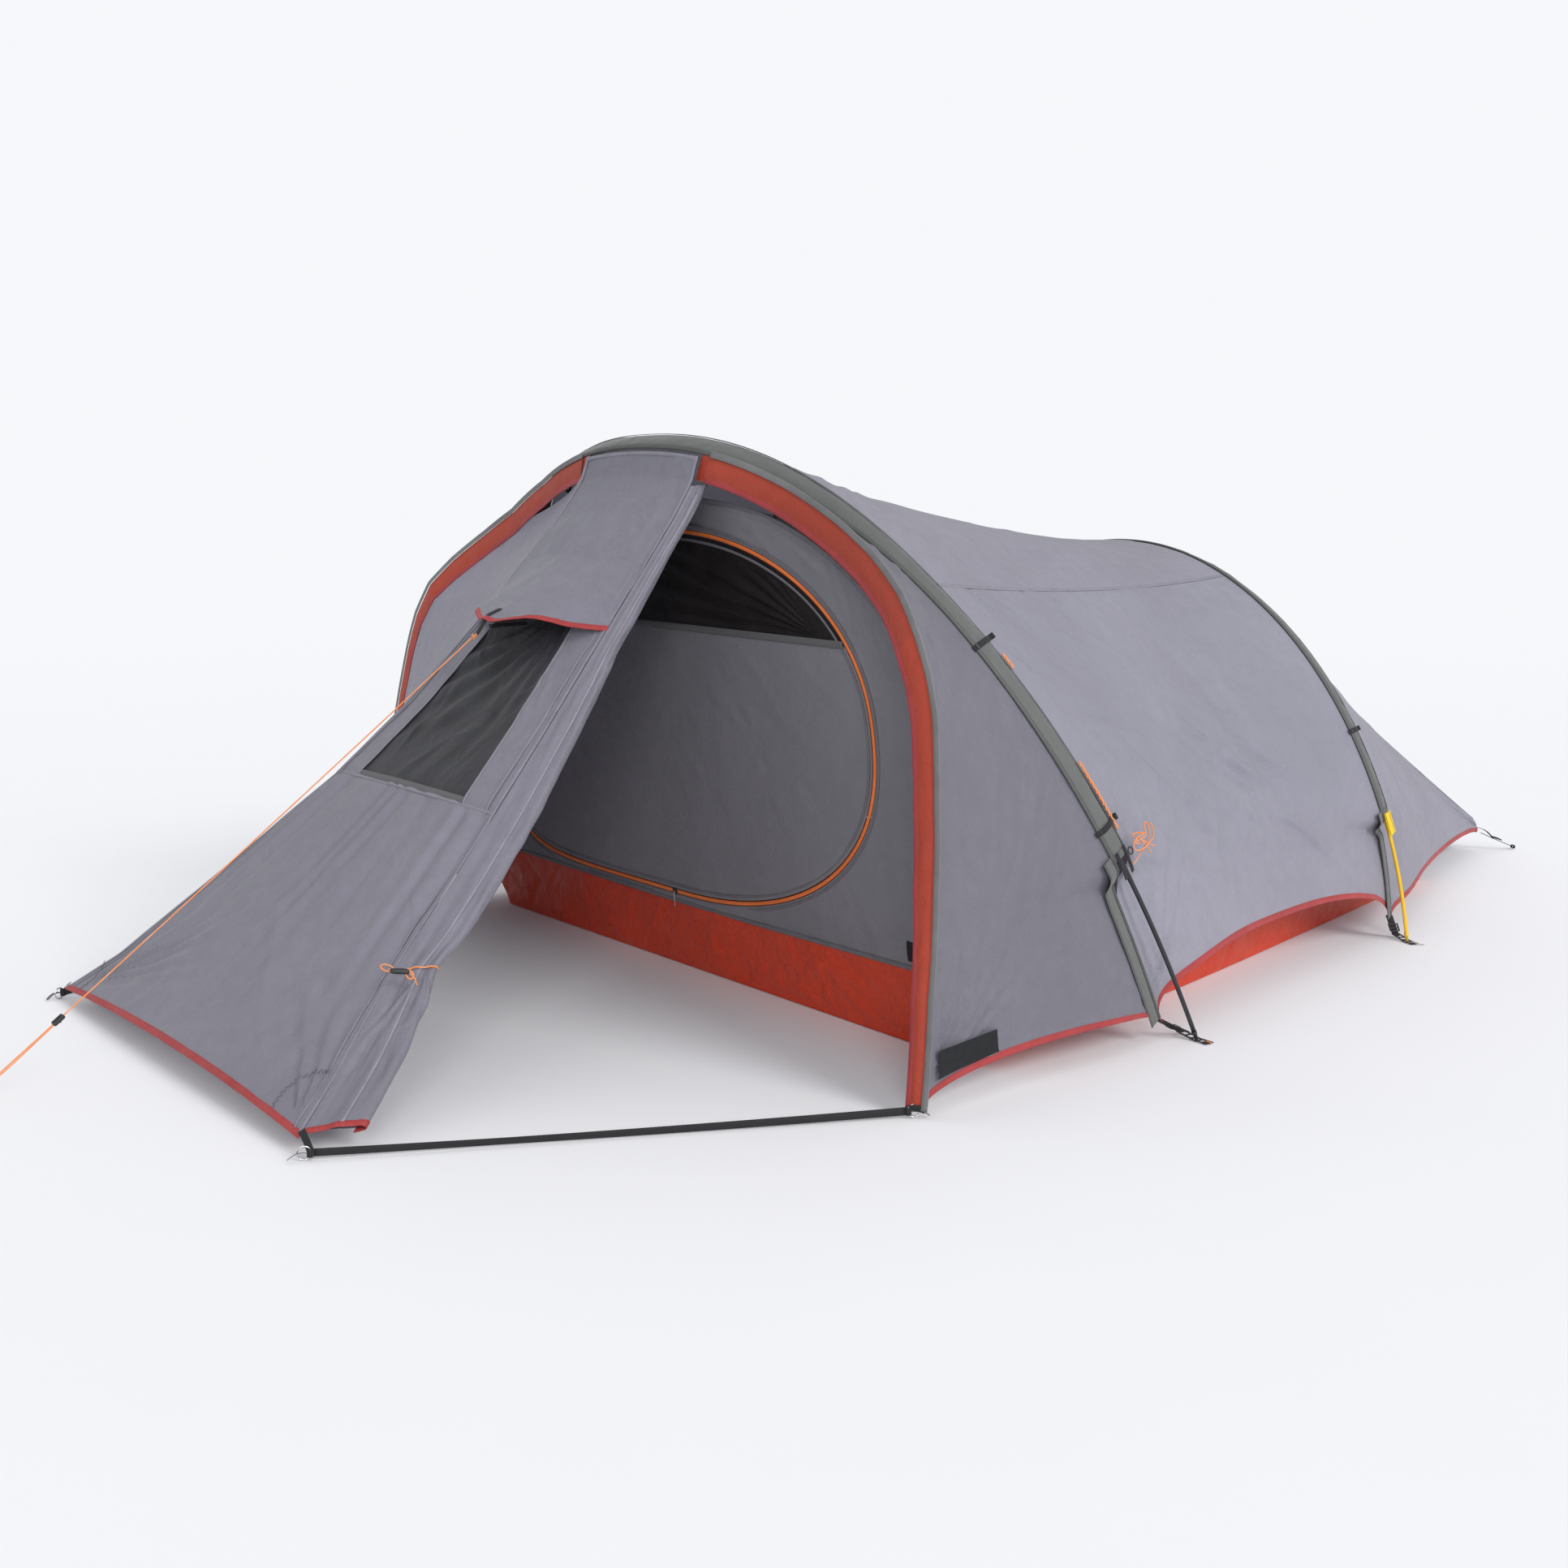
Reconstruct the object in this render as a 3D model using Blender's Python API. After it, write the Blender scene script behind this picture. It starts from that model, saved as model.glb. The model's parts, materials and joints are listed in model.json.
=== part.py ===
import bpy
import math
import numpy as np
from mathutils import Matrix, Vector

# ---------------------------------------------------------------- driving dimensions (metres)
Y_SHIFT = -0.348            # puts the middle of the ground plan on y = 0
FABRIC = 0.0012             # drawn thickness of every sewn panel
SEAM = 0.0010               # clearance left along every sewn edge
POLE_R = 0.0045
SLEEVE_HALF_W = 0.0222
SLEEVE_HALF_H = 0.0082
SLEEVE_WALL = 0.0012
H1_A, H1_H, H1_N, H1_Y, H1_LEAN = 0.985, 1.140, 2.31, 0.025, -0.535      # front hoop centreline
H2_A, H2_H, H2_N, H2_Y, H2_LEAN = 0.735, 0.912, 2.09, 1.066, -0.215      # rear hoop centreline
T1_END, T2_END = 0.283, 0.327       # hoop parameters where the sleeves stop
SEAM_T1, SEAM_T2 = 0.823, 1.166     # roof to side seam on each hoop
TUNNEL_SAG = 0.056
REAR_SEAM_T = 1.33
REAR_CORNER = (0.156, 2.247, 0.071)
REAR_PEG = (0.214, 2.352, 0.004)
DOOR_CORNER = (0.990, -0.700, 0.022)     # foot of the door opening beside the front hoop
NOSE_CORNER = (0.575, -1.650, 0.020)
HOOD_TIP_Y = -0.975
GUY_TOP = (0.0, -0.992, 0.764)
GUY_END = (0.0, -1.985, 0.006)
TUB_FRONT_Y, TUB_REAR_Y = -0.435, 1.720
TUB_FRONT_W, TUB_REAR_W = 0.930, 0.320
TUB_H = 0.150
WALL_LEAN = -0.12
HEM_W = 0.014
RING_R, RING_WIRE = 0.011, 0.0014


# ---------------------------------------------------------------- small vector helpers
def unit(v):
    v = np.asarray(v, float)
    n = np.linalg.norm(v, axis=-1, keepdims=True)
    return v / np.where(n < 1e-12, 1.0, n)


def lerp(a, b, k):
    return a + (b - a) * k


def smooth(k):
    k = np.clip(k, 0.0, 1.0)
    return k * k * (3.0 - 2.0 * k)


def super_arch(t, a, h, n):
    c, s = np.cos(t), np.sin(t)
    return a * np.sign(c) * np.abs(c) ** (2.0 / n), h * np.abs(s) ** (2.0 / n)


def hoop1(t):
    x, z = super_arch(np.asarray(t, float), H1_A, H1_H, H1_N)
    return np.stack([x, H1_Y + H1_LEAN * z, z], -1)


def hoop2(t):
    x, z = super_arch(np.asarray(t, float), H2_A, H2_H, H2_N)
    return np.stack([x, H2_Y + H2_LEAN * z, z], -1)


def hoop_t_for_z(z, h, n):
    return np.arcsin(np.clip((np.asarray(z, float) / h), 0.0, 1.0) ** (n / 2.0))


def frame1(t):
    t = np.asarray(t, float)
    e = 1e-4
    tt = np.clip(t, 0.02, math.pi - 0.02)
    tan = unit(hoop1(tt + e) - hoop1(tt - e))
    r = unit(hoop2(tt) - hoop1(tt))
    z = hoop1(tt)[..., 2]
    k = smooth((z - 0.80) / 0.34)[..., None]
    f = np.zeros_like(r)
    f[..., 1] = -1.0
    f = unit(f * (1.0 - k) + np.array([0.0, -0.25, -1.0]) * k)
    w = unit(r - f)
    w = unit(w - tan * np.sum(w * tan, -1, keepdims=True))
    n = np.cross(tan, w)
    mid = np.array([0.0, H1_Y + H1_LEAN * 0.4, 0.4])
    s = np.sign(np.sum(n * (hoop1(tt) - mid), -1, keepdims=True))
    return w, n * np.where(s == 0, 1.0, s)


def frame2(t):
    t = np.asarray(t, float)
    e = 1e-4
    tt = np.clip(t, 0.02, math.pi - 0.02)
    tan = unit(hoop2(tt + e) - hoop2(tt - e))
    r = unit(hoop2(tt) - hoop1(tt))
    end = np.array(REAR_CORNER) * np.array([1.0, 1.0, 1.0])
    far = np.stack([np.sign(hoop2(tt)[..., 0]) * end[0], np.full_like(tt, end[1]), np.full_like(tt, end[2])], -1)
    g = unit(far - hoop2(tt))
    w = unit(r + g)
    w = unit(w - tan * np.sum(w * tan, -1, keepdims=True))
    n = np.cross(tan, w)
    mid = np.array([0.0, H2_Y + H2_LEAN * 0.3, 0.3])
    s = np.sign(np.sum(n * (hoop2(tt) - mid), -1, keepdims=True))
    return w, n * np.where(s == 0, 1.0, s)


EDGE = SLEEVE_HALF_W + 0.0018


def tuck(t, t_end, deep=0.028):
    """how far the cloth under the bare pole end sits inside the pole"""
    t = np.minimum(np.asarray(t, float), math.pi - np.asarray(t, float))
    return 0.010 + deep * np.clip((t_end - t) / t_end, 0, 1)


def under(t, t_end):
    t = np.minimum(np.asarray(t, float), math.pi - np.asarray(t, float))
    return 1.0 - smooth((t - (t_end - 0.064)) / 0.056)


def edge1_rear(t):
    w, n = frame1(t)
    u = under(t, T1_END)[..., None]
    d = tuck(t, T1_END)[..., None]
    side = EDGE * (1.0 - u) - EDGE * u
    return hoop1(t) + w * side - n * (0.014 + d) * np.minimum(1.0, 2.2 * u)


def edge1_front(t):
    w, n = frame1(t)
    u = under(t, T1_END)[..., None]
    d = tuck(t, T1_END)[..., None]
    return hoop1(t) - w * (EDGE + 0.0062 * u) - n * (0.014 + d) * np.minimum(1.0, 2.2 * u)


def edge2_front(t):
    w, n = frame2(t)
    u = under(t, T2_END)[..., None]
    d = tuck(t, T2_END, 0.022)[..., None]
    return hoop2(t) - w * EDGE * (1.0 - u) + w * EDGE * u - n * (0.014 + d) * np.minimum(1.0, 2.2 * u)


def edge2_rear(t):
    w, n = frame2(t)
    u = under(t, T2_END)[..., None]
    d = tuck(t, T2_END, 0.022)[..., None]
    return hoop2(t) + w * (EDGE + 0.0062 * u) - n * (0.014 + d) * np.minimum(1.0, 2.2 * u)


def tunnel(t, v, extra=0.0):
    """cloth between the two hoops; t round the hoop, v from front to rear"""
    t, v = np.broadcast_arrays(np.asarray(t, float), np.asarray(v, float))
    a, b = edge1_rear(t), edge2_front(t)
    p = a + (b - a) * v[..., None]
    out = p - np.stack([0 * t, p[..., 1], np.full_like(t, 0.30)], -1)
    out = unit(out)
    low = np.clip(p[..., 2] / 0.25, 0.35, 1.0)
    sag = TUNNEL_SAG * 4.0 * v * (1.0 - v) * low
    return p - out * (sag - extra)[..., None]


def hem_tunnel_z(v):
    v = np.asarray(v, float)
    return 0.045 + 0.112 * np.sqrt(np.clip(1.0 - np.abs(2.0 * v - 1.0) ** 3.2, 0.0, 1.0))


def tunnel_t_at_z(z, v):
    lo, hi = np.full_like(v, 0.004), np.full_like(v, 1.2)
    for _ in range(34):
        m = 0.5 * (lo + hi)
        zz = tunnel(m, v)[..., 2]
        lo = np.where(zz < z, m, lo)
        hi = np.where(zz < z, hi, m)
    return 0.5 * (lo + hi)


# ---------------------------------------------------------------- door arch (rain gutter) curves
GZ = [0.00, 0.03, 0.20, 0.38, 0.524, 0.602, 0.672, 0.736, 0.808, 0.868, 0.932, 0.985, 1.05, 1.095, 1.20]
GX = [0.039, 0.039, 0.037, 0.050, 0.070, 0.086, 0.104, 0.116, 0.118, 0.100, 0.063, 0.030, 0.008, 0.000, 0.000]
GY = [-0.724, -0.704, -0.595, -0.479, -0.386, -0.335, -0.289, -0.248, -0.198, -0.140, -0.078, -0.036, -0.008, -0.0022, -0.0022]
BW = [0.028, 0.030, 0.033, 0.042, 0.044, 0.045, 0.046, 0.048, 0.050, 0.052, 0.053, 0.053, 0.052, 0.050, 0.050]


def gutter_outer(t):
    t = np.asarray(t, float)
    x, z = super_arch(t, H1_A, H1_H, H1_N)
    w, n = frame1(t)
    u = smooth((0.50 - z) / 0.2)[..., None]
    base = (hoop1(t) - w * EDGE) * (1 - u) + (hoop1(t) + np.array([0.0, -EDGE, 0.0])) * u
    zz = base[..., 2]
    off = np.stack([np.interp(zz, GZ, GX), np.interp(zz, GZ, GY), np.zeros_like(zz)], -1)
    return base + off


def gutter_inner(t):
    t = np.asarray(t, float)
    e = 0.004
    p = gutter_outer(t)
    tan = gutter_outer(np.clip(t + e, 0.0, 3.0)) - gutter_outer(np.clip(t - e, 0.0, 3.0))
    n = unit(np.stack([-tan[..., 2], 0 * t, tan[..., 0]], -1))
    b = np.interp(p[..., 2], GZ, BW)
    return p + n * b[..., None] + np.array([0.0, -0.010, 0.0])


GUT_T0, GUT_T1 = 0.0065, 1.378       # from the foot to the nose seam


# ---------------------------------------------------------------- nose curves
NZ = [0.020, 0.10, 0.236, 0.46, 0.60, 0.77, 0.91, 1.00, 1.07, 1.125]
NW = [0.575, 0.510, 0.430, 0.326, 0.280, 0.243, 0.224, 0.213, 0.207, 0.205]
NY = [-1.650, -1.545, -1.400, -1.150, -1.012, -0.862, -0.745, -0.672, -0.624, -0.606]


def nose_w(z):
    return np.interp(z, NZ, NW)


def nose_y(z):
    return np.interp(z, NZ, NY)


def nose(a, k, lift=0.0):
    """a from -1 (far seam) to 1 (near seam); k from 0 at the sleeve to 1 at the hem"""
    a, k = np.broadcast_arrays(np.asarray(a, float), np.asarray(k, float))
    zc = lerp(1.125, 0.020, k)
    w = nose_w(zc)
    y = nose_y(zc)
    drop = 0.012 * (1.0 - k) ** 3 * a * a
    swell = 0.020 * np.sin(math.pi * k) * (1.0 - a * a)
    z = zc - drop + 0.022 * (1 - a * a) * smooth((k - 0.86) / 0.14)
    p = np.stack([a * w, y + 0.016 * k * (1 - k) - swell * 0.7, z + swell * 0.4], -1)
    if lift:
        p = p + np.array([0.0, -0.70, 0.70]) * lift
    return p


def k_for_z(z):
    return (1.125 - np.asarray(z, float)) / 1.105


def hood(a, q):
    """the flared flap over the vent; q from 0 at its fold to 1 at the trimmed edge"""
    a, q = np.broadcast_arrays(np.asarray(a, float), np.asarray(q, float))
    base = nose(a, k_for_z(lerp(0.905, 0.790, q)))
    flare = (1.0 - np.abs(a) ** 1.25) * q ** 1.35
    return base + np.stack([0 * a, -(0.118) * flare, -0.006 * flare + 0.012 * q * np.exp(-((np.abs(a) - 0.45) / 0.22) ** 2)], -1)


# ---------------------------------------------------------------- inner front wall
def wall_point(x, z, off=0.0):
    x, z = np.broadcast_arrays(np.asarray(x, float), np.asarray(z, float))
    return np.stack([x, TUB_FRONT_Y + WALL_LEAN * z - off, z], -1)


D_CX, D_CZ, D_A, D_UP, D_DN = -0.080, 0.585, 0.710, 0.390, 0.417


def door_radius(phi):
    c, s = np.cos(phi), np.sin(phi)
    b = np.where(s >= 0, D_UP, D_DN)
    n = np.where(c >= 0, np.where(s >= 0, 2.3, 2.25), np.where(s >= 0, 2.6, 6.0))
    r = (np.abs(c / D_A) ** n + np.abs(s / b) ** n) ** (-1.0 / n)
    x, z = wall_arch(phi)
    lim = np.hypot(x - D_CX, z - D_CZ) - 0.042
    lim = np.where(s > -0.2, lim, 9.0)
    return (r ** -14.0 + lim ** -14.0) ** (-1.0 / 14.0)


def door_curve(phi, grow=0.0):
    """outline of the D door, phi anticlockwise from the near (+x) side"""
    phi = np.asarray(phi, float)
    e = 0.004
    p = [np.stack([D_CX + door_radius(phi + d) * np.cos(phi + d), D_CZ + door_radius(phi + d) * np.sin(phi + d)], -1) for d in (-e, 0.0, e)]
    t = unit(p[2] - p[0])
    n = np.stack([t[..., 1], -t[..., 0]], -1)
    q = p[1] + n * grow
    return q[..., 0], q[..., 1]


W_A, W_H, W_N = 0.925, 1.030, 2.65


def wall_arch(phi):
    """outline of the wall met by the ray from the door centre at angle phi"""
    out = []
    for p in np.atleast_1d(phi):
        c, s = math.cos(p), math.sin(p)
        lo, hi = 0.0, 1.6
        for _ in range(40):
            m = 0.5 * (lo + hi)
            x, z = D_CX + m * c, D_CZ + m * s
            inside = z > TUB_H + 0.0016 and (abs(x) / W_A) ** W_N + (max(z, 0) / W_H) ** W_N < 1.0
            lo, hi = (m, hi) if inside else (lo, m)
        out.append((D_CX + lo * c, D_CZ + lo * s))
    o = np.array(out)
    return o[:, 0], o[:, 1]


# ---------------------------------------------------------------- scene and mesh helpers
for ob in list(bpy.data.objects):
    bpy.data.objects.remove(ob, do_unlink=True)

COL = {}


def material(name, rgb, rough=0.6, metal=0.0, alpha=1.0):
    m = bpy.data.materials.new(name)
    m.use_nodes = True
    b = m.node_tree.nodes["Principled BSDF"]
    b.inputs["Base Color"].default_value = (rgb[0], rgb[1], rgb[2], 1.0)
    b.inputs["Roughness"].default_value = rough
    b.inputs["Metallic"].default_value = metal
    m.diffuse_color = (rgb[0], rgb[1], rgb[2], 1.0)
    return m


GREY = (0.24, 0.23, 0.27)
DARK = (0.13, 0.14, 0.14)
RED = (0.43, 0.065, 0.072)
ORANGE = (0.48, 0.085, 0.030)
BLACK = (0.012, 0.012, 0.013)
MESHC = (0.020, 0.020, 0.022)
ZIP = (0.80, 0.20, 0.040)
GOLD = (0.84, 0.52, 0.020)
STEEL = (0.62, 0.62, 0.64)
POLEG = (0.060, 0.068, 0.075)


def signed_volume(verts, faces):
    P = np.asarray(verts, float)
    tot = 0.0
    for f in faces:
        a = P[f[0]]
        for i in range(1, len(f) - 1):
            tot += np.dot(a, np.cross(P[f[i]], P[f[i + 1]]))
    return tot / 6.0


def finish(name, verts, faces, rgb, rough=0.6, metal=0.0):
    if signed_volume(verts, faces) < 0:
        faces = [tuple(reversed(f)) for f in faces]
    me = bpy.data.meshes.new(name)
    me.from_pydata([(float(v[0]), float(v[1]) + Y_SHIFT, float(v[2])) for v in verts], [], faces)
    me.validate()
    me.update()
    ob = bpy.data.objects.new(name, me)
    bpy.context.scene.collection.objects.link(ob)
    me.materials.append(material(name, rgb, rough, metal))
    return ob


def shell(name, pts, faces, thick, rgb, rough=0.6, metal=0.0, both=0.5):
    """closed body from an open surface mesh: offset both ways along the normals and wall the rim"""
    P = np.asarray(pts, float)
    N = np.zeros_like(P)
    for f in faces:
        q = P[list(f)]
        c = np.zeros(3)
        for i in range(len(f)):
            c += np.cross(q[i] - q[0], q[(i + 1) % len(f)] - q[0])
        for i in f:
            N[i] += c
    N = unit(N)
    m = len(P)
    V = np.concatenate([P + N * thick * both, P - N * thick * (1.0 - both)])
    cut = []
    for f in faces:
        if len(f) == 4:
            if np.linalg.norm(P[f[0]] - P[f[2]]) <= np.linalg.norm(P[f[1]] - P[f[3]]):
                cut += [(f[0], f[1], f[2]), (f[0], f[2], f[3])]
            else:
                cut += [(f[0], f[1], f[3]), (f[1], f[2], f[3])]
        else:
            cut.append(tuple(f))
    F = [tuple(f) for f in cut] + [tuple(i + m for i in reversed(f)) for f in cut]
    count = {}
    for f in faces:
        for i in range(len(f)):
            e = (f[i], f[(i + 1) % len(f)])
            count[e] = count.get(e, 0) + 1
    for (a, b) in list(count):
        if (b, a) not in count:
            F.append((b, a, a + m, b + m))
    return finish(name, V, F, rgb, rough, metal)


def grid_faces(nu, nv, flip=False, closed_u=False, mask=None):
    F = []
    for i in range(nu if closed_u else nu - 1):
        for j in range(nv - 1):
            if mask is not None and not mask[i][j]:
                continue
            a, b = i * nv + j, ((i + 1) % nu) * nv + j
            f = (a, b, b + 1, a + 1)
            F.append(tuple(reversed(f)) if flip else f)
    return F


def sheet(name, G, rgb, thick=FABRIC, flip=False, rough=0.6, closed_u=False, mask=None, metal=0.0, both=0.5):
    G = np.asarray(G, float)
    nu, nv = G.shape[:2]
    F = grid_faces(nu, nv, flip, closed_u, mask)
    P = G.reshape(-1, 3)
    used = sorted({i for f in F for i in f})
    idx = {o: k for k, o in enumerate(used)}
    return shell(name, P[used], [tuple(idx[i] for i in f) for f in F], thick, rgb, rough, metal, both)


def mirrored(G):
    G = np.array(G, float)
    G[..., 0] *= -1.0
    return G


def pair(name, G, rgb, **kw):
    flip = kw.pop("flip", False)
    sheet(name + "_near", G, rgb, flip=flip, **kw)
    sheet(name + "_far", mirrored(G), rgb, flip=not flip, **kw)


def tube(name, pts, r, rgb, sides=8, rough=0.5, metal=0.0, ends=None, up=(0.0, 0.0, 1.0)):
    """solid round rod along a polyline"""
    P = np.asarray(pts, float)
    n = len(P)
    T = unit(np.gradient(P, axis=0))
    ref = unit(np.cross(T[0], np.asarray(up, float)) if abs(np.dot(T[0], up)) < 0.95 else np.cross(T[0], [1.0, 0.0, 0.0]))
    V, F = [], []
    R = np.broadcast_to(np.asarray(r, float), (n,))
    for i in range(n):
        ref = unit(ref - T[i] * np.dot(ref, T[i]))
        b = np.cross(T[i], ref)
        for k in range(sides):
            a = 2 * math.pi * k / sides
            V.append(P[i] + (ref * math.cos(a) + b * math.sin(a)) * R[i])
    for i in range(n - 1):
        for k in range(sides):
            a, c = i * sides + k, i * sides + (k + 1) % sides
            F.append((a, c, c + sides, a + sides))
    F.append(tuple(reversed(range(sides))))
    F.append(tuple(range((n - 1) * sides, n * sides)))
    return finish(name, V, F, rgb, rough, metal)


def loft(name, rings, rgb, rough=0.5, metal=0.0, caps=True, close=False):
    """body through closed rings of equal count; caps at both ends, or a closed loop of rings"""
    rings = [np.asarray(r, float) for r in rings]
    m, n = len(rings), len(rings[0])
    V = [p for r in rings for p in r]
    F = []
    for i in range(m if close else m - 1):
        for k in range(n):
            a, b = i * n + k, i * n + (k + 1) % n
            c, d = ((i + 1) % m) * n + (k + 1) % n, ((i + 1) % m) * n + k
            F.append((a, b, c, d))
    if caps and not close:
        F.append(tuple(reversed(range(n))))
        F.append(tuple(range((m - 1) * n, m * n)))
    return finish(name, V, F, rgb, rough, metal)


def ring(name, centre, axis, R, r, rgb, n=20, m=8):
    axis = unit(axis)
    a = unit(np.cross(axis, [0.0, 0.0, 1.0]) if abs(axis[2]) < 0.9 else np.cross(axis, [1.0, 0.0, 0.0]))
    b = np.cross(axis, a)
    rings = []
    for i in range(n):
        t = 2 * math.pi * i / n
        d = a * math.cos(t) + b * math.sin(t)
        rings.append([np.asarray(centre) + d * (R + r * math.cos(2 * math.pi * k / m)) + axis * r * math.sin(2 * math.pi * k / m) for k in range(m)])
    return loft(name, rings, rgb, 0.25, 1.0, close=True)


def strap(name, path, across, width, thick, rgb, eye_start=None, eye_end=None, rough=0.7):
    """flat webbing along a path, extruded across its width, with an optional sewn eye at either end"""
    P = [np.asarray(p, float) for p in path]
    across = unit(across)
    pts, faces = [], []

    def add(p):
        pts.append(p)
        return len(pts) - 1

    T = unit(np.gradient(np.array(P), axis=0))
    left, right = [], []
    for p, t in zip(P, T):
        n = unit(np.cross(across, t))
        left.append(add(p + n * thick / 2))
        right.append(add(p - n * thick / 2))
    for i in range(len(P) - 1):
        faces.append((left[i], left[i + 1], right[i + 1], right[i]))

    def eye(at, first, second, direction, radius, K=12):
        ro = radius + thick
        half = math.asin(min(0.95, (thick / 2) / ro))
        c = at + direction * math.sqrt(ro * ro - (thick / 2) ** 2)
        n = unit(pts[first] - pts[second])
        outer, inner = [first], []
        for k in range(1, K):
            a = half + (2 * math.pi - 2 * half) * k / K
            outer.append(add(c + ro * (-direction * math.cos(a) + n * math.sin(a))))
        outer.append(second)
        for k in range(K + 1):
            a = half + (2 * math.pi - 2 * half) * k / K
            inner.append(add(c + radius * (-direction * math.cos(a) + n * math.sin(a))))
        for k in range(K):
            faces.append((outer[k], outer[k + 1], inner[k + 1], inner[k]))
        faces.append((outer[K], outer[0], inner[0], inner[K]))
        return c

    if eye_start:
        eye(P[0], right[0], left[0], -T[0], eye_start)
    if eye_end:
        eye(P[-1], left[-1], right[-1], T[-1], eye_end)
    A = np.array(pts)
    # consistent winding: outward test on the first face
    f = faces[0]
    nrm = np.cross(A[f[1]] - A[f[0]], A[f[2]] - A[f[1]])
    fixed = []
    for f in faces:
        q = A[list(f)]
        c = sum(np.cross(q[i] - q[0], q[(i + 1) % len(f)] - q[0]) for i in range(len(f)))
        fixed.append(f if np.dot(c, across) > 0 else tuple(reversed(f)))
    m = len(A)
    V = np.concatenate([A + across * width / 2, A - across * width / 2])
    F = [tuple(f) for f in fixed] + [tuple(i + m for i in reversed(f)) for f in fixed]
    cnt = {}
    for f in fixed:
        for i in range(len(f)):
            cnt[(f[i], f[(i + 1) % len(f)])] = 1
    for (a, b) in list(cnt):
        if (b, a) not in cnt:
            F.append((b, a, a + m, b + m))
    return finish(name, V, F, rgb, rough)


# ---------------------------------------------------------------- poles: each hoop is two halves spigoted at the crown
def pole_half(name, fn, near, rgb, spigot):
    ts = [0.0] + list(np.linspace(0.035, math.pi / 2, 40))
    ts = np.array(ts) if near else math.pi - np.array(ts)
    P = fn(ts)
    P[0][2] = 0.0
    foot = P[0].copy()
    foot[2] = 0.0002
    P[0] = foot
    sides = 8
    # straight crown region shared by both halves
    c = fn(np.array([math.pi / 2]))[0]
    sgn = 1.0 if near else -1.0
    keep = [p for p in P if abs(p[0]) > 0.060]
    path = keep + [c + np.array([sgn * 0.050, 0.0, 0.0])]
    prof = [(p, POLE_R) for p in path]
    if spigot:
        prof += [(c + np.array([sgn * 0.0006, 0, 0]), POLE_R), (c + np.array([sgn * 0.0006, 0, 0]), 0.0031), (c + np.array([-sgn * 0.040, 0, 0]), 0.0031)]
    else:
        prof += [(c + np.array([sgn * 0.0001, 0, 0]), POLE_R), (c + np.array([sgn * 0.0001, 0, 0]), 0.0036), (c + np.array([sgn * 0.0420, 0, 0]), 0.0036)]
    C = np.array([p for p, _ in prof])
    base = np.array(path)
    T = unit(np.gradient(base, axis=0))
    T = list(T) + [np.array([-sgn, 0.0, 0.0])] * (len(prof) - len(path))
    T[len(path) - 1] = np.array([-sgn, 0.0, 0.0])
    T[0] = np.array([0.0, 0.0, 1.0])
    rings = []
    ref = np.array([0.0, 1.0, 0.0])
    for (p, r), t in zip(prof, T):
        ref = unit(ref - t * np.dot(ref, t))
        b = np.cross(t, ref)
        rings.append([p + (ref * math.cos(2 * math.pi * k / sides) + b * math.sin(2 * math.pi * k / sides)) * r for k in range(sides)])
    loft(name, rings, rgb, 0.35, 0.4)


pole_half("front_pole_near", hoop1, True, POLEG, True)
pole_half("front_pole_far", hoop1, False, POLEG, False)
pole_half("rear_pole_near", hoop2, True, GOLD, True)
pole_half("rear_pole_far", hoop2, False, GOLD, False)


# ---------------------------------------------------------------- pole sleeves: hollow sheaths round the poles
def sleeve(name, fn, fr, t_end, rows, rgb):
    ts = np.linspace(t_end, math.pi - t_end, rows)
    W, N = fr(ts)
    P = fn(ts)
    sides = 12
    outer, inner = [], []
    for p, w, n in zip(P, W, N):
        o, i = [], []
        for k in range(sides):
            a = 2 * math.pi * k / sides
            ca, sa = math.cos(a), math.sin(a)
            o.append(p + w * ca * SLEEVE_HALF_W + n * sa * SLEEVE_HALF_H)
            i.append(p + w * ca * (SLEEVE_HALF_W - 0.004) + n * sa * (SLEEVE_HALF_H - SLEEVE_WALL))
        outer.append(o)
        inner.append(i)
    loft(name, outer + inner[::-1], rgb, 0.6, close=True)


sleeve("front_sleeve", hoop1, frame1, T1_END, 33, DARK)
sleeve("rear_sleeve", hoop2, frame2, T2_END, 27, DARK)

# ---------------------------------------------------------------- fly: tunnel
VS = np.linspace(0.0, 1.0, 9)


def roof_grid(nt, vs, lift=0.0):
    G = np.zeros((nt, len(vs), 3))
    for j, v in enumerate(vs):
        a = lerp(SEAM_T1, SEAM_T2, v) + 0.0020
        t = np.linspace(a, math.pi - a, nt)
        G[:, j] = tunnel(t, np.full(nt, v), lift)
    return G


sheet("fly_roof", roof_grid(15, VS), GREY)


ROWS1 = np.array([0.0, 0.075, 0.13, 0.18, T1_END - 0.064, T1_END - 0.036, T1_END - 0.008, 0.34, 0.42, 0.50, 0.58, 0.66, 0.74, SEAM_T1 - 0.0022])
ROWS2 = np.array([0.0, 0.085, 0.15, 0.21, T2_END - 0.064, T2_END - 0.036, T2_END - 0.008, 0.40, 0.50, 0.62, 0.75, 0.88, 1.02, SEAM_T2 - 0.0022])


def side_grid(vs):
    nt = len(ROWS1)
    G = np.zeros((nt, len(vs), 3))
    z = hem_tunnel_z(vs) + HEM_W * 0.5
    t0 = tunnel_t_at_z(z, vs)
    for j, v in enumerate(vs):
        t = lerp(ROWS1, ROWS2, v)
        t[0] = t0[j]
        for i in range(1, 5):
            t[i] = max(t[i], t[i - 1] + 0.012)
        G[:, j] = tunnel(t, np.full(nt, v))
    return G


VS2 = np.array([0.0, 0.03, 0.08, 0.16, 0.28, 0.42, 0.58, 0.72, 0.84, 0.92, 0.97, 1.0])
side = side_grid(VS2)
pair("fly_side", side, GREY, flip=True)


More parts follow.
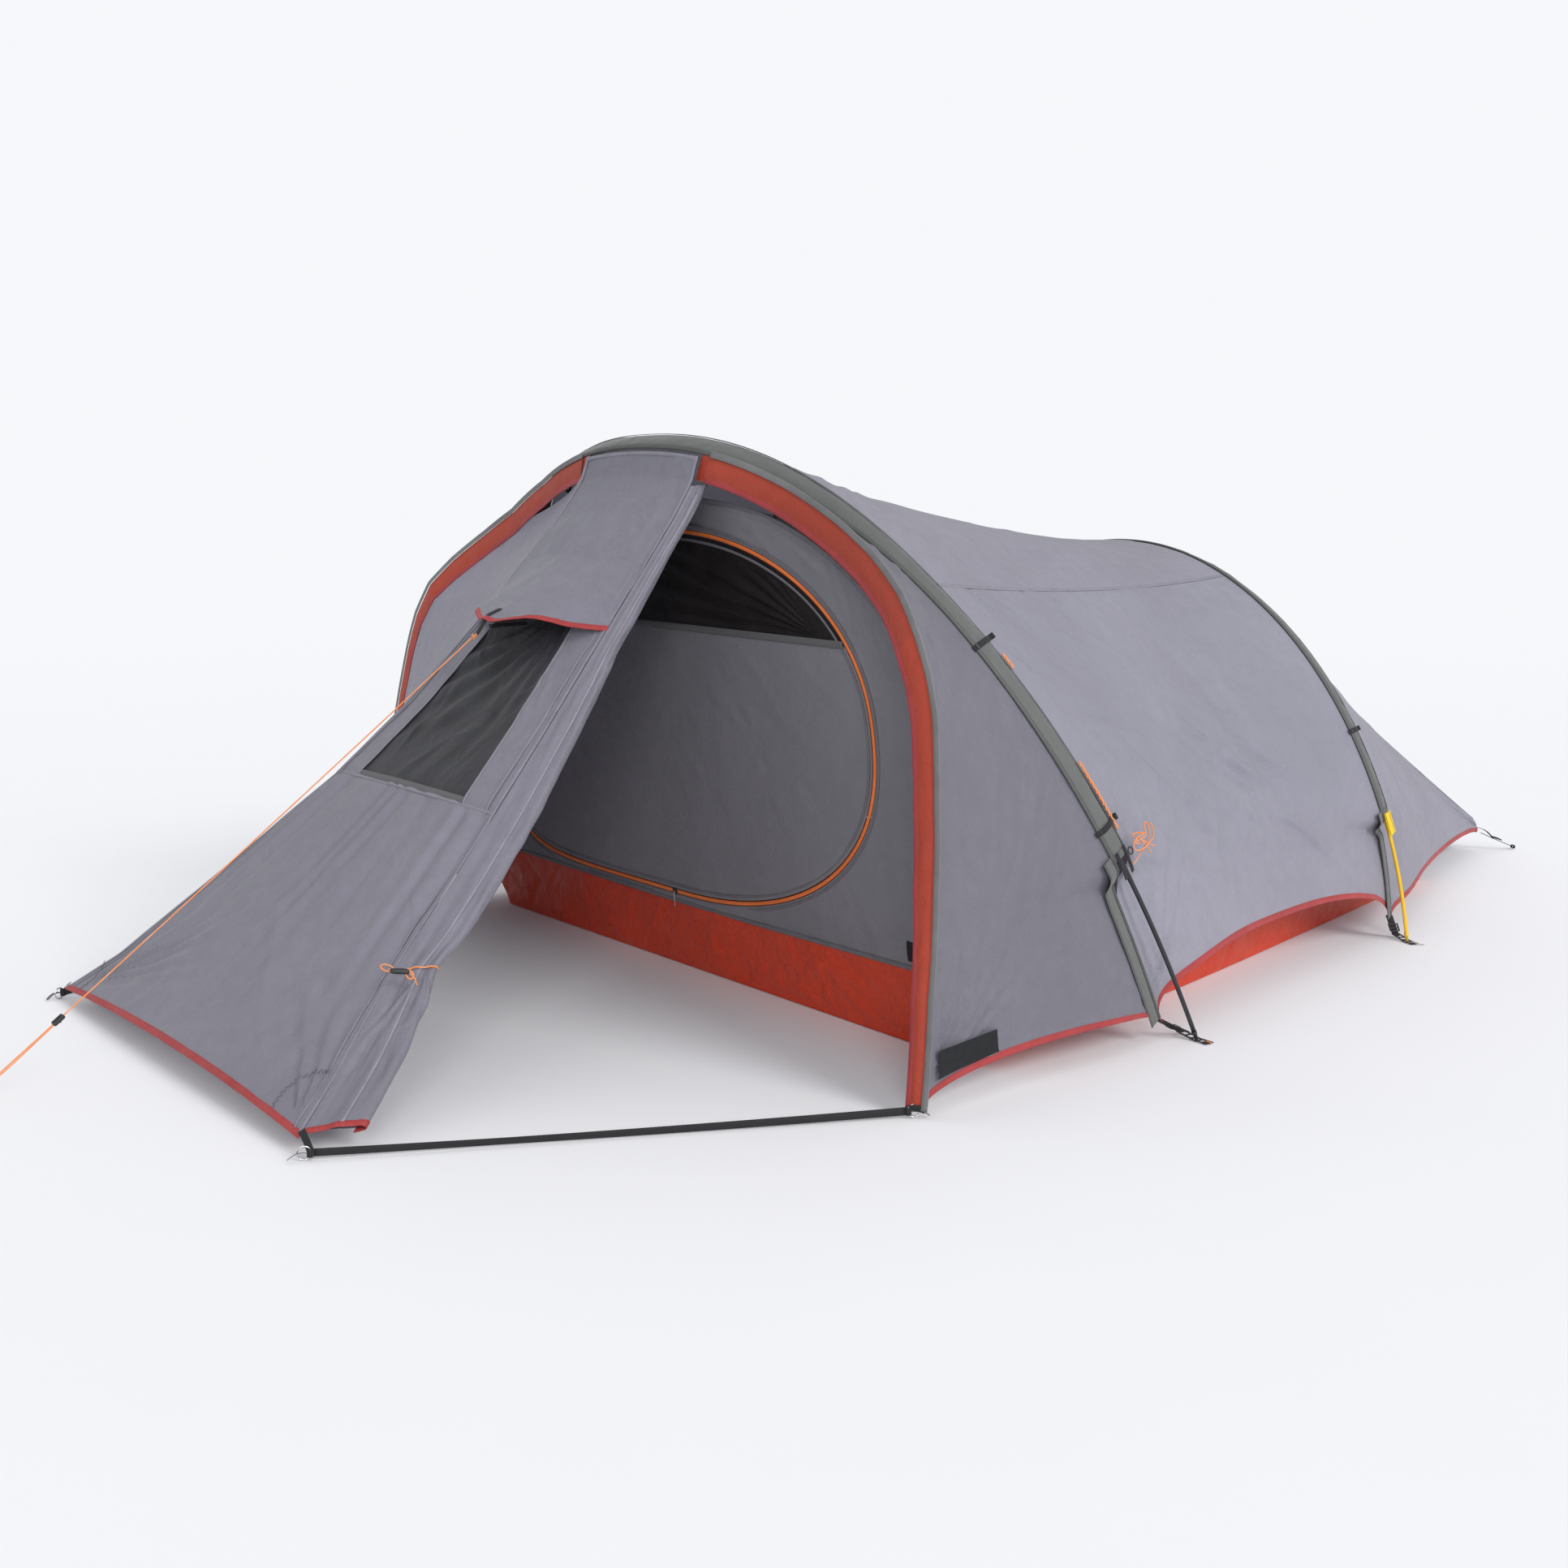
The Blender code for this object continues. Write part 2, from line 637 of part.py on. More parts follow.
def hem_strip(edge, down, width=HEM_W):
    """binding that continues a panel's lower edge"""
    edge = np.array(edge, float)
    down = unit(down)
    for e, q in ((0, 1), (-1, -2)):
        edge[e] = edge[e] + unit(edge[q] - edge[e]) * 0.0030
    a = edge + down * SEAM * 1.6
    b = edge + down * (SEAM * 1.6 + width)
    return np.stack([a, b], 0)


side_down = unit(side[0] - side[1])
side_hem = hem_strip(side[0], side_down)
pair("hem_side", side_hem, RED)

# ---------------------------------------------------------------- fly: panel between the front hoop and the door arch
FZ = np.array([0.000, 0.05, 0.12, 0.20, 0.30, 0.40, 0.50, 0.60, 0.70, 0.79, 0.87, 0.94, 0.99, 1.02])


def front_t(i):
    """hoop parameter of row i where it meets the door arch"""
    return float(hoop_t_for_z(0.028 + FZ[i] * (1.035 - 0.028) / 1.02, H1_H, H1_N))


def front_grid(nu):
    G = np.zeros((len(FZ), nu, 3))
    s = np.linspace(0, 1, nu)
    hem_z = 0.040 + 0.048 * np.sqrt(np.clip(1 - np.abs(2 * s - 1) ** 2.2, 0, 1)) - 0.012 * (1 - s)
    for j in range(nu):
        for i in range(len(FZ)):
            z = hem_z[j] + FZ[i] * (1.035 - hem_z[j]) / 1.02
            L = gutter_outer(front_t(i))
            R = edge1_front(hoop_t_for_z(min(z, 1.1), H1_H, H1_N))
            d = L - R
            length = np.linalg.norm(d)
            gap = 0.0016 / max(length, 0.004)
            a = gap + (1 - 2 * gap) * (1 - s[j])
            p = R + d * a
            zfix = z - p[2]
            p = p + np.array([0, 0, zfix if i == 0 else 0.0])
            sag = 0.020 * 4 * s[j] * (1 - s[j]) * min(1.0, length / 0.3)
            G[i, j] = p - np.array([1.0, 0.0, 0.25]) * sag
    return G


front = front_grid(8)
pair("fly_front", front, GREY, flip=True)
front_hem = hem_strip(front[0], unit(front[0] - front[1]))
pair("hem_front", front_hem, RED, flip=False)

# ---------------------------------------------------------------- rain gutter bands over the door arches
gt = np.concatenate([[front_t(i) for i in range(len(FZ))], hoop_t_for_z(np.array([1.07, 1.09, 1.105]), H1_H, H1_N), [GUT_T1]])
go, gi = gutter_outer(gt), gutter_inner(gt)
gut = np.stack([lerp(go, gi, 0.0), lerp(go, gi, 0.5), gi], 1)
pair("gutter", gut, ORANGE, flip=False)

# ---------------------------------------------------------------- nose
AS = np.linspace(-1, 1, 11)


def nose_grid(ks, inset=SEAM):
    G = np.zeros((len(AS), len(ks), 3))
    for j, k in enumerate(ks):
        w = float(nose_w(lerp(1.125, 0.020, k)))
        for i, a in enumerate(AS):
            G[i, j] = nose(a * (1 - inset / w), k)
    return G


ku = k_for_z(np.array([1.119, 1.09, 1.05, 1.00, 0.95, 0.907]))
sheet("nose_upper", nose_grid(ku), GREY)
kl = list(k_for_z(np.array([0.800, 0.776, 0.70, 0.62, 0.54, 0.466, 0.38, 0.30, 0.22, 0.14, 0.08])) ) + [float(k_for_z(0.0345))]
AL = np.array([-1.0, -0.62, -0.42, -0.21, 0.0, 0.21, 0.42, 0.62, 1.0])


def lower_grid():
    G = np.zeros((len(AL), len(kl), 3))
    for j, k in enumerate(kl):
        w = float(nose_w(lerp(1.125, 0.020, k)))
        for i, a in enumerate(AL):
            aa = a
            if abs(abs(a) - 0.62) < 1e-6:
                aa = math.copysign(0.60 + 0.08 * np.clip((k - kl[1]) / (kl[5] - kl[1]), 0, 1), a)
            G[i, j] = nose(aa * (1 - SEAM / w), k)
    return G


low = lower_grid()
mask = [[not (1 <= i <= 6 and 1 <= j <= 4) for j in range(len(kl) - 1)] for i in range(len(AL) - 1)]
sheet("nose_lower", low, GREY, mask=mask)
win = low[1:8, 1:6].copy()
c0 = win.mean(axis=(0, 1))
for i in range(win.shape[0]):
    for j in range(win.shape[1]):
        edge_i = (i == 0) - (i == win.shape[0] - 1)
        edge_j = (j == 0) - (j == win.shape[1] - 1)
        if edge_i:
            win[i, j] += np.array([0.0012 * edge_i, 0, 0])
        if edge_j:
            win[i, j] += unit(win[i, 2] - win[i, j]) * 0.0012
sheet("vent_mesh", win, MESHC, thick=0.0008)
nose_hem = hem_strip(low[:, -1], unit(low[:, -1] - low[:, -2]), 0.013)
sheet("hem_nose", np.swapaxes(nose_hem, 0, 1), RED)

HA = np.array([-0.996, -0.84, -0.66, -0.48, -0.30, -0.14, 0.0, 0.14, 0.30, 0.48, 0.66, 0.84, 0.996])
HQ = np.array([0.0, 0.25, 0.5, 0.75, 0.98])
hg = np.zeros((len(HA), len(HQ), 3))
for i, a in enumerate(HA):
    for j, q in enumerate(HQ):
        p = hood(a * 0.992, q)
        p = p + np.array([0.0, -0.0030, 0.0018]) * min(1.0, q / 0.25) + np.array([0, 0, -0.0022]) * (1 if q == 0 else 0)
        hg[i, j] = p
sheet("vent_hood", hg, GREY)
st0 = nose(0.0, float(k_for_z(0.768))) + np.array([0.0, -0.0085, 0.0050])
st1 = np.array([0.0, -0.9640, 0.7770])
tube("vent_strut", [lerp(st0, st1, q) for q in (0.0, 0.33, 0.66, 1.0)], [0.0032, 0.0032, 0.0032, 0.0032], BLACK, sides=8)

# ---------------------------------------------------------------- near door: rolled back and tied beside the nose
rollz = [1.045, 0.99, 0.92, 0.84, 0.75, 0.65, 0.55, 0.45, 0.36, 0.28, 0.235, 0.19, 0.13, 0.08, 0.045]
rw = [0.030, 0.036, 0.042, 0.046, 0.048, 0.050, 0.056, 0.064, 0.070, 0.062, 0.040, 0.058, 0.064, 0.062, 0.056]
rings = []
for z, r in zip(rollz, rw):
    k = float(k_for_z(z))
    seam = nose(1.0, k)
    d = unit(np.array([0.42, 0.90, 0.05]))
    c = seam + d * (r + 0.0022) + np.array([0.0012, 0.0, 0.0])
    nrm = unit(np.cross(d, unit(nose(1.0, k + 0.02) - nose(1.0, k - 0.02))))
    th = 0.006 + 0.003 * (1 if abs(z - 0.235) < 0.03 else 0)
    rings.append([c + d * (r * math.cos(a)) + nrm * (th * math.sin(a)) for a in np.linspace(0, 2 * math.pi, 12, endpoint=False)])
loft("door_near", rings, GREY, 0.6)

# ---------------------------------------------------------------- far door: closed between the nose seam and the door arch
nd = len(FZ)
dz = np.array([0.028 + FZ[nd - 1 - i] * (1.035 - 0.028) / 1.02 for i in range(nd)])
dz = np.minimum(dz, 1.03)
df = np.zeros((nd, 8, 3))
for i, z in enumerate(dz):
    zn = lerp(z, z, 0)
    ns = nose(1.0, float(k_for_z(min(max(z, 0.045) + 0.050 * (z / 1.04), 1.09))))
    gs = gutter_inner(front_t(nd - 1 - i))
    for j in range(8):
        s = j / 7
        p = lerp(ns, gs, 0.0)
        d = gs - ns
        L = np.linalg.norm(d)
        g = (0.0028 + 0.0022 * smooth((z - 0.80) / 0.2)) / L
        p = ns + d * (g + (1 - 2 * g) * s)
        sag = 0.030 * 4 * s * (1 - s) * min(1.0, L / 0.5)
        zz = 0.034 * 4 * s * (1 - s) if i == nd - 1 else (0.018 * 4 * s * (1 - s) if i == nd - 2 else 0.0)
        df[i, j] = p + np.array([-0.55 * sag, 0.75 * sag, zz])
sheet("door_far", mirrored(df), GREY, flip=False)

# ---------------------------------------------------------------- fly: rear
RC = np.array(REAR_CORNER)


def rear_hem_z(q):
    return 0.050 + 0.062 * np.sqrt(np.clip(1 - np.abs(2 * q - 1) ** 2.4, 0, 1)) * (1 - 0.35 * q) + 0.012 * q


def rear_seam(q):
    a = edge2_rear(REAR_SEAM_T)
    p = lerp(a, RC + np.array([0.0, 0.0, 0.005]), q * 0.985)
    return p - np.array([0.0, 0.25, 0.6]) * 0.012 * 4 * q * (1 - q)


def rear_panel(nt, qs):
    rows = ROWS3 if nt == len(ROWS3) else None
    G = np.zeros((nt, len(qs), 3))
    for j, q in enumerate(qs):
        qq = q * 0.985
        for i in range(nt):
            s = i / (nt - 1)
            zl = 0.052
            t0 = hoop_t_for_z(zl + 0.004, H2_H, H2_N)
            t = 0.0
            if rows is not None:
                t = rows[i] if i else float(t0)
            a = edge2_rear(t)
            p = lerp(a, RC + np.array([0.0, 0.0, 0.006 * s - 0.002]), qq)
            out = unit(np.array([1.0, 0.25, 0.55]))
            sag = 0.036 * 4 * qq * (1 - qq) * (1 - s ** 4)
            ruled = lerp(edge2_rear(REAR_SEAM_T), RC + np.array([0.0, 0.0, 0.004]), qq)
            p = p - out * sag + (rear_seam(q) - ruled) * s ** 3
            if i == nt - 1:
                nxt = lerp(edge2_rear(REAR_SEAM_T - 0.05), RC, qq)
                p = p + unit(nxt - p) * 0.0014 * (1 if q < 0.95 else 0.4) + np.array([0.0012, 0, 0])
            if True:
                lift = (float(rear_hem_z(q)) - lerp(0.052, RC[2], qq)) * (1 - s) ** 3
                p = p + np.array([0, 0, max(0.0, lift)])
            G[i, j] = p
    return G


QS = np.array([0.0, 0.06, 0.16, 0.30, 0.46, 0.62, 0.77, 0.90, 1.0])
ROWS3 = [0.0, 0.10, 0.16, 0.21, T2_END - 0.064, T2_END - 0.036, T2_END - 0.008, 0.42, 0.54, 0.67, 0.81, 0.95, 1.08, 1.21, REAR_SEAM_T]
rear = rear_panel(len(ROWS3), QS)
pair("fly_rear", rear, GREY, flip=True)


def rear_centre(nt, qs):
    G = np.zeros((nt, len(qs), 3))
    for j, q in enumerate(qs):
        for i in range(nt):
            s = i / (nt - 1)
            t = lerp(REAR_SEAM_T, math.pi - REAR_SEAM_T, s)
            a = edge2_rear(t)
            b = RC * np.array([lerp(1, -1, s), 1, 1]) + np.array([0, 0, 0.005])
            p = lerp(a, b, q * 0.985)
            e = abs(2 * s - 1)
            sag = 0.016 * 4 * q * (1 - q) * (1 - e * e)
            seam = rear_seam(q)
            ruled = lerp(edge2_rear(REAR_SEAM_T), RC + np.array([0.0, 0.0, 0.005]), q * 0.985)
            G[i, j] = p - np.array([0, 0.35, 0.9]) * sag + (seam - ruled) * np.array([0.0, 1.0, 1.0])
            if e > 0.99:
                G[i, j, 0] -= math.copysign(0.0012, G[i, j, 0])
    return G


rc = rear_centre(7, QS)
sheet("fly_rear_centre", rc, GREY, flip=True)
# rear binding: down one side, round the end and back along the other side
lower = rear[0]
dn = np.tile(np.array([0.10, 0.0, -1.0]), (len(lower), 1))
right_top = lower + np.array([0, 0, -1.0]) * 0.0022
right_bot = lower + np.array([0.0, 0, -1.0]) * (0.0022 + HEM_W)
end_x = np.array([0.149, 0.09, 0.03, -0.03, -0.09, -0.149])
ez = float(lower[-1][2])
end_top = np.stack([end_x, np.full(6, REAR_CORNER[1] + 0.0035), np.full(6, ez - 0.0022)], -1)
end_bot = end_top - np.array([0, 0, HEM_W])
right_top[0] += unit(right_top[1] - right_top[0]) * 0.006
right_bot[0] += unit(right_bot[1] - right_bot[0]) * 0.006
top = np.concatenate([right_top[:-1], end_top, mirrored(right_top[:-1])[::-1]])
bot = np.concatenate([right_bot[:-1], end_bot, mirrored(right_bot[:-1])[::-1]])
sheet("hem_rear", np.stack([top, bot], 0), RED)

# ---------------------------------------------------------------- yellow marker tabs at the rear sleeve ends
tt = np.linspace(T2_END - 0.055, T2_END - 0.004, 4)
W2, N2 = frame2(tt)
tab = np.stack([hoop2(tt) - W2 * 0.021 + N2 * 0.0075, hoop2(tt) - W2 * 0.007 + N2 * 0.0085, hoop2(tt) + W2 * 0.007 + N2 * 0.0085, hoop2(tt) + W2 * 0.018 + N2 * 0.0075], 1)
pair("rear_tab", tab, GOLD, flip=True)

# ---------------------------------------------------------------- inner tent
def tub():
    """one floor with turned-up walls; stations run from front to rear"""
    ys = np.array([TUB_FRONT_Y, -0.05, 0.35, 0.78, 1.20, 1.46, TUB_REAR_Y])
    th = 0.0015
    rows = []
    for y in ys:
        w = lerp(TUB_FRONT_W, TUB_REAR_W, (y - TUB_FRONT_Y) / (TUB_REAR_Y - TUB_FRONT_Y))
        h = TUB_H if y < 1.201 else lerp(TUB_H, 0.115, (y - 1.2) / 0.52)
        fr = 1.0 if y == ys[0] else 0.0
        bk = 1.0 if y == ys[-1] else 0.0
        yo, yi = y, y + th * fr - th * bk
        dy = WALL_LEAN * h * fr
        rows.append([
            (w, yo, 0.0), (w * 1.004, yo + dy, h), (w * 1.004 - th, yi + dy, h), (w - th * 1.1, yi, th),
            (-w + th * 1.1, yi, th), (-w * 1.004 + th, yi + dy, h), (-w * 1.004, yo + dy, h), (-w, yo, 0.0)])
    V, F = [], []
    m = len(rows)
    for r in rows:
        V += r
    for i in range(m - 1):
        for k in range(8):
            a, b = i * 8 + k, i * 8 + (k + 1) % 8
            c, d = (i + 1) * 8 + (k + 1) % 8, (i + 1) * 8 + k
            F += [(a, b, c), (a, c, d)]
    # end walls: outer face and inner face, joined along the top
    o = len(V)
    for e, idx in ((0, 0), (1, m - 1)):
        r = idx * 8
        # outer skin of the end wall: 0, 1, 6, 7; inner skin: 3, 2, 5, 4
        outer = (r + 0, r + 7, r + 6, r + 1)
        inner = (r + 2, r + 5, r + 4, r + 3)
        topf = (r + 1, r + 6, r + 5, r + 2)
        fs = [outer, inner, topf]
        if e:
            fs = [tuple(reversed(f)) for f in fs]
        F += fs
    # the floor strip between stations already closes the underside; drop the doubled end strips
    return finish("inner_tub", V, F, ORANGE, 0.6), None


_, tub_top = tub()

def even_phi(tol=0.0007):
    """angles round the D door, closer together where the outline turns"""
    cur = list(np.linspace(0, 2 * math.pi, 33))
    out = [cur[0]]
    todo = [(cur[i], cur[i + 1]) for i in range(len(cur) - 1)][::-1]
    while todo:
        a, b = todo.pop()
        x, z = door_curve(np.array([a, 0.5 * (a + b), b]))
        p, m, q = (np.array([x[i], z[i]]) for i in range(3))
        d = unit(q - p)
        off = m - p
        if abs(off[0] * d[1] - off[1] * d[0]) > tol and b - a > 0.008:
            todo.append((0.5 * (a + b), b))
            todo.append((a, 0.5 * (a + b)))
        else:
            out.append(b)
    return np.array(out[:-1])


phi = even_phi()
K = len(phi)
dx, dzz = door_curve(phi, 0.0096)
wx, wz = wall_arch(phi)
wall = np.zeros((K, 3, 3))
for j, s in enumerate((0.0, 0.5, 1.0)):
    wall[:, j] = wall_point(dx + (wx - dx) * s, dzz + (wz - dzz) * s)
sheet("inner_front_wall", wall, GREY, closed_u=True, flip=False)
ix, iz = door_curve(phi, -0.0048)
ox, oz = door_curve(phi, 0.0056)
zipg = np.stack([wall_point(ix, iz), wall_point(ox, oz)], 1)
sheet("inner_zip", zipg, ZIP, closed_u=True, thick=0.0022)


def door_region(lo_z, hi_z, name, rgb, cols=19):
    ph = np.linspace(0, 2 * math.pi, 720, endpoint=False)
    ex, ez_ = door_curve(ph, -0.0094)
    up = ez_ >= D_CZ
    xs_l = []
    def span(x):
        k = ex
        idx = [i for i in range(720) if (ex[i] - x) * (ex[(i + 1) % 720] - x) <= 0 and abs(ex[i] - ex[(i + 1) % 720]) > 1e-9]
        zz = [ez_[i] + (ez_[(i + 1) % 720] - ez_[i]) * (x - ex[i]) / (ex[(i + 1) % 720] - ex[i]) for i in idx]
        return min(zz), max(zz)
    # x range where the region has height
    xs = np.linspace(ex.min() + 0.0012, ex.max() - 0.0012, 400)
    ok = []
    for x in xs:
        a, b = span(x)
        a, b = max(a, lo_z), min(b, hi_z)
        if b - a > 0.006:
            ok.append(x)
    x0, x1 = min(ok), max(ok)
    c = np.linspace(0, 1, cols)
    c = 0.5 - 0.5 * np.cos(math.pi * c)
    G = np.zeros((cols, 4, 3))
    for i, x in enumerate(x0 + (x1 - x0) * c):
        a, b = span(x)
        a, b = max(a, lo_z), min(b, hi_z)
        for j in range(4):
            G[i, j] = wall_point(x, a + (b - a) * j / 3)
    sheet(name, G, rgb, flip=False)


door_region(0.0, 0.7575, "inner_door_panel", GREY)
door_region(0.7590, 2.0, "inner_door_mesh", MESHC)

# slider on the straight lower run of the door zip
sx = 0.02
szx, szz = door_curve(np.array([-math.pi / 2 - 0.03]), 0.0)
zc = float(szz[0])
px = float(szx[0])
zmid = zc + 0.0002
rings = []
for xx, hy, hz in ((-0.008, 0.0038, 0.0076), (0.008, 0.0038, 0.0076), (0.008, 0.0022, 0.0067), (-0.008, 0.0022, 0.0067)):
    rings.append([wall_point(px + xx, zmid + cz * hz) + np.array([0, cy * hy, 0]) for cy, cz in ((-1, -1), (1, -1), (1, 1), (-1, 1))])
loft("inner_zip_slider", rings, BLACK, 0.4, close=True)

# canopy of the inner tent
def canopy():
    nt = 19
    tau = np.linspace(0, math.pi, nt)
    def arch(a, h, n, base, t):
        x, z = super_arch(t, a, h, n)
        return x, base + (z / h) * (h - base)
    stations = []
    za = hoop_t_for_z(TUB_H / W_H, 1.0, W_N)
    def front_station(t):
        tt2 = float(za) + (math.pi - 2 * float(za)) * t / math.pi
        x, z = super_arch(tt2, W_A, W_H, W_N)
        p = wall_point(x, max(z, TUB_H + 0.0016))
        return p
    def tub_rim(y):
        return lerp(TUB_FRONT_W, TUB_REAR_W, (y - TUB_FRONT_Y) / (TUB_REAR_Y - TUB_FRONT_Y)) * 1.004
    sts = [0.0012, 0.12, 0.26, 0.42, 0.60, 0.80, 1.0]
    G = np.zeros((nt, 11, 3))
    for j, s in enumerate(sts):
        for i, t in enumerate(tau):
            p = front_station(t)
            yb = 1.035
            xB, zB = super_arch(t, 0.535, 0.690, 2.1)
            pB = np.array([xB, yb - 0.215 * (zB + TUB_H), zB + TUB_H + 0.0016])
            q = lerp(p, pB, s)
            q = q - np.array([0, 0, 0.030 * 4 * s * (1 - s)]) * max(0.0, math.sin(t)) ** 1.5
            if i in (0, nt - 1):
                q[2] = TUB_H + 0.0020
                q[0] = math.copysign(tub_rim(q[1]), q[0])
            if j == 0:
                q[1] += 0.0022
            G[i, j] = q
    rears = [0.25, 0.5, 0.75, 1.0]
    for k, s in enumerate(rears):
        for i, t in enumerate(tau):
            pB = G[i, 6]
            xe = math.cos(t)
            yend = TUB_REAR_Y - 0.0006
            pe = np.array([TUB_REAR_W * 1.004 * xe, yend, 0.115 + 0.0020])
            q = lerp(pB, pe, s)
            q = q - np.array([0, 0.0, 0.022 * 4 * s * (1 - s)]) * max(0.0, math.sin(t))
            if i in (0, nt - 1):
                yy = lerp(pB[1], yend, s)
                rim = TUB_H if yy < 1.2 else lerp(TUB_H, 0.115, (yy - 1.2) / 0.52)
                q = np.array([math.copysign(tub_rim(yy), xe), yy, rim + 0.0020])
            G[i, 7 + k] = q
    return G


can = canopy()
sheet("inner_canopy", can, (0.42, 0.42, 0.45), flip=True)

# ---------------------------------------------------------------- ground webbing, rings and corner hardware
EYE = 0.0042


def mir(p):
    return np.array([-p[0], p[1], p[2]])


# door-sill straps between the nose corner and the door corner, one at each side
B0 = np.array([0.603, -1.628, 0.0128])
C0 = np.array([1.003, -0.742, 0.0128])
dirn = unit(C0 - B0)
pathBC = [B0 + (C0 - B0) * s - np.array([0, 0, 0.0035 * 4 * s * (1 - s)]) for s in np.linspace(0, 1, 7)]
acr = unit(np.cross(dirn, unit(np.array([0.55, -0.30, 0.62]))))
acr = np.array([0.0, 0.0, 1.0])
strap("sill_strap_near", pathBC, acr, 0.0140, 0.0016, BLACK, eye_start=EYE, eye_end=EYE)
strap("sill_strap_far", [mir(p) for p in pathBC], acr, 0.0140, 0.0016, BLACK, eye_start=EYE, eye_end=EYE)


def eye_centre(end, direction):
    ro = EYE + 0.0016
    return end + direction * math.sqrt(ro * ro - 0.0008 ** 2)


eb = eye_centre(pathBC[0], -unit(pathBC[1] - pathBC[0]))
ec = eye_centre(pathBC[-1], unit(pathBC[-1] - pathBC[-2]))
for nm, e, d in (("ring_nose", eb, -dirn), ("ring_door", ec, dirn)):
    cen = e + d * (RING_R - 0.0013)
    cen[2] = 0.0128
    axis = unit(np.cross(d, [0.0, 0.0, 1.0]))
    # the ring stands upright in the strap's plane normal, threaded through the eye
    ring(nm + "_near", cen + np.array([0, 0, 0.0]), axis * 1.0, RING_R, RING_WIRE, STEEL)
    ring(nm + "_far", mir(cen), mir(axis), RING_R, RING_WIRE, STEEL)


# ladder webbings that take the pole ends
def ladder(name, foot, across_pt, width, lead, tail, rise, rgb):
    """flat webbing with a row of slots; the third slot takes the pole end"""
    foot = np.asarray(foot, float)
    d = unit(np.asarray(across_pt, float) - foot)
    across = unit(np.cross(d, [0.0, 0.0, 1.0]))
    hole, bar = 0.0118, 0.0032
    marks = [-lead]
    x = -hole / 2
    xs_, holes = [], []
    starts = [x - 2 * (hole + bar), x - (hole + bar), x, x + hole + bar]
    for st in starts:
        xs_ += [st, st + hole]
        holes.append(st)
    xs_ = [-lead] + xs_ + [tail]
    n = len(xs_)
    G = np.zeros((n, 4, 3))
    for i, sx0 in enumerate(xs_):
        z = rise + max(0.0, -sx0) * 0.16
        for j, o in enumerate((-0.5, -0.335, 0.335, 0.5)):
            G[i, j] = foot + d * sx0 + across * o * width + np.array([0, 0, z])
    m = [[not (j == 1 and any(abs(xs_[i] - h) < 1e-9 for h in holes)) for j in range(3)] for i in range(n - 1)]
    sheet(name, G, rgb, thick=0.0016, mask=m)
    sheet(name.replace("_near", "_far"), mirrored(G), rgb, thick=0.0016, mask=m, flip=True)


ladder("ladder_front_near", (H1_A, H1_Y - 0.0014, 0.0), (H1_A + 0.5, H1_Y - 0.02, 0.0), 0.0215, 0.044, 0.034, 0.0022, BLACK)
ladder("ladder_rear_near", (H2_A, H2_Y - 0.0006, 0.0), (H2_A + 0.5, H2_Y - 0.18, 0.0), 0.0215, 0.046, 0.030, 0.0022, BLACK)

# corner webbing at the rear peg points
rp = [RC + np.array([0.006, 0.006, -0.020]), lerp(RC, np.array(REAR_PEG), 0.45) + np.array([0, 0, -0.010]), np.array(REAR_PEG) + np.array([-0.006, -0.010, 0.0055])]
rdir = unit(rp[-1] - rp[0])
ra = unit(np.cross(rdir, np.cross([0, 0, 1.0], rdir)))
strap("corner_strap_near", rp, unit(np.cross(rdir, [0, 0, 1.0])), 0.0100, 0.0015, BLACK, eye_end=0.0040)
strap("corner_strap_far", [mir(p) for p in rp], mir(unit(np.cross(rdir, [0, 0, 1.0]))), 0.0100, 0.0015, BLACK, eye_end=0.0040)


# webbing loops sewn across the sleeves
def loop_strap(name, fn, fr, t, half, out, near=True):
    w, n = fr(np.array([t]))
    w, n = w[0], n[0]
    p = fn(np.array([t]))[0]
    if not near:
        p, w, n = mir(p), mir(w), mir(n)
    tan = unit(np.cross(w, n))
    path = [p - w * half + n * 0.0030, p - w * half * 0.6 + n * (0.0098), p + n * (0.0105), p + w * half * 0.6 + n * 0.0098, p + w * (half + 0.001) + n * 0.0040, p + w * (half + out) + n * 0.0060]
    strap(name, path, tan, 0.0110, 0.0014, BLACK, eye_end=0.0032)


loop_strap("sleeve_strap_upper_near", hoop1, frame1, 0.690, 0.0262, 0.012)
loop_strap("sleeve_strap_lower_near", hoop1, frame1, 0.335, 0.0262, 0.010)
loop_strap("sleeve_strap_rear_near", hoop2, frame2, 0.560, 0.0262, 0.008)
loop_strap("sleeve_strap_upper_far", hoop1, frame1, 0.690, 0.0262, 0.012, near=False)
loop_strap("sleeve_strap_lower_far", hoop1, frame1, 0.335, 0.0262, 0.010, near=False)
loop_strap("sleeve_strap_rear_far", hoop2, frame2, 0.560, 0.0262, 0.008, near=False)

# ---------------------------------------------------------------- nose guyline and its tensioner
g0, g1 = np.array(GUY_TOP), np.array(GUY_END)
gl = [g0 + (g1 - g0) * s - np.array([0, 0, 0.004 * 4 * s * (1 - s)]) for s in np.linspace(0, 1, 9)]
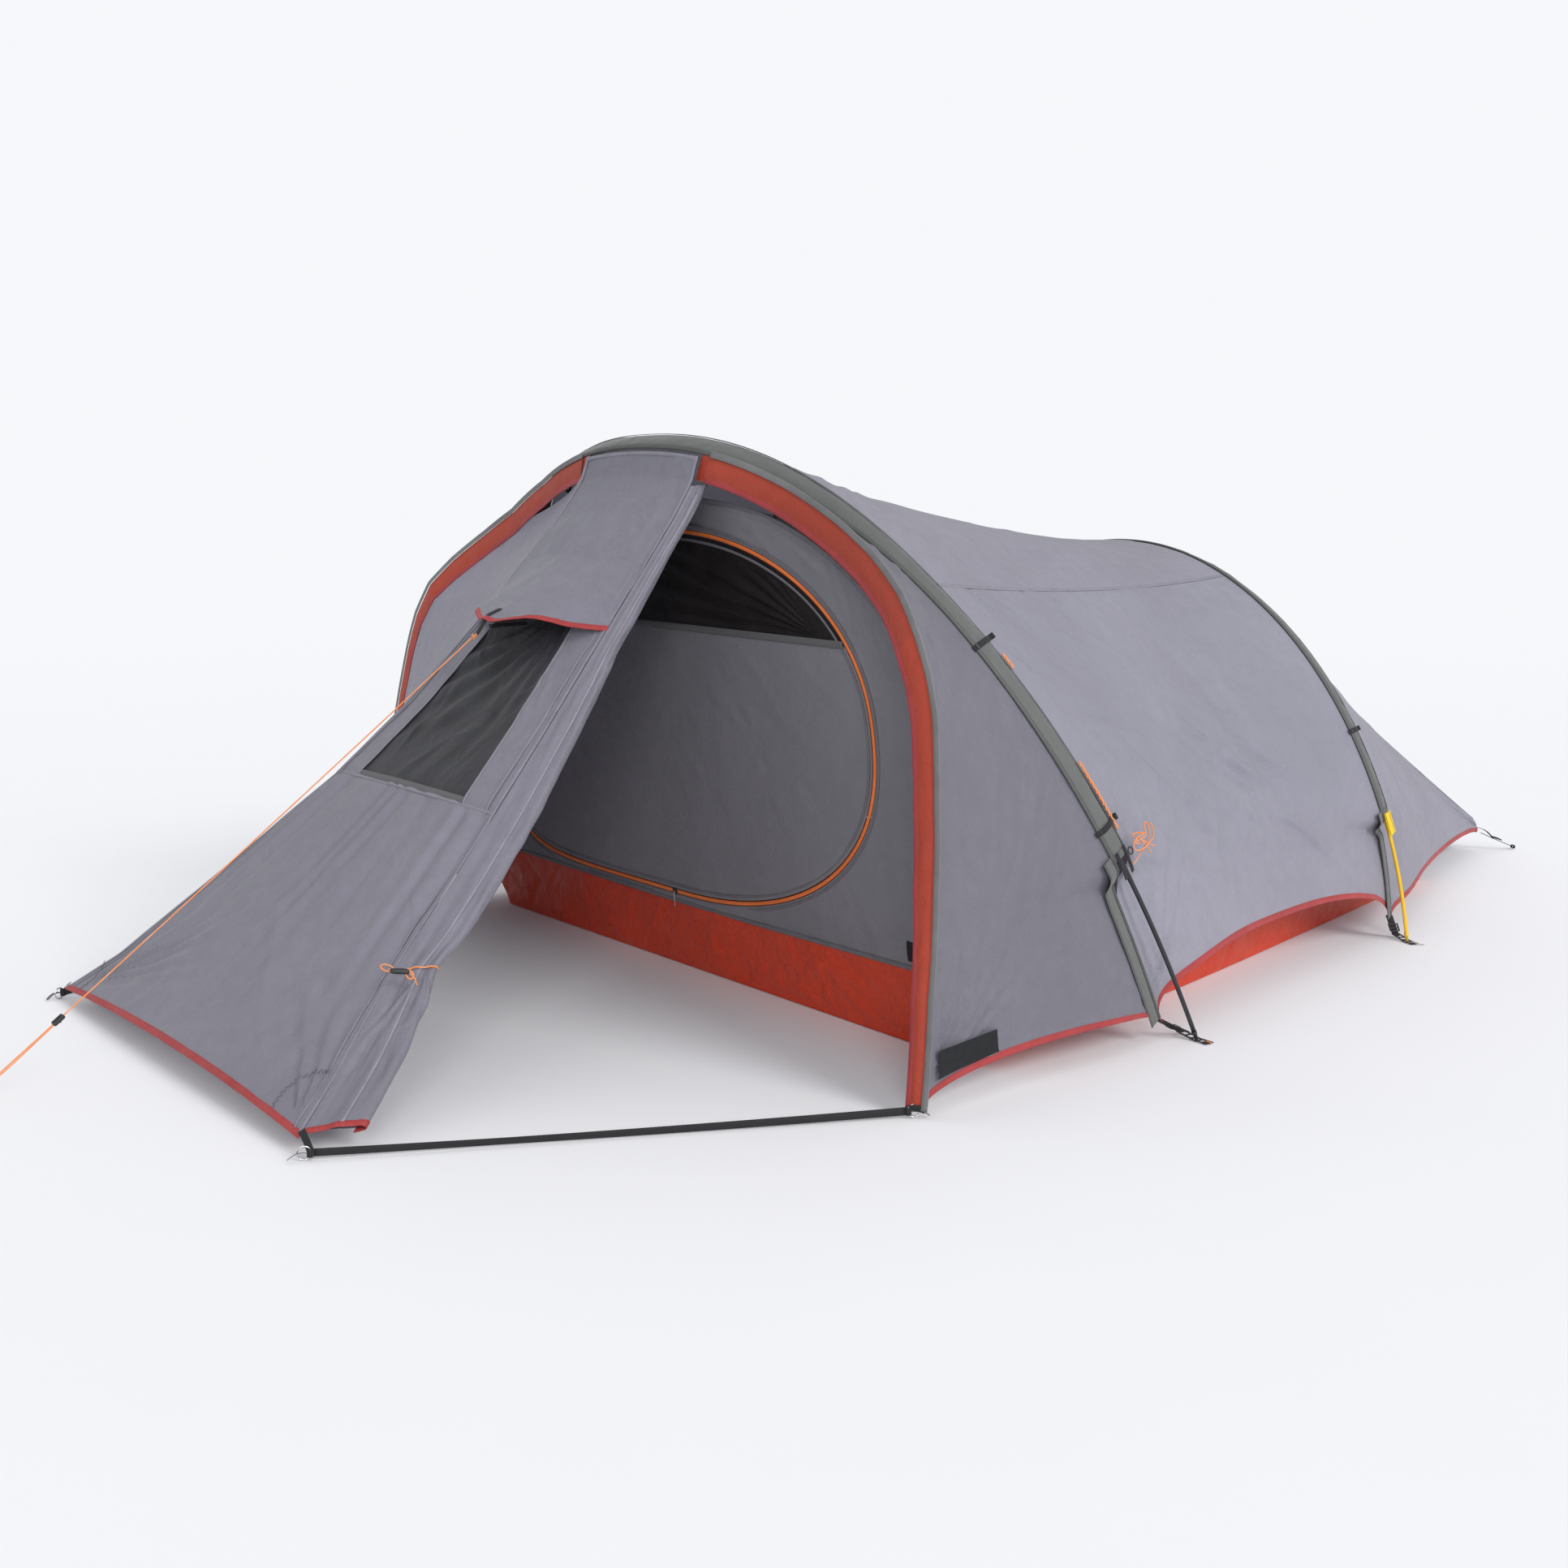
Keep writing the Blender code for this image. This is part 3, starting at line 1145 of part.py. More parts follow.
# the line ends in a loop that goes over the peg
ld = unit(np.array([0.0, g1[1] - g0[1], 0.0]))
lr = 0.013
lc = g1 + ld * (lr + 0.002) + np.array([0.0, 0.0, -0.0035])
for a in np.linspace(-2.55, 2.62, 15):
    gl.append(lc + ld * lr * math.cos(a) + np.array([lr * math.sin(a), 0.0, 0.0]) + np.array([0.0, 0.0, 0.0004 * (a + 2.6)]))
tube("guyline", gl, 0.00125, ZIP, sides=6)
gd = unit(g1 - g0)
ts_ = 0.842
tc = g0 + (g1 - g0) * ts_ - np.array([0, 0, 0.004 * 4 * ts_ * (1 - ts_)])
loc = unit((g1 - g0) - np.array([0, 0, 0.004 * 4 * (1 - 2 * ts_)]))
sx_ = np.array([1.0, 0.0, 0.0])
up_ = np.cross(sx_, loc)
outer, inner = [], []
ringsT = []
for s_, w_ in ((-0.012, 0.0062), (0.012, 0.0062)):
    ringsT.append([tc + loc * s_ + sx_ * w_ * cx + up_ * 0.0042 * cz for cx, cz in ((1, 0.6), (0.6, 1), (-0.6, 1), (-1, 0.6), (-1, -0.6), (-0.6, -1), (0.6, -1), (1, -0.6))])
for s_, w_ in ((0.012, 0.0025), (-0.012, 0.0025)):
    ringsT.append([tc + loc * s_ + sx_ * w_ * cx + up_ * 0.0025 * cz for cx, cz in ((1, 0.6), (0.6, 1), (-0.6, 1), (-1, 0.6), (-1, -0.6), (-0.6, -1), (0.6, -1), (1, -0.6))])
loft("guy_tensioner", ringsT, BLACK, 0.4, close=True)

# ---------------------------------------------------------------- tie toggle that holds the rolled door
zt = 0.235
k = float(k_for_z(zt))
tp = nose(1.0, k) + np.array([0.045, -0.012, 0.012])
tube("tie_toggle", [tp + np.array([-0.006, -0.010, 0.001]), tp + np.array([-0.003, -0.005, 0.0005]), tp + np.array([0.004, 0.006, 0.0]), tp + np.array([0.008, 0.012, -0.001])], [0.0034, 0.0042, 0.0042, 0.0034], BLACK, sides=10)

# ---------------------------------------------------------------- spare guyline tied in a bow at the front hoop
wk, nk = frame1(np.array([0.300]))
kp = hoop1(np.array([0.300]))[0] + wk[0] * 0.0420 + nk[0] * 0.012
pts = []
for a in np.linspace(0.0, 1.0, 46):
    if a < 0.30:
        b = a / 0.30
        q = np.array([0.012 + 0.010 * b, 0.030 * math.sin(b * math.pi * 0.5), -0.055 * (1 - b)])
    else:
        b = (a - 0.30) / 0.70
        ang = b * 2.35 * math.pi
        rad = 0.020 + 0.010 * math.sin(2 * ang)
        q = np.array([0.022 + 0.012 * b, 0.030 + rad * (math.cos(ang) - 1.0) * 0.9, rad * math.sin(ang)])
    pts.append(kp + q)
tube("spare_guyline", pts, 0.00125, ZIP, sides=6)

# ---------------------------------------------------------------- moving pieces have their origin on their joint's axis
def set_origin(name, point):
    ob = bpy.data.objects[name]
    p = Vector((float(point[0]), float(point[1]) + Y_SHIFT, float(point[2])))
    ob.data.transform(Matrix.Translation(-p))
    ob.location = p


for node in ("inner_door_panel", "inner_door_mesh"):
    set_origin(node, (-0.762, TUB_FRONT_Y + WALL_LEAN * 0.55, 0.55))
set_origin("door_far", (-0.210, -0.600, 1.115))
set_origin("vent_hood", (0.0, -0.748, 0.906))
set_origin("vent_strut", (0.0, -0.748, 0.906))
set_origin("guy_tensioner", tc)
set_origin("inner_zip_slider", wall_point(px, zmid))
set_origin("ring_nose_near", eb)
set_origin("ring_nose_far", mir(eb))
set_origin("ring_door_near", ec)
set_origin("ring_door_far", mir(ec))

for ob in bpy.data.objects:
    if ob.type == "MESH" and any(w in ob.name for w in ("pole", "ring", "guyline", "strut", "toggle", "front_sleeve", "rear_sleeve")):
        ob.data.shade_smooth()
        ob.data.set_sharp_from_angle(angle=math.radians(50))

bpy.context.view_layer.update()
tri = 0
for ob in bpy.data.objects:
    if ob.type == "MESH":
        tri += sum(len(p.vertices) - 2 for p in ob.data.polygons)
print("nodes", len([o for o in bpy.data.objects if o.type == "MESH"]), "triangles", tri)
xs = [ob.matrix_world @ v.co for ob in bpy.data.objects for v in ob.data.vertices]
print("bbox", [round(min(c[i] for c in xs), 4) for i in range(3)], [round(max(c[i] for c in xs), 4) for i in range(3)])
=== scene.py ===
import json
import math

import bpy
import numpy as np
from mathutils import Matrix, Vector

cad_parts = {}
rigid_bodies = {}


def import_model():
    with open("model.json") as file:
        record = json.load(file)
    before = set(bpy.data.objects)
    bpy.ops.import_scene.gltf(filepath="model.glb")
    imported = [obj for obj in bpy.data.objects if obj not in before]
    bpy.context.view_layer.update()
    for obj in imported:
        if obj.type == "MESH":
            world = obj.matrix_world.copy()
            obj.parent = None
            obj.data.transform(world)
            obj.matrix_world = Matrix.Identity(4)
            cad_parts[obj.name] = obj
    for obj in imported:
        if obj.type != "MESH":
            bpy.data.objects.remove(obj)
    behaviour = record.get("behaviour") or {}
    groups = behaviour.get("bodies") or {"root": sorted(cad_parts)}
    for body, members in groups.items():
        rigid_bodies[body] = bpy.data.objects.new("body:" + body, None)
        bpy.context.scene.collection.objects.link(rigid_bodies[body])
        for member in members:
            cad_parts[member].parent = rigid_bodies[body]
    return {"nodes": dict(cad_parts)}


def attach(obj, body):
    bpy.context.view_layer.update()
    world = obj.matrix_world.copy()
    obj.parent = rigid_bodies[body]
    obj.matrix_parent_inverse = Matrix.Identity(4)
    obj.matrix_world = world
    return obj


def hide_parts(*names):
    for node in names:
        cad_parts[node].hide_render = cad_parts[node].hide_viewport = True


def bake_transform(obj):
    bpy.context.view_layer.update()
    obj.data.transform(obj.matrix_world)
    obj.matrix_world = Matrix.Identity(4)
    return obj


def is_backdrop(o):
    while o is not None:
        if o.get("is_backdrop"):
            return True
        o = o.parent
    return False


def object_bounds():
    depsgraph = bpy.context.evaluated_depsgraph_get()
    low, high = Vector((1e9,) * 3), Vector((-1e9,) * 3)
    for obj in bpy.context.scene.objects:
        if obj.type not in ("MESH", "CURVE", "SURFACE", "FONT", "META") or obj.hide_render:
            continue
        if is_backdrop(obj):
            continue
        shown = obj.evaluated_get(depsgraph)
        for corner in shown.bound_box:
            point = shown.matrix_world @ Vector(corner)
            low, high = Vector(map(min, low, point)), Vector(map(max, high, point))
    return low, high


# ------------------------------------------------------------------ clean start and frame
for ob in list(bpy.data.objects):
    bpy.data.objects.remove(ob, do_unlink=True)
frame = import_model()
CAD_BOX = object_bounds()
NODES = frame["nodes"]

# ------------------------------------------------------------------ shape of the tent (metres), as in the CAD source
Y_SHIFT = -0.348            # puts the middle of the ground plan on y = 0
FABRIC = 0.0012             # drawn thickness of every sewn panel
SEAM = 0.0010               # clearance left along every sewn edge
POLE_R = 0.0045
SLEEVE_HALF_W = 0.0222
SLEEVE_HALF_H = 0.0082
SLEEVE_WALL = 0.0012
H1_A, H1_H, H1_N, H1_Y, H1_LEAN = 0.985, 1.140, 2.31, 0.025, -0.535      # front hoop centreline
H2_A, H2_H, H2_N, H2_Y, H2_LEAN = 0.735, 0.912, 2.09, 1.066, -0.215      # rear hoop centreline
T1_END, T2_END = 0.283, 0.327       # hoop parameters where the sleeves stop
SEAM_T1, SEAM_T2 = 0.823, 1.166     # roof to side seam on each hoop
TUNNEL_SAG = 0.056
REAR_SEAM_T = 1.33
REAR_CORNER = (0.156, 2.247, 0.071)
REAR_PEG = (0.214, 2.352, 0.004)
DOOR_CORNER = (0.990, -0.700, 0.022)     # foot of the door opening beside the front hoop
NOSE_CORNER = (0.575, -1.650, 0.020)
HOOD_TIP_Y = -0.975
GUY_TOP = (0.0, -0.992, 0.764)
GUY_END = (0.0, -1.985, 0.006)
TUB_FRONT_Y, TUB_REAR_Y = -0.435, 1.720
TUB_FRONT_W, TUB_REAR_W = 0.930, 0.320
TUB_H = 0.150
WALL_LEAN = -0.12
HEM_W = 0.014
RING_R, RING_WIRE = 0.011, 0.0014


# ---------------------------------------------------------------- small vector helpers
def unit(v):
    v = np.asarray(v, float)
    n = np.linalg.norm(v, axis=-1, keepdims=True)
    return v / np.where(n < 1e-12, 1.0, n)


def lerp(a, b, k):
    return a + (b - a) * k


def smooth(k):
    k = np.clip(k, 0.0, 1.0)
    return k * k * (3.0 - 2.0 * k)


def super_arch(t, a, h, n):
    c, s = np.cos(t), np.sin(t)
    return a * np.sign(c) * np.abs(c) ** (2.0 / n), h * np.abs(s) ** (2.0 / n)


def hoop1(t):
    x, z = super_arch(np.asarray(t, float), H1_A, H1_H, H1_N)
    return np.stack([x, H1_Y + H1_LEAN * z, z], -1)


def hoop2(t):
    x, z = super_arch(np.asarray(t, float), H2_A, H2_H, H2_N)
    return np.stack([x, H2_Y + H2_LEAN * z, z], -1)


def hoop_t_for_z(z, h, n):
    return np.arcsin(np.clip((np.asarray(z, float) / h), 0.0, 1.0) ** (n / 2.0))


def frame1(t):
    t = np.asarray(t, float)
    e = 1e-4
    tt = np.clip(t, 0.02, math.pi - 0.02)
    tan = unit(hoop1(tt + e) - hoop1(tt - e))
    r = unit(hoop2(tt) - hoop1(tt))
    z = hoop1(tt)[..., 2]
    k = smooth((z - 0.80) / 0.34)[..., None]
    f = np.zeros_like(r)
    f[..., 1] = -1.0
    f = unit(f * (1.0 - k) + np.array([0.0, -0.25, -1.0]) * k)
    w = unit(r - f)
    w = unit(w - tan * np.sum(w * tan, -1, keepdims=True))
    n = np.cross(tan, w)
    mid = np.array([0.0, H1_Y + H1_LEAN * 0.4, 0.4])
    s = np.sign(np.sum(n * (hoop1(tt) - mid), -1, keepdims=True))
    return w, n * np.where(s == 0, 1.0, s)


def frame2(t):
    t = np.asarray(t, float)
    e = 1e-4
    tt = np.clip(t, 0.02, math.pi - 0.02)
    tan = unit(hoop2(tt + e) - hoop2(tt - e))
    r = unit(hoop2(tt) - hoop1(tt))
    end = np.array(REAR_CORNER) * np.array([1.0, 1.0, 1.0])
    far = np.stack([np.sign(hoop2(tt)[..., 0]) * end[0], np.full_like(tt, end[1]), np.full_like(tt, end[2])], -1)
    g = unit(far - hoop2(tt))
    w = unit(r + g)
    w = unit(w - tan * np.sum(w * tan, -1, keepdims=True))
    n = np.cross(tan, w)
    mid = np.array([0.0, H2_Y + H2_LEAN * 0.3, 0.3])
    s = np.sign(np.sum(n * (hoop2(tt) - mid), -1, keepdims=True))
    return w, n * np.where(s == 0, 1.0, s)


EDGE = SLEEVE_HALF_W + 0.0018


def tuck(t, t_end, deep=0.028):
    """how far the cloth under the bare pole end sits inside the pole"""
    t = np.minimum(np.asarray(t, float), math.pi - np.asarray(t, float))
    return 0.010 + deep * np.clip((t_end - t) / t_end, 0, 1)


def under(t, t_end):
    t = np.minimum(np.asarray(t, float), math.pi - np.asarray(t, float))
    return 1.0 - smooth((t - (t_end - 0.064)) / 0.056)


def edge1_rear(t):
    w, n = frame1(t)
    u = under(t, T1_END)[..., None]
    d = tuck(t, T1_END)[..., None]
    side = EDGE * (1.0 - u) - EDGE * u
    return hoop1(t) + w * side - n * (0.014 + d) * np.minimum(1.0, 2.2 * u)


def edge1_front(t):
    w, n = frame1(t)
    u = under(t, T1_END)[..., None]
    d = tuck(t, T1_END)[..., None]
    return hoop1(t) - w * (EDGE + 0.0062 * u) - n * (0.014 + d) * np.minimum(1.0, 2.2 * u)


def edge2_front(t):
    w, n = frame2(t)
    u = under(t, T2_END)[..., None]
    d = tuck(t, T2_END, 0.022)[..., None]
    return hoop2(t) - w * EDGE * (1.0 - u) + w * EDGE * u - n * (0.014 + d) * np.minimum(1.0, 2.2 * u)


def edge2_rear(t):
    w, n = frame2(t)
    u = under(t, T2_END)[..., None]
    d = tuck(t, T2_END, 0.022)[..., None]
    return hoop2(t) + w * (EDGE + 0.0062 * u) - n * (0.014 + d) * np.minimum(1.0, 2.2 * u)


def tunnel(t, v, extra=0.0):
    """cloth between the two hoops; t round the hoop, v from front to rear"""
    t, v = np.broadcast_arrays(np.asarray(t, float), np.asarray(v, float))
    a, b = edge1_rear(t), edge2_front(t)
    p = a + (b - a) * v[..., None]
    out = p - np.stack([0 * t, p[..., 1], np.full_like(t, 0.30)], -1)
    out = unit(out)
    low = np.clip(p[..., 2] / 0.25, 0.35, 1.0)
    sag = TUNNEL_SAG * 4.0 * v * (1.0 - v) * low
    return p - out * (sag - extra)[..., None]


def hem_tunnel_z(v):
    v = np.asarray(v, float)
    return 0.045 + 0.112 * np.sqrt(np.clip(1.0 - np.abs(2.0 * v - 1.0) ** 3.2, 0.0, 1.0))


def tunnel_t_at_z(z, v):
    lo, hi = np.full_like(v, 0.004), np.full_like(v, 1.2)
    for _ in range(34):
        m = 0.5 * (lo + hi)
        zz = tunnel(m, v)[..., 2]
        lo = np.where(zz < z, m, lo)
        hi = np.where(zz < z, hi, m)
    return 0.5 * (lo + hi)


# ---------------------------------------------------------------- door arch (rain gutter) curves
GZ = [0.00, 0.03, 0.20, 0.38, 0.524, 0.602, 0.672, 0.736, 0.808, 0.868, 0.932, 0.985, 1.05, 1.095, 1.20]
GX = [0.039, 0.039, 0.037, 0.050, 0.070, 0.086, 0.104, 0.116, 0.118, 0.100, 0.063, 0.030, 0.008, 0.000, 0.000]
GY = [-0.724, -0.704, -0.595, -0.479, -0.386, -0.335, -0.289, -0.248, -0.198, -0.140, -0.078, -0.036, -0.008, -0.0022, -0.0022]
BW = [0.028, 0.030, 0.033, 0.042, 0.044, 0.045, 0.046, 0.048, 0.050, 0.052, 0.053, 0.053, 0.052, 0.050, 0.050]


def gutter_outer(t):
    t = np.asarray(t, float)
    x, z = super_arch(t, H1_A, H1_H, H1_N)
    w, n = frame1(t)
    u = smooth((0.50 - z) / 0.2)[..., None]
    base = (hoop1(t) - w * EDGE) * (1 - u) + (hoop1(t) + np.array([0.0, -EDGE, 0.0])) * u
    zz = base[..., 2]
    off = np.stack([np.interp(zz, GZ, GX), np.interp(zz, GZ, GY), np.zeros_like(zz)], -1)
    return base + off


def gutter_inner(t):
    t = np.asarray(t, float)
    e = 0.004
    p = gutter_outer(t)
    tan = gutter_outer(np.clip(t + e, 0.0, 3.0)) - gutter_outer(np.clip(t - e, 0.0, 3.0))
    n = unit(np.stack([-tan[..., 2], 0 * t, tan[..., 0]], -1))
    b = np.interp(p[..., 2], GZ, BW)
    return p + n * b[..., None] + np.array([0.0, -0.010, 0.0])


GUT_T0, GUT_T1 = 0.0065, 1.378       # from the foot to the nose seam


# ---------------------------------------------------------------- nose curves
NZ = [0.020, 0.10, 0.236, 0.46, 0.60, 0.77, 0.91, 1.00, 1.07, 1.125]
NW = [0.575, 0.510, 0.430, 0.326, 0.280, 0.243, 0.224, 0.213, 0.207, 0.205]
NY = [-1.650, -1.545, -1.400, -1.150, -1.012, -0.862, -0.745, -0.672, -0.624, -0.606]


def nose_w(z):
    return np.interp(z, NZ, NW)


def nose_y(z):
    return np.interp(z, NZ, NY)


def nose(a, k, lift=0.0):
    """a from -1 (far seam) to 1 (near seam); k from 0 at the sleeve to 1 at the hem"""
    a, k = np.broadcast_arrays(np.asarray(a, float), np.asarray(k, float))
    zc = lerp(1.125, 0.020, k)
    w = nose_w(zc)
    y = nose_y(zc)
    drop = 0.012 * (1.0 - k) ** 3 * a * a
    swell = 0.020 * np.sin(math.pi * k) * (1.0 - a * a)
    z = zc - drop + 0.022 * (1 - a * a) * smooth((k - 0.86) / 0.14)
    p = np.stack([a * w, y + 0.016 * k * (1 - k) - swell * 0.7, z + swell * 0.4], -1)
    if lift:
        p = p + np.array([0.0, -0.70, 0.70]) * lift
    return p


def k_for_z(z):
    return (1.125 - np.asarray(z, float)) / 1.105


def hood(a, q):
    """the flared flap over the vent; q from 0 at its fold to 1 at the trimmed edge"""
    a, q = np.broadcast_arrays(np.asarray(a, float), np.asarray(q, float))
    base = nose(a, k_for_z(lerp(0.905, 0.790, q)))
    flare = (1.0 - np.abs(a) ** 1.25) * q ** 1.35
    return base + np.stack([0 * a, -(0.118) * flare, -0.006 * flare + 0.012 * q * np.exp(-((np.abs(a) - 0.45) / 0.22) ** 2)], -1)


# ---------------------------------------------------------------- inner front wall
def wall_point(x, z, off=0.0):
    x, z = np.broadcast_arrays(np.asarray(x, float), np.asarray(z, float))
    return np.stack([x, TUB_FRONT_Y + WALL_LEAN * z - off, z], -1)


D_CX, D_CZ, D_A, D_UP, D_DN = -0.080, 0.585, 0.710, 0.390, 0.417


def door_radius(phi):
    c, s = np.cos(phi), np.sin(phi)
    b = np.where(s >= 0, D_UP, D_DN)
    n = np.where(c >= 0, np.where(s >= 0, 2.3, 2.25), np.where(s >= 0, 2.6, 6.0))
    r = (np.abs(c / D_A) ** n + np.abs(s / b) ** n) ** (-1.0 / n)
    x, z = wall_arch(phi)
    lim = np.hypot(x - D_CX, z - D_CZ) - 0.042
    lim = np.where(s > -0.2, lim, 9.0)
    return (r ** -14.0 + lim ** -14.0) ** (-1.0 / 14.0)


def door_curve(phi, grow=0.0):
    """outline of the D door, phi anticlockwise from the near (+x) side"""
    phi = np.asarray(phi, float)
    e = 0.004
    p = [np.stack([D_CX + door_radius(phi + d) * np.cos(phi + d), D_CZ + door_radius(phi + d) * np.sin(phi + d)], -1) for d in (-e, 0.0, e)]
    t = unit(p[2] - p[0])
    n = np.stack([t[..., 1], -t[..., 0]], -1)
    q = p[1] + n * grow
    return q[..., 0], q[..., 1]


W_A, W_H, W_N = 0.925, 1.030, 2.65


def wall_arch(phi):
    """outline of the wall met by the ray from the door centre at angle phi"""
    out = []
    for p in np.atleast_1d(phi):
        c, s = math.cos(p), math.sin(p)
        lo, hi = 0.0, 1.6
        for _ in range(40):
            m = 0.5 * (lo + hi)
            x, z = D_CX + m * c, D_CZ + m * s
            inside = z > TUB_H + 0.0016 and (abs(x) / W_A) ** W_N + (max(z, 0) / W_H) ** W_N < 1.0
            lo, hi = (m, hi) if inside else (lo, m)
        out.append((D_CX + lo * c, D_CZ + lo * s))
    o = np.array(out)
    return o[:, 0], o[:, 1]




# ------------------------------------------------------------------ deterministic noise
_rng = np.random.RandomState(11)
_TAB = _rng.uniform(-1.0, 1.0, (64, 64))


def vnoise(x, y, seed=0):
    x = np.asarray(x, float) + seed * 7.31
    y = np.asarray(y, float) + seed * 3.77
    xi, yi = np.floor(x).astype(int), np.floor(y).astype(int)
    xf, yf = x - xi, y - yi
    xf, yf = xf * xf * (3 - 2 * xf), yf * yf * (3 - 2 * yf)
    g = lambda a, b: _TAB[(a + seed * 13) % 64, (b + seed * 29) % 64]
    return (g(xi, yi) * (1 - xf) + g(xi + 1, yi) * xf) * (1 - yf) + (g(xi, yi + 1) * (1 - xf) + g(xi + 1, yi + 1) * xf) * yf


def fbm(x, y, seed=0, octaves=3):
    out, amp = 0.0, 1.0
    for o in range(octaves):
        out = out + amp * vnoise(x * 2 ** o, y * 2 ** o, seed + o)
        amp *= 0.5
    return out


def ridge(x, y, seed=0):
    """creases: narrow ridges out of smooth noise"""
    n = vnoise(x, y, seed)
    return 1.0 - np.minimum(1.0, np.abs(n) * 3.2)


# ------------------------------------------------------------------ materials
def socket(node, name, value):
    node.inputs[name].default_value = value


class Mat:
    def __init__(self, name):
        self.m = bpy.data.materials.new(name)
        self.m.use_nodes = True
        self.nt = self.m.node_tree
        for n in list(self.nt.nodes):
            self.nt.nodes.remove(n)
        self.out = self.nt.nodes.new("ShaderNodeOutputMaterial")
        self.bsdf = self.nt.nodes.new("ShaderNodeBsdfPrincipled")
        self.link(self.bsdf.outputs[0], self.out.inputs[0])
        self.co = self.nt.nodes.new("ShaderNodeTexCoord")

    def link(self, a, b):
        self.nt.links.new(a, b)

    def node(self, kind, **kw):
        n = self.nt.nodes.new(kind)
        for k, v in kw.items():
            setattr(n, k, v)
        return n

    def mapping(self, src, scale):
        n = self.node("ShaderNodeMapping")
        n.inputs["Scale"].default_value = scale
        self.link(src, n.inputs["Vector"])
        return n.outputs[0]

    def noise(self, src, scale, detail=3.0, rough=0.5, distortion=0.0, vscale=None):
        if vscale is not None:
            src = self.mapping(src, vscale)
        n = self.node("ShaderNodeTexNoise")
        socket(n, "Scale", scale)
        socket(n, "Detail", detail)
        socket(n, "Roughness", rough)
        socket(n, "Distortion", distortion)
        self.link(src, n.inputs["Vector"])
        return n.outputs["Fac"]

    def math(self, op, a, b=None, c=None):
        n = self.node("ShaderNodeMath", operation=op)
        for i, v in enumerate((a, b, c)):
            if v is None:
                continue
            if isinstance(v, (int, float)):
                n.inputs[i].default_value = v
            else:
                self.link(v, n.inputs[i])
        return n.outputs[0]

    def maprange(self, v, a, b, c, d):
        n = self.node("ShaderNodeMapRange")
        n.clamp = True
        self.link(v, n.inputs[0])
        for i, x in zip((1, 2, 3, 4), (a, b, c, d)):
            n.inputs[i].default_value = x
        return n.outputs[0]

    def mixcol(self, fac, a, b, mode="MIX"):
        n = self.node("ShaderNodeMix", data_type="RGBA", blend_type=mode)
        if isinstance(fac, (int, float)):
            n.inputs[0].default_value = fac
        else:
            self.link(fac, n.inputs[0])
        for i, v in ((6, a), (7, b)):
            if isinstance(v, tuple):
                n.inputs[i].default_value = (v[0], v[1], v[2], 1.0)
            else:
                self.link(v, n.inputs[i])
        return n.outputs[2]

    def uv(self):
        s = self.node("ShaderNodeSeparateXYZ")
        self.link(self.co.outputs["UV"], s.inputs[0])
        return s.outputs[0], s.outputs[1]

    def bump(self, height, strength, distance, below=None):
        n = self.node("ShaderNodeBump")
        socket(n, "Strength", strength)
        socket(n, "Distance", distance)
        self.link(height, n.inputs["Height"])
        if below is not None:
            self.link(below, n.inputs["Normal"])
        return n.outputs[0]


def shade(c, k):
    return tuple(min(1.0, x * k) for x in c)


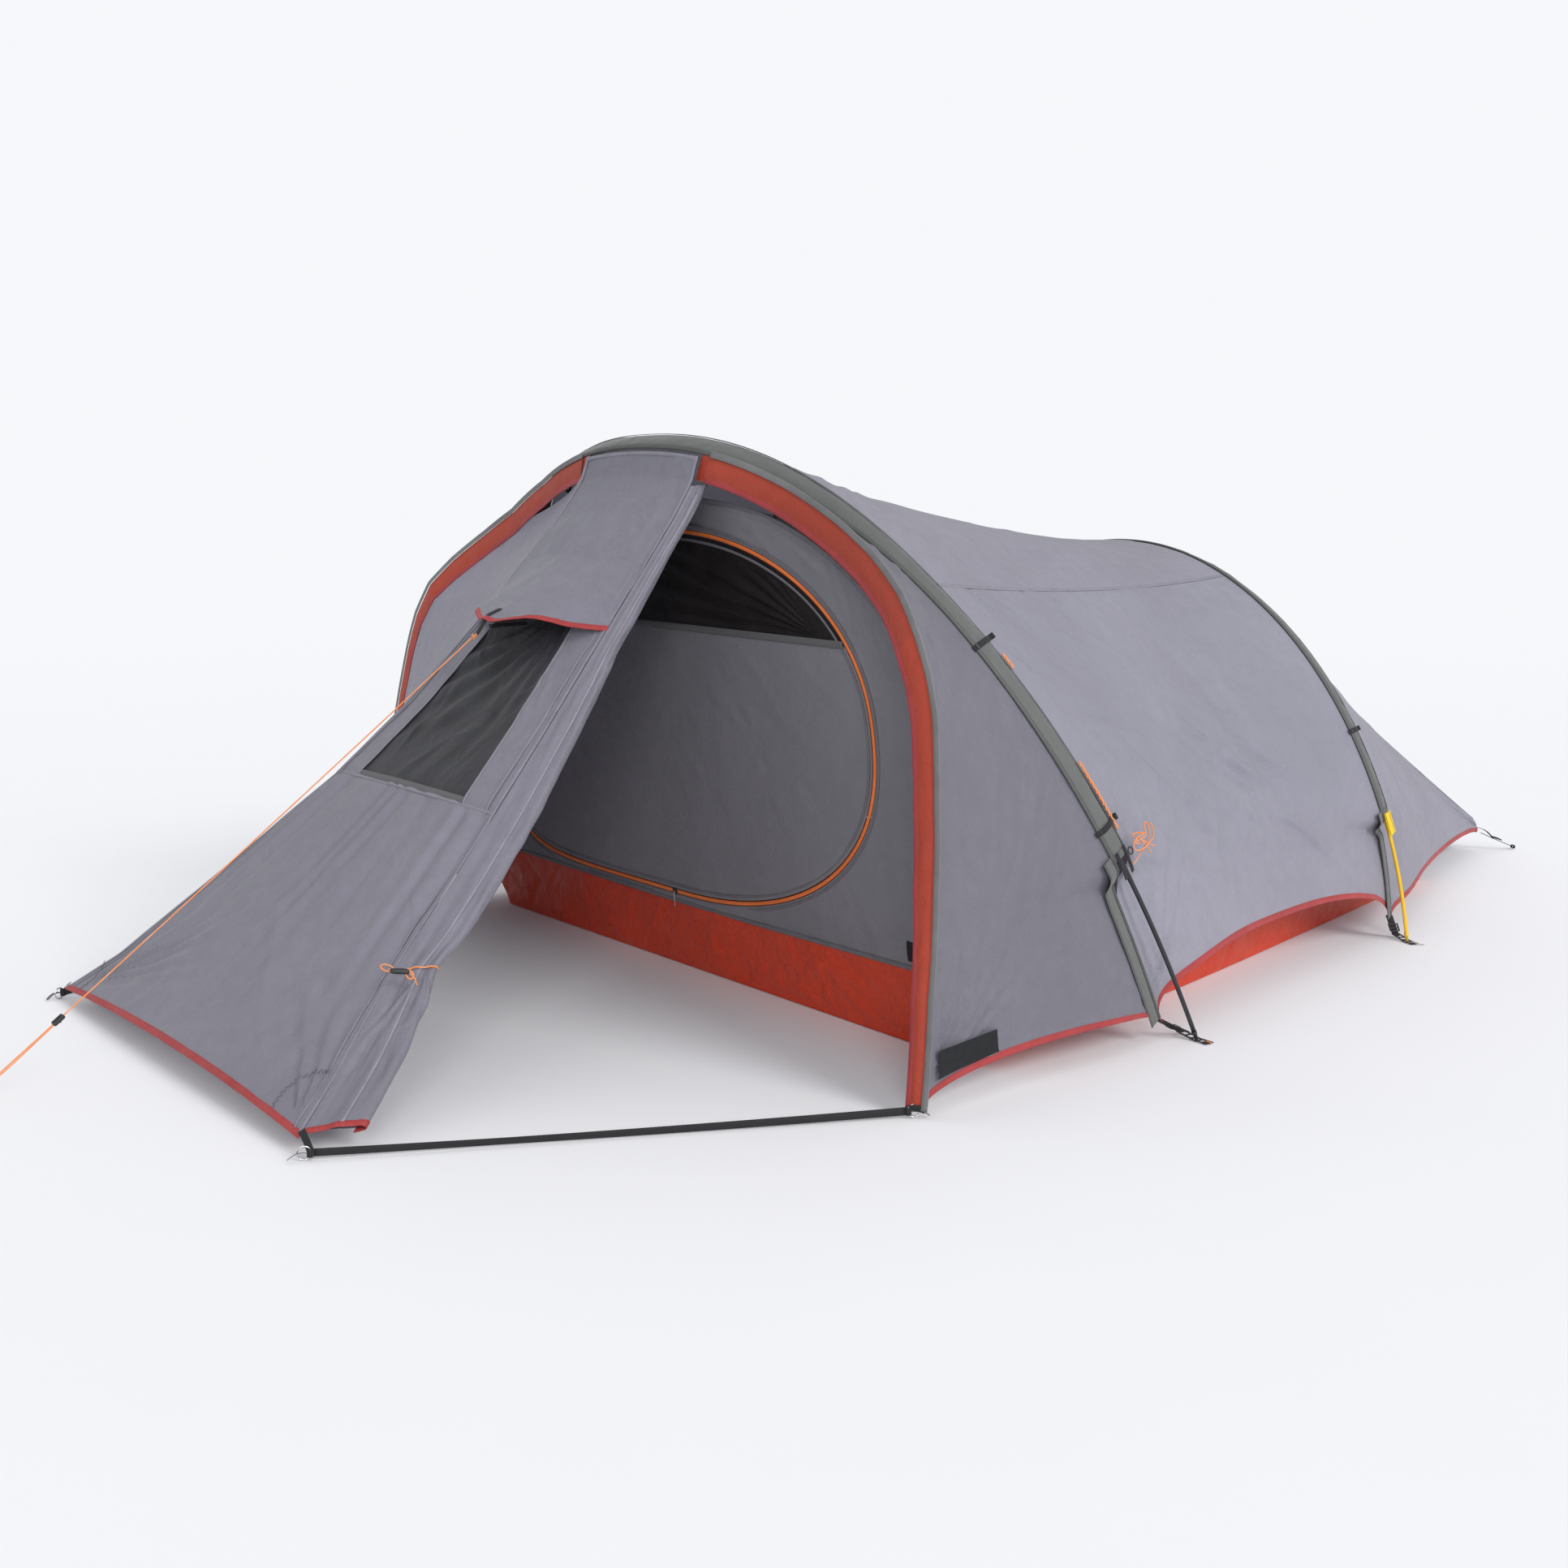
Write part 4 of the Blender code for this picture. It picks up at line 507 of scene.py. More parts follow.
def cloth_material(name, rgb, rough=0.55, sheen=0.12, through=0.18, ripstop=0.0055, crinkle=0.5, vary=0.09, glow=None, spec=0.35, clear=0.0, weave=2600.0):
    """thin woven nylon: colour drift, fine thread, ripstop grid, soft crumple and some light through it"""
    k = Mat(name)
    obj, uv = k.co.outputs["Object"], k.co.outputs["UV"]
    u, v = k.uv()
    drift = k.noise(obj, 1.7, 4.0, 0.55, 0.4)
    fine = k.noise(obj, 26.0, 4.0, 0.6, 0.2)
    col = k.mixcol(k.maprange(drift, 0.3, 0.7, 0.0, 1.0), shade(rgb, 1.0 - vary), shade(rgb, 1.0 + vary))
    col = k.mixcol(k.maprange(fine, 0.35, 0.72, 0.0, 0.30), col, shade(rgb, 0.80))
    # thread: two crossed fine stripe fields, and the ripstop grid every few millimetres
    wu = k.math("SINE", k.math("MULTIPLY", u, weave))
    wv = k.math("SINE", k.math("MULTIPLY", v, weave))
    thread = k.math("MULTIPLY", wu, wv)
    height = k.math("MULTIPLY", thread, 0.25)
    if ripstop:
        gu = k.math("LESS_THAN", k.math("FRACT", k.math("DIVIDE", u, ripstop)), 0.13)
        gv = k.math("LESS_THAN", k.math("FRACT", k.math("DIVIDE", v, ripstop)), 0.13)
        grid = k.math("MAXIMUM", gu, gv)
        col = k.mixcol(k.math("MULTIPLY", grid, 0.10), col, shade(rgb, 1.35))
        height = k.math("ADD", height, grid)
    n1 = k.bump(height, 0.30, 0.00018)
    crumple = k.noise(obj, 13.0, 5.0, 0.62, 1.3)
    crumple2 = k.noise(obj, 46.0, 3.0, 0.55, 0.8)
    hh = k.math("ADD", crumple, k.math("MULTIPLY", crumple2, 0.25))
    n2 = k.bump(hh, crinkle, 0.010, n1)
    k.link(n2, k.bsdf.inputs["Normal"])
    k.link(col, k.bsdf.inputs["Base Color"])
    k.link(k.maprange(fine, 0.3, 0.7, rough - 0.06, rough + 0.08), k.bsdf.inputs["Roughness"])
    socket(k.bsdf, "Sheen Weight", sheen)
    socket(k.bsdf, "Sheen Roughness", 0.45)
    socket(k.bsdf, "Specular IOR Level", spec)
    if clear:
        socket(k.bsdf, "Coat Weight", clear)
        socket(k.bsdf, "Coat Roughness", 0.35)
    if through > 0:
        t = k.node("ShaderNodeBsdfTranslucent")
        k.link(k.mixcol(0.35, col, glow or shade(rgb, 1.5)), t.inputs["Color"])
        k.link(n2, t.inputs["Normal"])
        mx = k.node("ShaderNodeMixShader")
        mx.inputs[0].default_value = through
        k.link(k.bsdf.outputs[0], mx.inputs[1])
        k.link(t.outputs[0], mx.inputs[2])
        k.link(mx.outputs[0], k.out.inputs[0])
    return k.m


def webbing_material(name, rgb, rough=0.75, rib=0.0014, cross=0.0022, worn=0.12, sheen=0.05):
    k = Mat(name)
    u, v = k.uv()
    obj = k.co.outputs["Object"]
    a = k.math("ABSOLUTE", k.math("SUBTRACT", k.math("FRACT", k.math("DIVIDE", u, rib)), 0.5))
    b = k.math("ABSOLUTE", k.math("SUBTRACT", k.math("FRACT", k.math("DIVIDE", v, cross)), 0.5))
    tex = k.math("ADD", a, k.math("MULTIPLY", b, 0.8))
    wear = k.noise(obj, 60.0, 4.0, 0.6)
    col = k.mixcol(k.maprange(tex, 0.1, 0.8, 0.0, 1.0), shade(rgb, 0.7), shade(rgb, 1.5))
    col = k.mixcol(k.maprange(wear, 0.5, 0.8, 0.0, worn), col, shade((rgb[0] + 0.05, rgb[1] + 0.05, rgb[2] + 0.05), 1.0))
    k.link(col, k.bsdf.inputs["Base Color"])
    k.link(k.maprange(wear, 0.3, 0.7, rough - 0.1, rough + 0.1), k.bsdf.inputs["Roughness"])
    socket(k.bsdf, "Sheen Weight", sheen)
    socket(k.bsdf, "Specular IOR Level", 0.3)
    n = k.bump(tex, 0.6, 0.0004)
    k.link(n, k.bsdf.inputs["Normal"])
    return k.m


def tape_material(name, rgb, rough=0.62, pitch=0.0030, edge=0.5):
    """binding tape: fine ribs across, stitch row along the middle of the sewn side"""
    k = Mat(name)
    u, v = k.uv()
    obj = k.co.outputs["Object"]
    rib = k.math("ABSOLUTE", k.math("SUBTRACT", k.math("FRACT", k.math("DIVIDE", u, 0.0011)), 0.5))
    st = k.math("LESS_THAN", k.math("ABSOLUTE", k.math("SUBTRACT", v, 0.0030)), 0.0005)
    dash = k.math("LESS_THAN", k.math("FRACT", k.math("DIVIDE", u, pitch)), 0.62)
    stitch = k.math("MULTIPLY", st, dash)
    n0 = k.noise(obj, 30.0, 4.0, 0.6, 0.3)
    n1 = k.noise(obj, 5.0, 3.0)
    col = k.mixcol(k.maprange(n1, 0.3, 0.7, 0.0, 1.0), shade(rgb, 0.86), shade(rgb, 1.12))
    col = k.mixcol(k.maprange(n0, 0.45, 0.75, 0.0, 0.4), col, shade(rgb, 0.68))
    col = k.mixcol(k.math("MULTIPLY", stitch, 0.75), col, shade(rgb, 0.45))
    k.link(col, k.bsdf.inputs["Base Color"])
    k.link(k.maprange(n0, 0.3, 0.7, rough - 0.08, rough + 0.08), k.bsdf.inputs["Roughness"])
    socket(k.bsdf, "Sheen Weight", 0.04)
    h = k.math("SUBTRACT", k.math("MULTIPLY", rib, 0.35), k.math("MULTIPLY", stitch, 1.0))
    b0 = k.bump(h, 0.6, 0.0004)
    k.link(k.bump(n0, 0.55, 0.004, b0), k.bsdf.inputs["Normal"])
    return k.m


def seam_material(name, rgb, rough=0.6):
    """flat felled seam: two stitch rows in a slightly darker doubled cloth"""
    k = Mat(name)
    u, v = k.uv()
    obj = k.co.outputs["Object"]
    rows = k.math("MINIMUM", k.math("ABSOLUTE", k.math("SUBTRACT", v, 0.0016)), k.math("ABSOLUTE", k.math("SUBTRACT", v, 0.0064)))
    st = k.math("LESS_THAN", rows, 0.0005)
    dash = k.math("LESS_THAN", k.math("FRACT", k.math("DIVIDE", u, 0.0034)), 0.6)
    stitch = k.math("MULTIPLY", st, dash)
    n0 = k.noise(obj, 40.0, 4.0, 0.6, 0.4)
    col = k.mixcol(k.maprange(n0, 0.3, 0.7, 0.0, 1.0), shade(rgb, 0.84), shade(rgb, 1.04))
    col = k.mixcol(k.math("MULTIPLY", stitch, 0.8), col, shade(rgb, 0.42))
    k.link(col, k.bsdf.inputs["Base Color"])
    socket(k.bsdf, "Roughness", rough)
    socket(k.bsdf, "Sheen Weight", 0.03)
    pucker = k.noise(obj, 120.0, 2.0)
    b0 = k.bump(k.math("SUBTRACT", k.math("MULTIPLY", pucker, 0.5), stitch), 0.7, 0.0005)
    k.link(b0, k.bsdf.inputs["Normal"])
    return k.m


def mesh_material(name, rgb, hole=0.20, net=0.0016, sheen=0.25, spec=0.45):
    """fine netting: lets part of the light and sight through"""
    k = Mat(name)
    u, v = k.uv()
    obj = k.co.outputs["Object"]
    n0 = k.noise(obj, 9.0, 4.0, 0.6, 0.6)
    fu = k.math("ABSOLUTE", k.math("SUBTRACT", k.math("FRACT", k.math("DIVIDE", u, net)), 0.5))
    fv = k.math("ABSOLUTE", k.math("SUBTRACT", k.math("FRACT", k.math("DIVIDE", v, net)), 0.5))
    knot = k.math("MAXIMUM", fu, fv)
    col = k.mixcol(k.maprange(n0, 0.3, 0.7, 0.0, 1.0), shade(rgb, 0.7), shade(rgb, 1.35))
    k.link(col, k.bsdf.inputs["Base Color"])
    socket(k.bsdf, "Roughness", 0.5)
    socket(k.bsdf, "Sheen Weight", sheen)
    socket(k.bsdf, "Specular IOR Level", spec)
    b0 = k.bump(knot, 0.4, 0.0003)
    k.link(k.bump(n0, 0.5, 0.010, b0), k.bsdf.inputs["Normal"])
    t = k.node("ShaderNodeBsdfTransparent")
    mx = k.node("ShaderNodeMixShader")
    mx.inputs[0].default_value = hole
    k.link(k.bsdf.outputs[0], mx.inputs[1])
    k.link(t.outputs[0], mx.inputs[2])
    k.link(mx.outputs[0], k.out.inputs[0])
    return k.m


def metal_material(name, rgb, rough=0.3, metallic=1.0, brushed=True):
    k = Mat(name)
    obj = k.co.outputs["Object"]
    n0 = k.noise(obj, 90.0, 4.0, 0.6, 0.0, (1, 1, 0.12) if brushed else None)
    n1 = k.noise(obj, 14.0, 3.0)
    k.link(k.mixcol(k.maprange(n1, 0.3, 0.7, 0.0, 1.0), shade(rgb, 0.88), shade(rgb, 1.08)), k.bsdf.inputs["Base Color"])
    socket(k.bsdf, "Metallic", metallic)
    k.link(k.maprange(n0, 0.3, 0.7, rough - 0.08, rough + 0.12), k.bsdf.inputs["Roughness"])
    k.link(k.bump(n0, 0.15, 0.0002), k.bsdf.inputs["Normal"])
    return k.m


def plastic_material(name, rgb, rough=0.42):
    k = Mat(name)
    obj = k.co.outputs["Object"]
    n0 = k.noise(obj, 420.0, 3.0, 0.6)
    n1 = k.noise(obj, 22.0, 3.0)
    k.link(k.mixcol(k.maprange(n1, 0.3, 0.7, 0.0, 1.0), shade(rgb, 0.8), shade(rgb, 1.5)), k.bsdf.inputs["Base Color"])
    k.link(k.maprange(n1, 0.3, 0.7, rough - 0.05, rough + 0.1), k.bsdf.inputs["Roughness"])
    k.link(k.bump(n0, 0.25, 0.0002), k.bsdf.inputs["Normal"])
    return k.m


def cord_material(name, rgb):
    k = Mat(name)
    u, v = k.uv()
    obj = k.co.outputs["Object"]
    br = k.node("ShaderNodeTexWave", wave_type="BANDS", bands_direction="DIAGONAL")
    socket(br, "Scale", 260.0)
    socket(br, "Distortion", 1.0)
    k.link(obj, br.inputs["Vector"])
    n0 = k.noise(obj, 40.0, 3.0)
    col = k.mixcol(br.outputs["Fac"], shade(rgb, 0.72), shade(rgb, 1.15))
    col = k.mixcol(k.maprange(n0, 0.45, 0.75, 0.0, 0.4), col, (0.62, 0.45, 0.38))
    k.link(col, k.bsdf.inputs["Base Color"])
    socket(k.bsdf, "Roughness", 0.7)
    socket(k.bsdf, "Sheen Weight", 0.3)
    k.link(k.bump(br.outputs["Fac"], 0.6, 0.0005), k.bsdf.inputs["Normal"])
    return k.m


C_FLY = (0.298, 0.292, 0.352)
C_SLEEVE = (0.112, 0.118, 0.114)
C_HEM = (0.350, 0.032, 0.034)
C_GUT = (0.400, 0.052, 0.026)
C_TUB = (0.640, 0.046, 0.010)
C_ZIP = (0.850, 0.190, 0.035)
C_INNER = (0.215, 0.210, 0.235)

M = {
    "fly": cloth_material("fly ripstop", C_FLY, through=0.20),
    # nose: the fly colour darkened to 0.70 as painted shade, for the nose panels that face away from the light
    "nose": cloth_material("fly ripstop nose painted shade", shade(C_FLY, 0.70), through=0.12),
    # roll: the fly colour darkened to 0.62 as painted shade, for the gathered door turned away from the light
    "roll": cloth_material("fly ripstop door painted shade", shade(C_FLY, 0.62), through=0.08),
    "sleeve": cloth_material("sleeve taffeta", C_SLEEVE, through=0.0, ripstop=0.0, crinkle=0.35, sheen=0.2, rough=0.62),
    "inner": cloth_material("inner ripstop", C_INNER, through=0.14, ripstop=0.0045, crinkle=0.35, glow=(0.42, 0.42, 0.45)),
    "canopy": cloth_material("inner canopy cloth", (0.34, 0.34, 0.37), through=0.30, ripstop=0.0045, crinkle=0.5),
    "gutter": cloth_material("arch cloth", C_GUT, sheen=0.03, through=0.08, ripstop=0.0055, crinkle=0.6, glow=(0.75, 0.12, 0.05)),
    "tub": cloth_material("groundsheet cloth", C_TUB, sheen=0.03, through=0.08, ripstop=0.0, crinkle=0.8, rough=0.45, spec=0.5, glow=(0.85, 0.14, 0.04)),
    "hem": tape_material("binding tape", C_HEM),
    "zip": tape_material("zip coil", C_ZIP, pitch=0.0018),
    "zipgrey": tape_material("zip cover", (0.17, 0.17, 0.175), pitch=0.0030),
    "seam": seam_material("felled seam", shade(C_FLY, 0.80)),
    "seam_dark": seam_material("sleeve seam", shade(C_SLEEVE, 0.75)),
    "seam_inner": seam_material("inner seam", shade(C_INNER, 0.72)),
    "mesh": mesh_material("door netting", (0.013, 0.011, 0.011), 0.05, sheen=0.0, spec=0.22),
    "vent": mesh_material("vent netting", (0.023, 0.0235, 0.028), 0.03, sheen=0.05, spec=0.30),
    "web": webbing_material("black webbing", (0.016, 0.016, 0.018)),
    "webgrey": webbing_material("grey webbing", (0.10, 0.10, 0.105)),
    "webyel": webbing_material("yellow webbing", (0.80, 0.50, 0.015), worn=0.1),
    "cord": cord_material("line", (0.88, 0.27, 0.06)),
    "cordgrey": cord_material("grey line", (0.42, 0.40, 0.40)),
    "polegrey": metal_material("grey pole", (0.052, 0.056, 0.060), 0.38, 0.75),
    "polegold": metal_material("gold pole", (0.86, 0.53, 0.03), 0.34, 0.35),
    "steel": metal_material("ring steel", (0.66, 0.66, 0.68), 0.24),
    "plastic": plastic_material("black plastic", (0.018, 0.018, 0.020)),
    "label": webbing_material("plain label", (0.010, 0.011, 0.013), rib=0.0007, cross=0.0007, worn=0.02, sheen=0.0),
    # front: the fly colour darkened to 0.54 as painted shade, for the front panels that face away from the light
    "front": cloth_material("fly ripstop front painted shade", shade(C_FLY, 0.54), through=0.12),
}


# ------------------------------------------------------------------ mesh makers
def mesh_object(name, V, F, mat, uv=None, smooth=True, body="shelter", replaces=()):
    V = np.asarray(V, float).copy()
    V[:, 1] += Y_SHIFT
    me = bpy.data.meshes.new(name)
    me.from_pydata([tuple(map(float, p)) for p in V], [], [tuple(int(i) for i in f) for f in F])
    if uv is not None:
        lay = me.uv_layers.new(name="UVMap")
        vi = np.zeros(len(me.loops), np.int32)
        me.loops.foreach_get("vertex_index", vi)
        lay.data.foreach_set("uv", np.asarray(uv, np.float32)[vi].ravel())
    me.validate()
    me.materials.append(mat)
    if smooth:
        me.polygons.foreach_set("use_smooth", [True] * len(me.polygons))
    me.update()
    ob = bpy.data.objects.new(name, me)
    bpy.context.scene.collection.objects.link(ob)
    if body:
        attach(ob, body)
    if replaces:
        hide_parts(*replaces)
    return ob


def arc_uv(G):
    G = np.asarray(G, float)
    du = np.linalg.norm(np.diff(G, axis=0), axis=2).mean(axis=1)
    U = np.concatenate([[0], np.cumsum(du)])
    dv = np.linalg.norm(np.diff(G, axis=1), axis=2)
    Vv = np.concatenate([np.zeros((G.shape[0], 1)), np.cumsum(dv, axis=1)], axis=1)
    return np.repeat(U[:, None], G.shape[1], axis=1), Vv


def grid_normals(G):
    a = np.gradient(G, axis=0)
    b = np.gradient(G, axis=1)
    n = np.cross(a, b)
    return unit(n)


def area_of(V, F):
    V = np.asarray(V)
    t = 0.0
    F4 = np.array([f for f in F if len(f) == 4])
    F3 = np.array([f for f in F if len(f) == 3])
    for Q in (F4[:, [0, 1, 2]], F4[:, [0, 2, 3]]) if len(F4) else ():
        t += 0.5 * np.linalg.norm(np.cross(V[Q[:, 1]] - V[Q[:, 0]], V[Q[:, 2]] - V[Q[:, 0]]), axis=1).sum()
    if len(F3):
        t += 0.5 * np.linalg.norm(np.cross(V[F3[:, 1]] - V[F3[:, 0]], V[F3[:, 2]] - V[F3[:, 0]]), axis=1).sum()
    return float(t)


CUTS = {}


def declare(ob, w, l, area):
    w, l = float(w), float(l)
    full = w * l
    if area > full:
        s = math.sqrt(area / full) * 1.0005
        w, l = w * s, l * s
    if area < 0.32 * w * l:
        l = area / 0.33 / w
    w, l = round(w, 4), round(l, 4)
    CUTS[ob.name] = (round(w, 3), round(l, 3), round(area, 3))


def cloth(name, G, mat, replaces=(), disp=None, flip=False, mask=None, sheet=True, body="shelter", closed=False, uv=None):
    G = np.asarray(G, float)
    nu, nv = G.shape[:2]
    U, Vv = arc_uv(G) if uv is None else uv
    if disp is not None:
        N = grid_normals(G)
        G = G + N * disp(U, Vv, G)[..., None]
    F = grid_faces(nu, nv, flip, closed, mask)
    P = G.reshape(-1, 3)
    UVs = np.stack([U.ravel(), Vv.ravel()], -1)
    if mask is not None:
        used = sorted({i for f in F for i in f})
        idx = {o: k for k, o in enumerate(used)}
        P, UVs = P[used], UVs[used]
        F = [tuple(idx[i] for i in f) for f in F]
    ob = mesh_object(name, P, F, mat, UVs, body=body, replaces=replaces)
    if sheet:
        a = area_of(P, F)
        w = float(np.linalg.norm(np.diff(G, axis=0), axis=2).sum(axis=0).max())
        l = float(np.linalg.norm(np.diff(G, axis=1), axis=2).sum(axis=1).max())
        declare(ob, w, l, a)
    return ob


def grid_faces(nu, nv, flip=False, closed_u=False, mask=None):
    F = []
    for i in range(nu if closed_u else nu - 1):
        for j in range(nv - 1):
            if mask is not None and not mask[i][j]:
                continue
            a, b = i * nv + j, ((i + 1) % nu) * nv + j
            f = (a, b, b + 1, a + 1)
            F.append(tuple(reversed(f)) if flip else f)
    return F


def mirrored(G):
    G = np.array(G, float)
    G[..., 0] *= -1.0
    return G


def profile_sweep(name, P, across, normal, profile, mat, replaces=(), body="shelter", caps=True, closed=False, smooth=True):
    """closed body: a small closed profile, in (across, normal) coordinates, carried along a path"""
    P = np.asarray(P, float)
    n = len(P)
    A = unit(np.broadcast_to(np.asarray(across, float), P.shape))
    N = unit(np.broadcast_to(np.asarray(normal, float), P.shape))
    m = len(profile)
    L = np.concatenate([[0], np.cumsum(np.linalg.norm(np.diff(P, axis=0), axis=1))])
    V, UVs, F = [], [], []
    per = np.concatenate([[0], np.cumsum([math.hypot(profile[(i + 1) % m][0] - profile[i][0], profile[(i + 1) % m][1] - profile[i][1]) for i in range(m)])])
    for i in range(n):
        for k in range(m):
            V.append(P[i] + A[i] * profile[k][0] + N[i] * profile[k][1])
            UVs.append((L[i], profile[k][0] - min(p[0] for p in profile)))
    for i in range(n if closed else n - 1):
        for k in range(m):
            a, b = i * m + k, i * m + (k + 1) % m
            c, d = ((i + 1) % n) * m + (k + 1) % m, ((i + 1) % n) * m + k
            F.append((a, b, c, d))
    if caps and not closed:
        F.append(tuple(reversed(range(m))))
        F.append(tuple(range((n - 1) * m, n * m)))
    V = np.array(V)
    vol = 0.0
    for f in F[: (n - 1) * m]:
        vol += np.dot(V[f[0]], np.cross(V[f[1]], V[f[2]])) + np.dot(V[f[0]], np.cross(V[f[2]], V[f[3]]))
    if vol < 0:
        F = [tuple(reversed(f)) for f in F]
    return mesh_object(name, V, F, mat, UVs, body=body, replaces=replaces, smooth=smooth)


def tape_profile(w, t, k=3):
    """rounded flat tape, w wide and t thick, lying from 0 to w across"""
    out = []
    for a in np.linspace(-90, 90, k + 1):
        out.append((w - t / 2 + t / 2 * math.cos(math.radians(a)), t / 2 * math.sin(math.radians(a))))
    for a in np.linspace(90, 270, k + 1):
        out.append((t / 2 + t / 2 * math.cos(math.radians(a)), t / 2 * math.sin(math.radians(a))))
    return out


def resample(P, n):
    P = np.asarray(P, float)
    d = np.concatenate([[0], np.cumsum(np.linalg.norm(np.diff(P, axis=0), axis=1))])
    s = np.linspace(0, d[-1], n)
    return np.stack([np.interp(s, d, P[:, k]) for k in range(P.shape[1])], -1)


def round_path(P, n=64, passes=2):
    P = resample(P, n)
    for _ in range(passes):
        P[1:-1] = 0.25 * P[:-2] + 0.5 * P[1:-1] + 0.25 * P[2:]
    return P


def hem_on(name, edge, down, normal, mat="hem", width=0.0135, thick=0.0022, replaces=(), n=140, wob=0.0006):
    """binding tape folded over a cut edge"""
    E = resample(edge, n)
    D = resample(unit(down), n)
    N = resample(unit(normal), n)
    s = np.linspace(0, 1, n) * 55
    E = E + unit(N) * (vnoise(s, 0 * s, 3) * wob)[:, None]
    return profile_sweep(name, E - unit(D) * 0.0030, D, N, tape_profile(width, thick), M[mat], replaces)


def strip(name, path, across, normal, w, t, mat, replaces=(), body="shelter", lift=0.0, n=None):
    P = np.asarray(path, float)
    A = np.broadcast_to(np.asarray(across, float), P.shape)
    N = np.broadcast_to(np.asarray(normal, float), P.shape)
    if n:
        A, N, P = resample(A, n), resample(N, n), resample(P, n)
    A, N = unit(A), unit(N)
    P = P - A * w / 2 + N * lift
    return profile_sweep(name, P, A, N, tape_profile(w, t, 2), M[mat], replaces, body)


def tube(name, P, r, mat, sides=12, replaces=(), body="shelter", uvscale=1.0):
    P = np.asarray(P, float)
    n = len(P)
    T = unit(np.gradient(P, axis=0))
    ref = np.cross(T[0], [0, 0, 1.0])
    if np.linalg.norm(ref) < 0.05:
        ref = np.cross(T[0], [1.0, 0, 0])
    ref = unit(ref)
    R = np.broadcast_to(np.asarray(r, float), (n,))
    V, F, UVs = [], [], []
    L = np.concatenate([[0], np.cumsum(np.linalg.norm(np.diff(P, axis=0), axis=1))])
    for i in range(n):
        ref = unit(ref - T[i] * np.dot(ref, T[i]))
        b = np.cross(T[i], ref)
        for k in range(sides):
            a = 2 * math.pi * k / sides
            V.append(P[i] + (ref * math.cos(a) + b * math.sin(a)) * R[i])
            UVs.append((L[i], a * float(R[i])))
    for i in range(n - 1):
        for k in range(sides):
            a, c = i * sides + k, i * sides + (k + 1) % sides
            F.append((a, c, c + sides, a + sides))
    F.append(tuple(reversed(range(sides))))
    F.append(tuple(range((n - 1) * sides, n * sides)))
    return mesh_object(name, V, F, M[mat], UVs, body=body, replaces=replaces)


def catmull(P, per=10):
    P = np.asarray(P, float)
    Q = np.concatenate([[2 * P[0] - P[1]], P, [2 * P[-1] - P[-2]]])
    out = []
    for i in range(1, len(Q) - 2):
        for k in range(per):
            t = k / per
            a, b, c, d = Q[i - 1], Q[i], Q[i + 1], Q[i + 2]
            out.append(0.5 * ((2 * b) + (-a + c) * t + (2 * a - 5 * b + 4 * c - d) * t * t + (-a + 3 * b - 3 * c + d) * t ** 3))
    out.append(P[-1])
    return np.array(out)


def block(name, centre, axes, size, mat, bevel=0.25, body="shelter", replaces=()):
    """moulded block with rounded edges; axes are three directions"""
    A = [unit(a) for a in axes]
    hx, hy, hz = (s / 2 for s in size)
    b = bevel * min(hx, hy, hz)
    rings = []
    prof = []
    for cx, cy in ((1, 1), (-1, 1), (-1, -1), (1, -1)):
        base = {(1, 1): 0, (-1, 1): 90, (-1, -1): 180, (1, -1): 270}[(cx, cy)]
        for a in (0, 45, 90):
            t = math.radians(base + a)
            prof.append((cx * (hx - b) + b * math.cos(t), cy * (hy - b) + b * math.sin(t)))
    for z, k in ((-hz, b), (-hz + b * 0.3, b * 0.3), (-hz + b, 0), (hz - b, 0), (hz - b * 0.3, b * 0.3), (hz, b)):
        ring = []
        for x, y in prof:
            sx = x - math.copysign(k, x) if abs(x) > k else 0.0
            sy = y - math.copysign(k, y) if abs(y) > k else 0.0
            ring.append(np.asarray(centre) + A[0] * sx + A[1] * sy + A[2] * z)
        rings.append(ring)
    m = len(prof)
    V = [p for r in rings for p in r]
    F = []
    for i in range(len(rings) - 1):
        for k in range(m):
            F.append((i * m + k, i * m + (k + 1) % m, (i + 1) * m + (k + 1) % m, (i + 1) * m + k))
    F.append(tuple(reversed(range(m))))
    F.append(tuple(range((len(rings) - 1) * m, len(rings) * m)))
    V = np.array(V)
    vol = sum(np.dot(V[f[0]], np.cross(V[f[i]], V[f[i + 1]])) for f in F for i in range(1, len(f) - 1))
    if vol < 0:
        F = [tuple(reversed(f)) for f in F]
    return mesh_object(name, V, F, M[mat], None, body=body, replaces=replaces, smooth=False)


# ------------------------------------------------------------------ folds and creases
def creases(U, V, n, seed, lo, hi, ang, spread, length, width, depth, up=0.65):
    """many short, soft tension creases; sizes in metres, angle in radians from the U direction"""
    rng = np.random.RandomState(seed)
    out = np.zeros_like(U)
    for _ in range(n):
        cx, cy = rng.uniform(lo[0], hi[0]), rng.uniform(lo[1], hi[1])
        a = ang + rng.normal() * spread
        L, W = length * rng.uniform(0.5, 1.5), width * rng.uniform(0.6, 1.5)
        d = depth * rng.uniform(0.35, 1.0) * (1.0 if rng.rand() < up else -1.0)
        bend = rng.normal() * 0.25
        dx, dy = U - cx, V - cy
        s = dx * math.cos(a) + dy * math.sin(a)
        c = -dx * math.sin(a) + dy * math.cos(a) + bend * s * s
        out += d * np.exp(-(c / W) ** 2) * np.exp(-np.abs(s / L) ** 2.4)
    return out


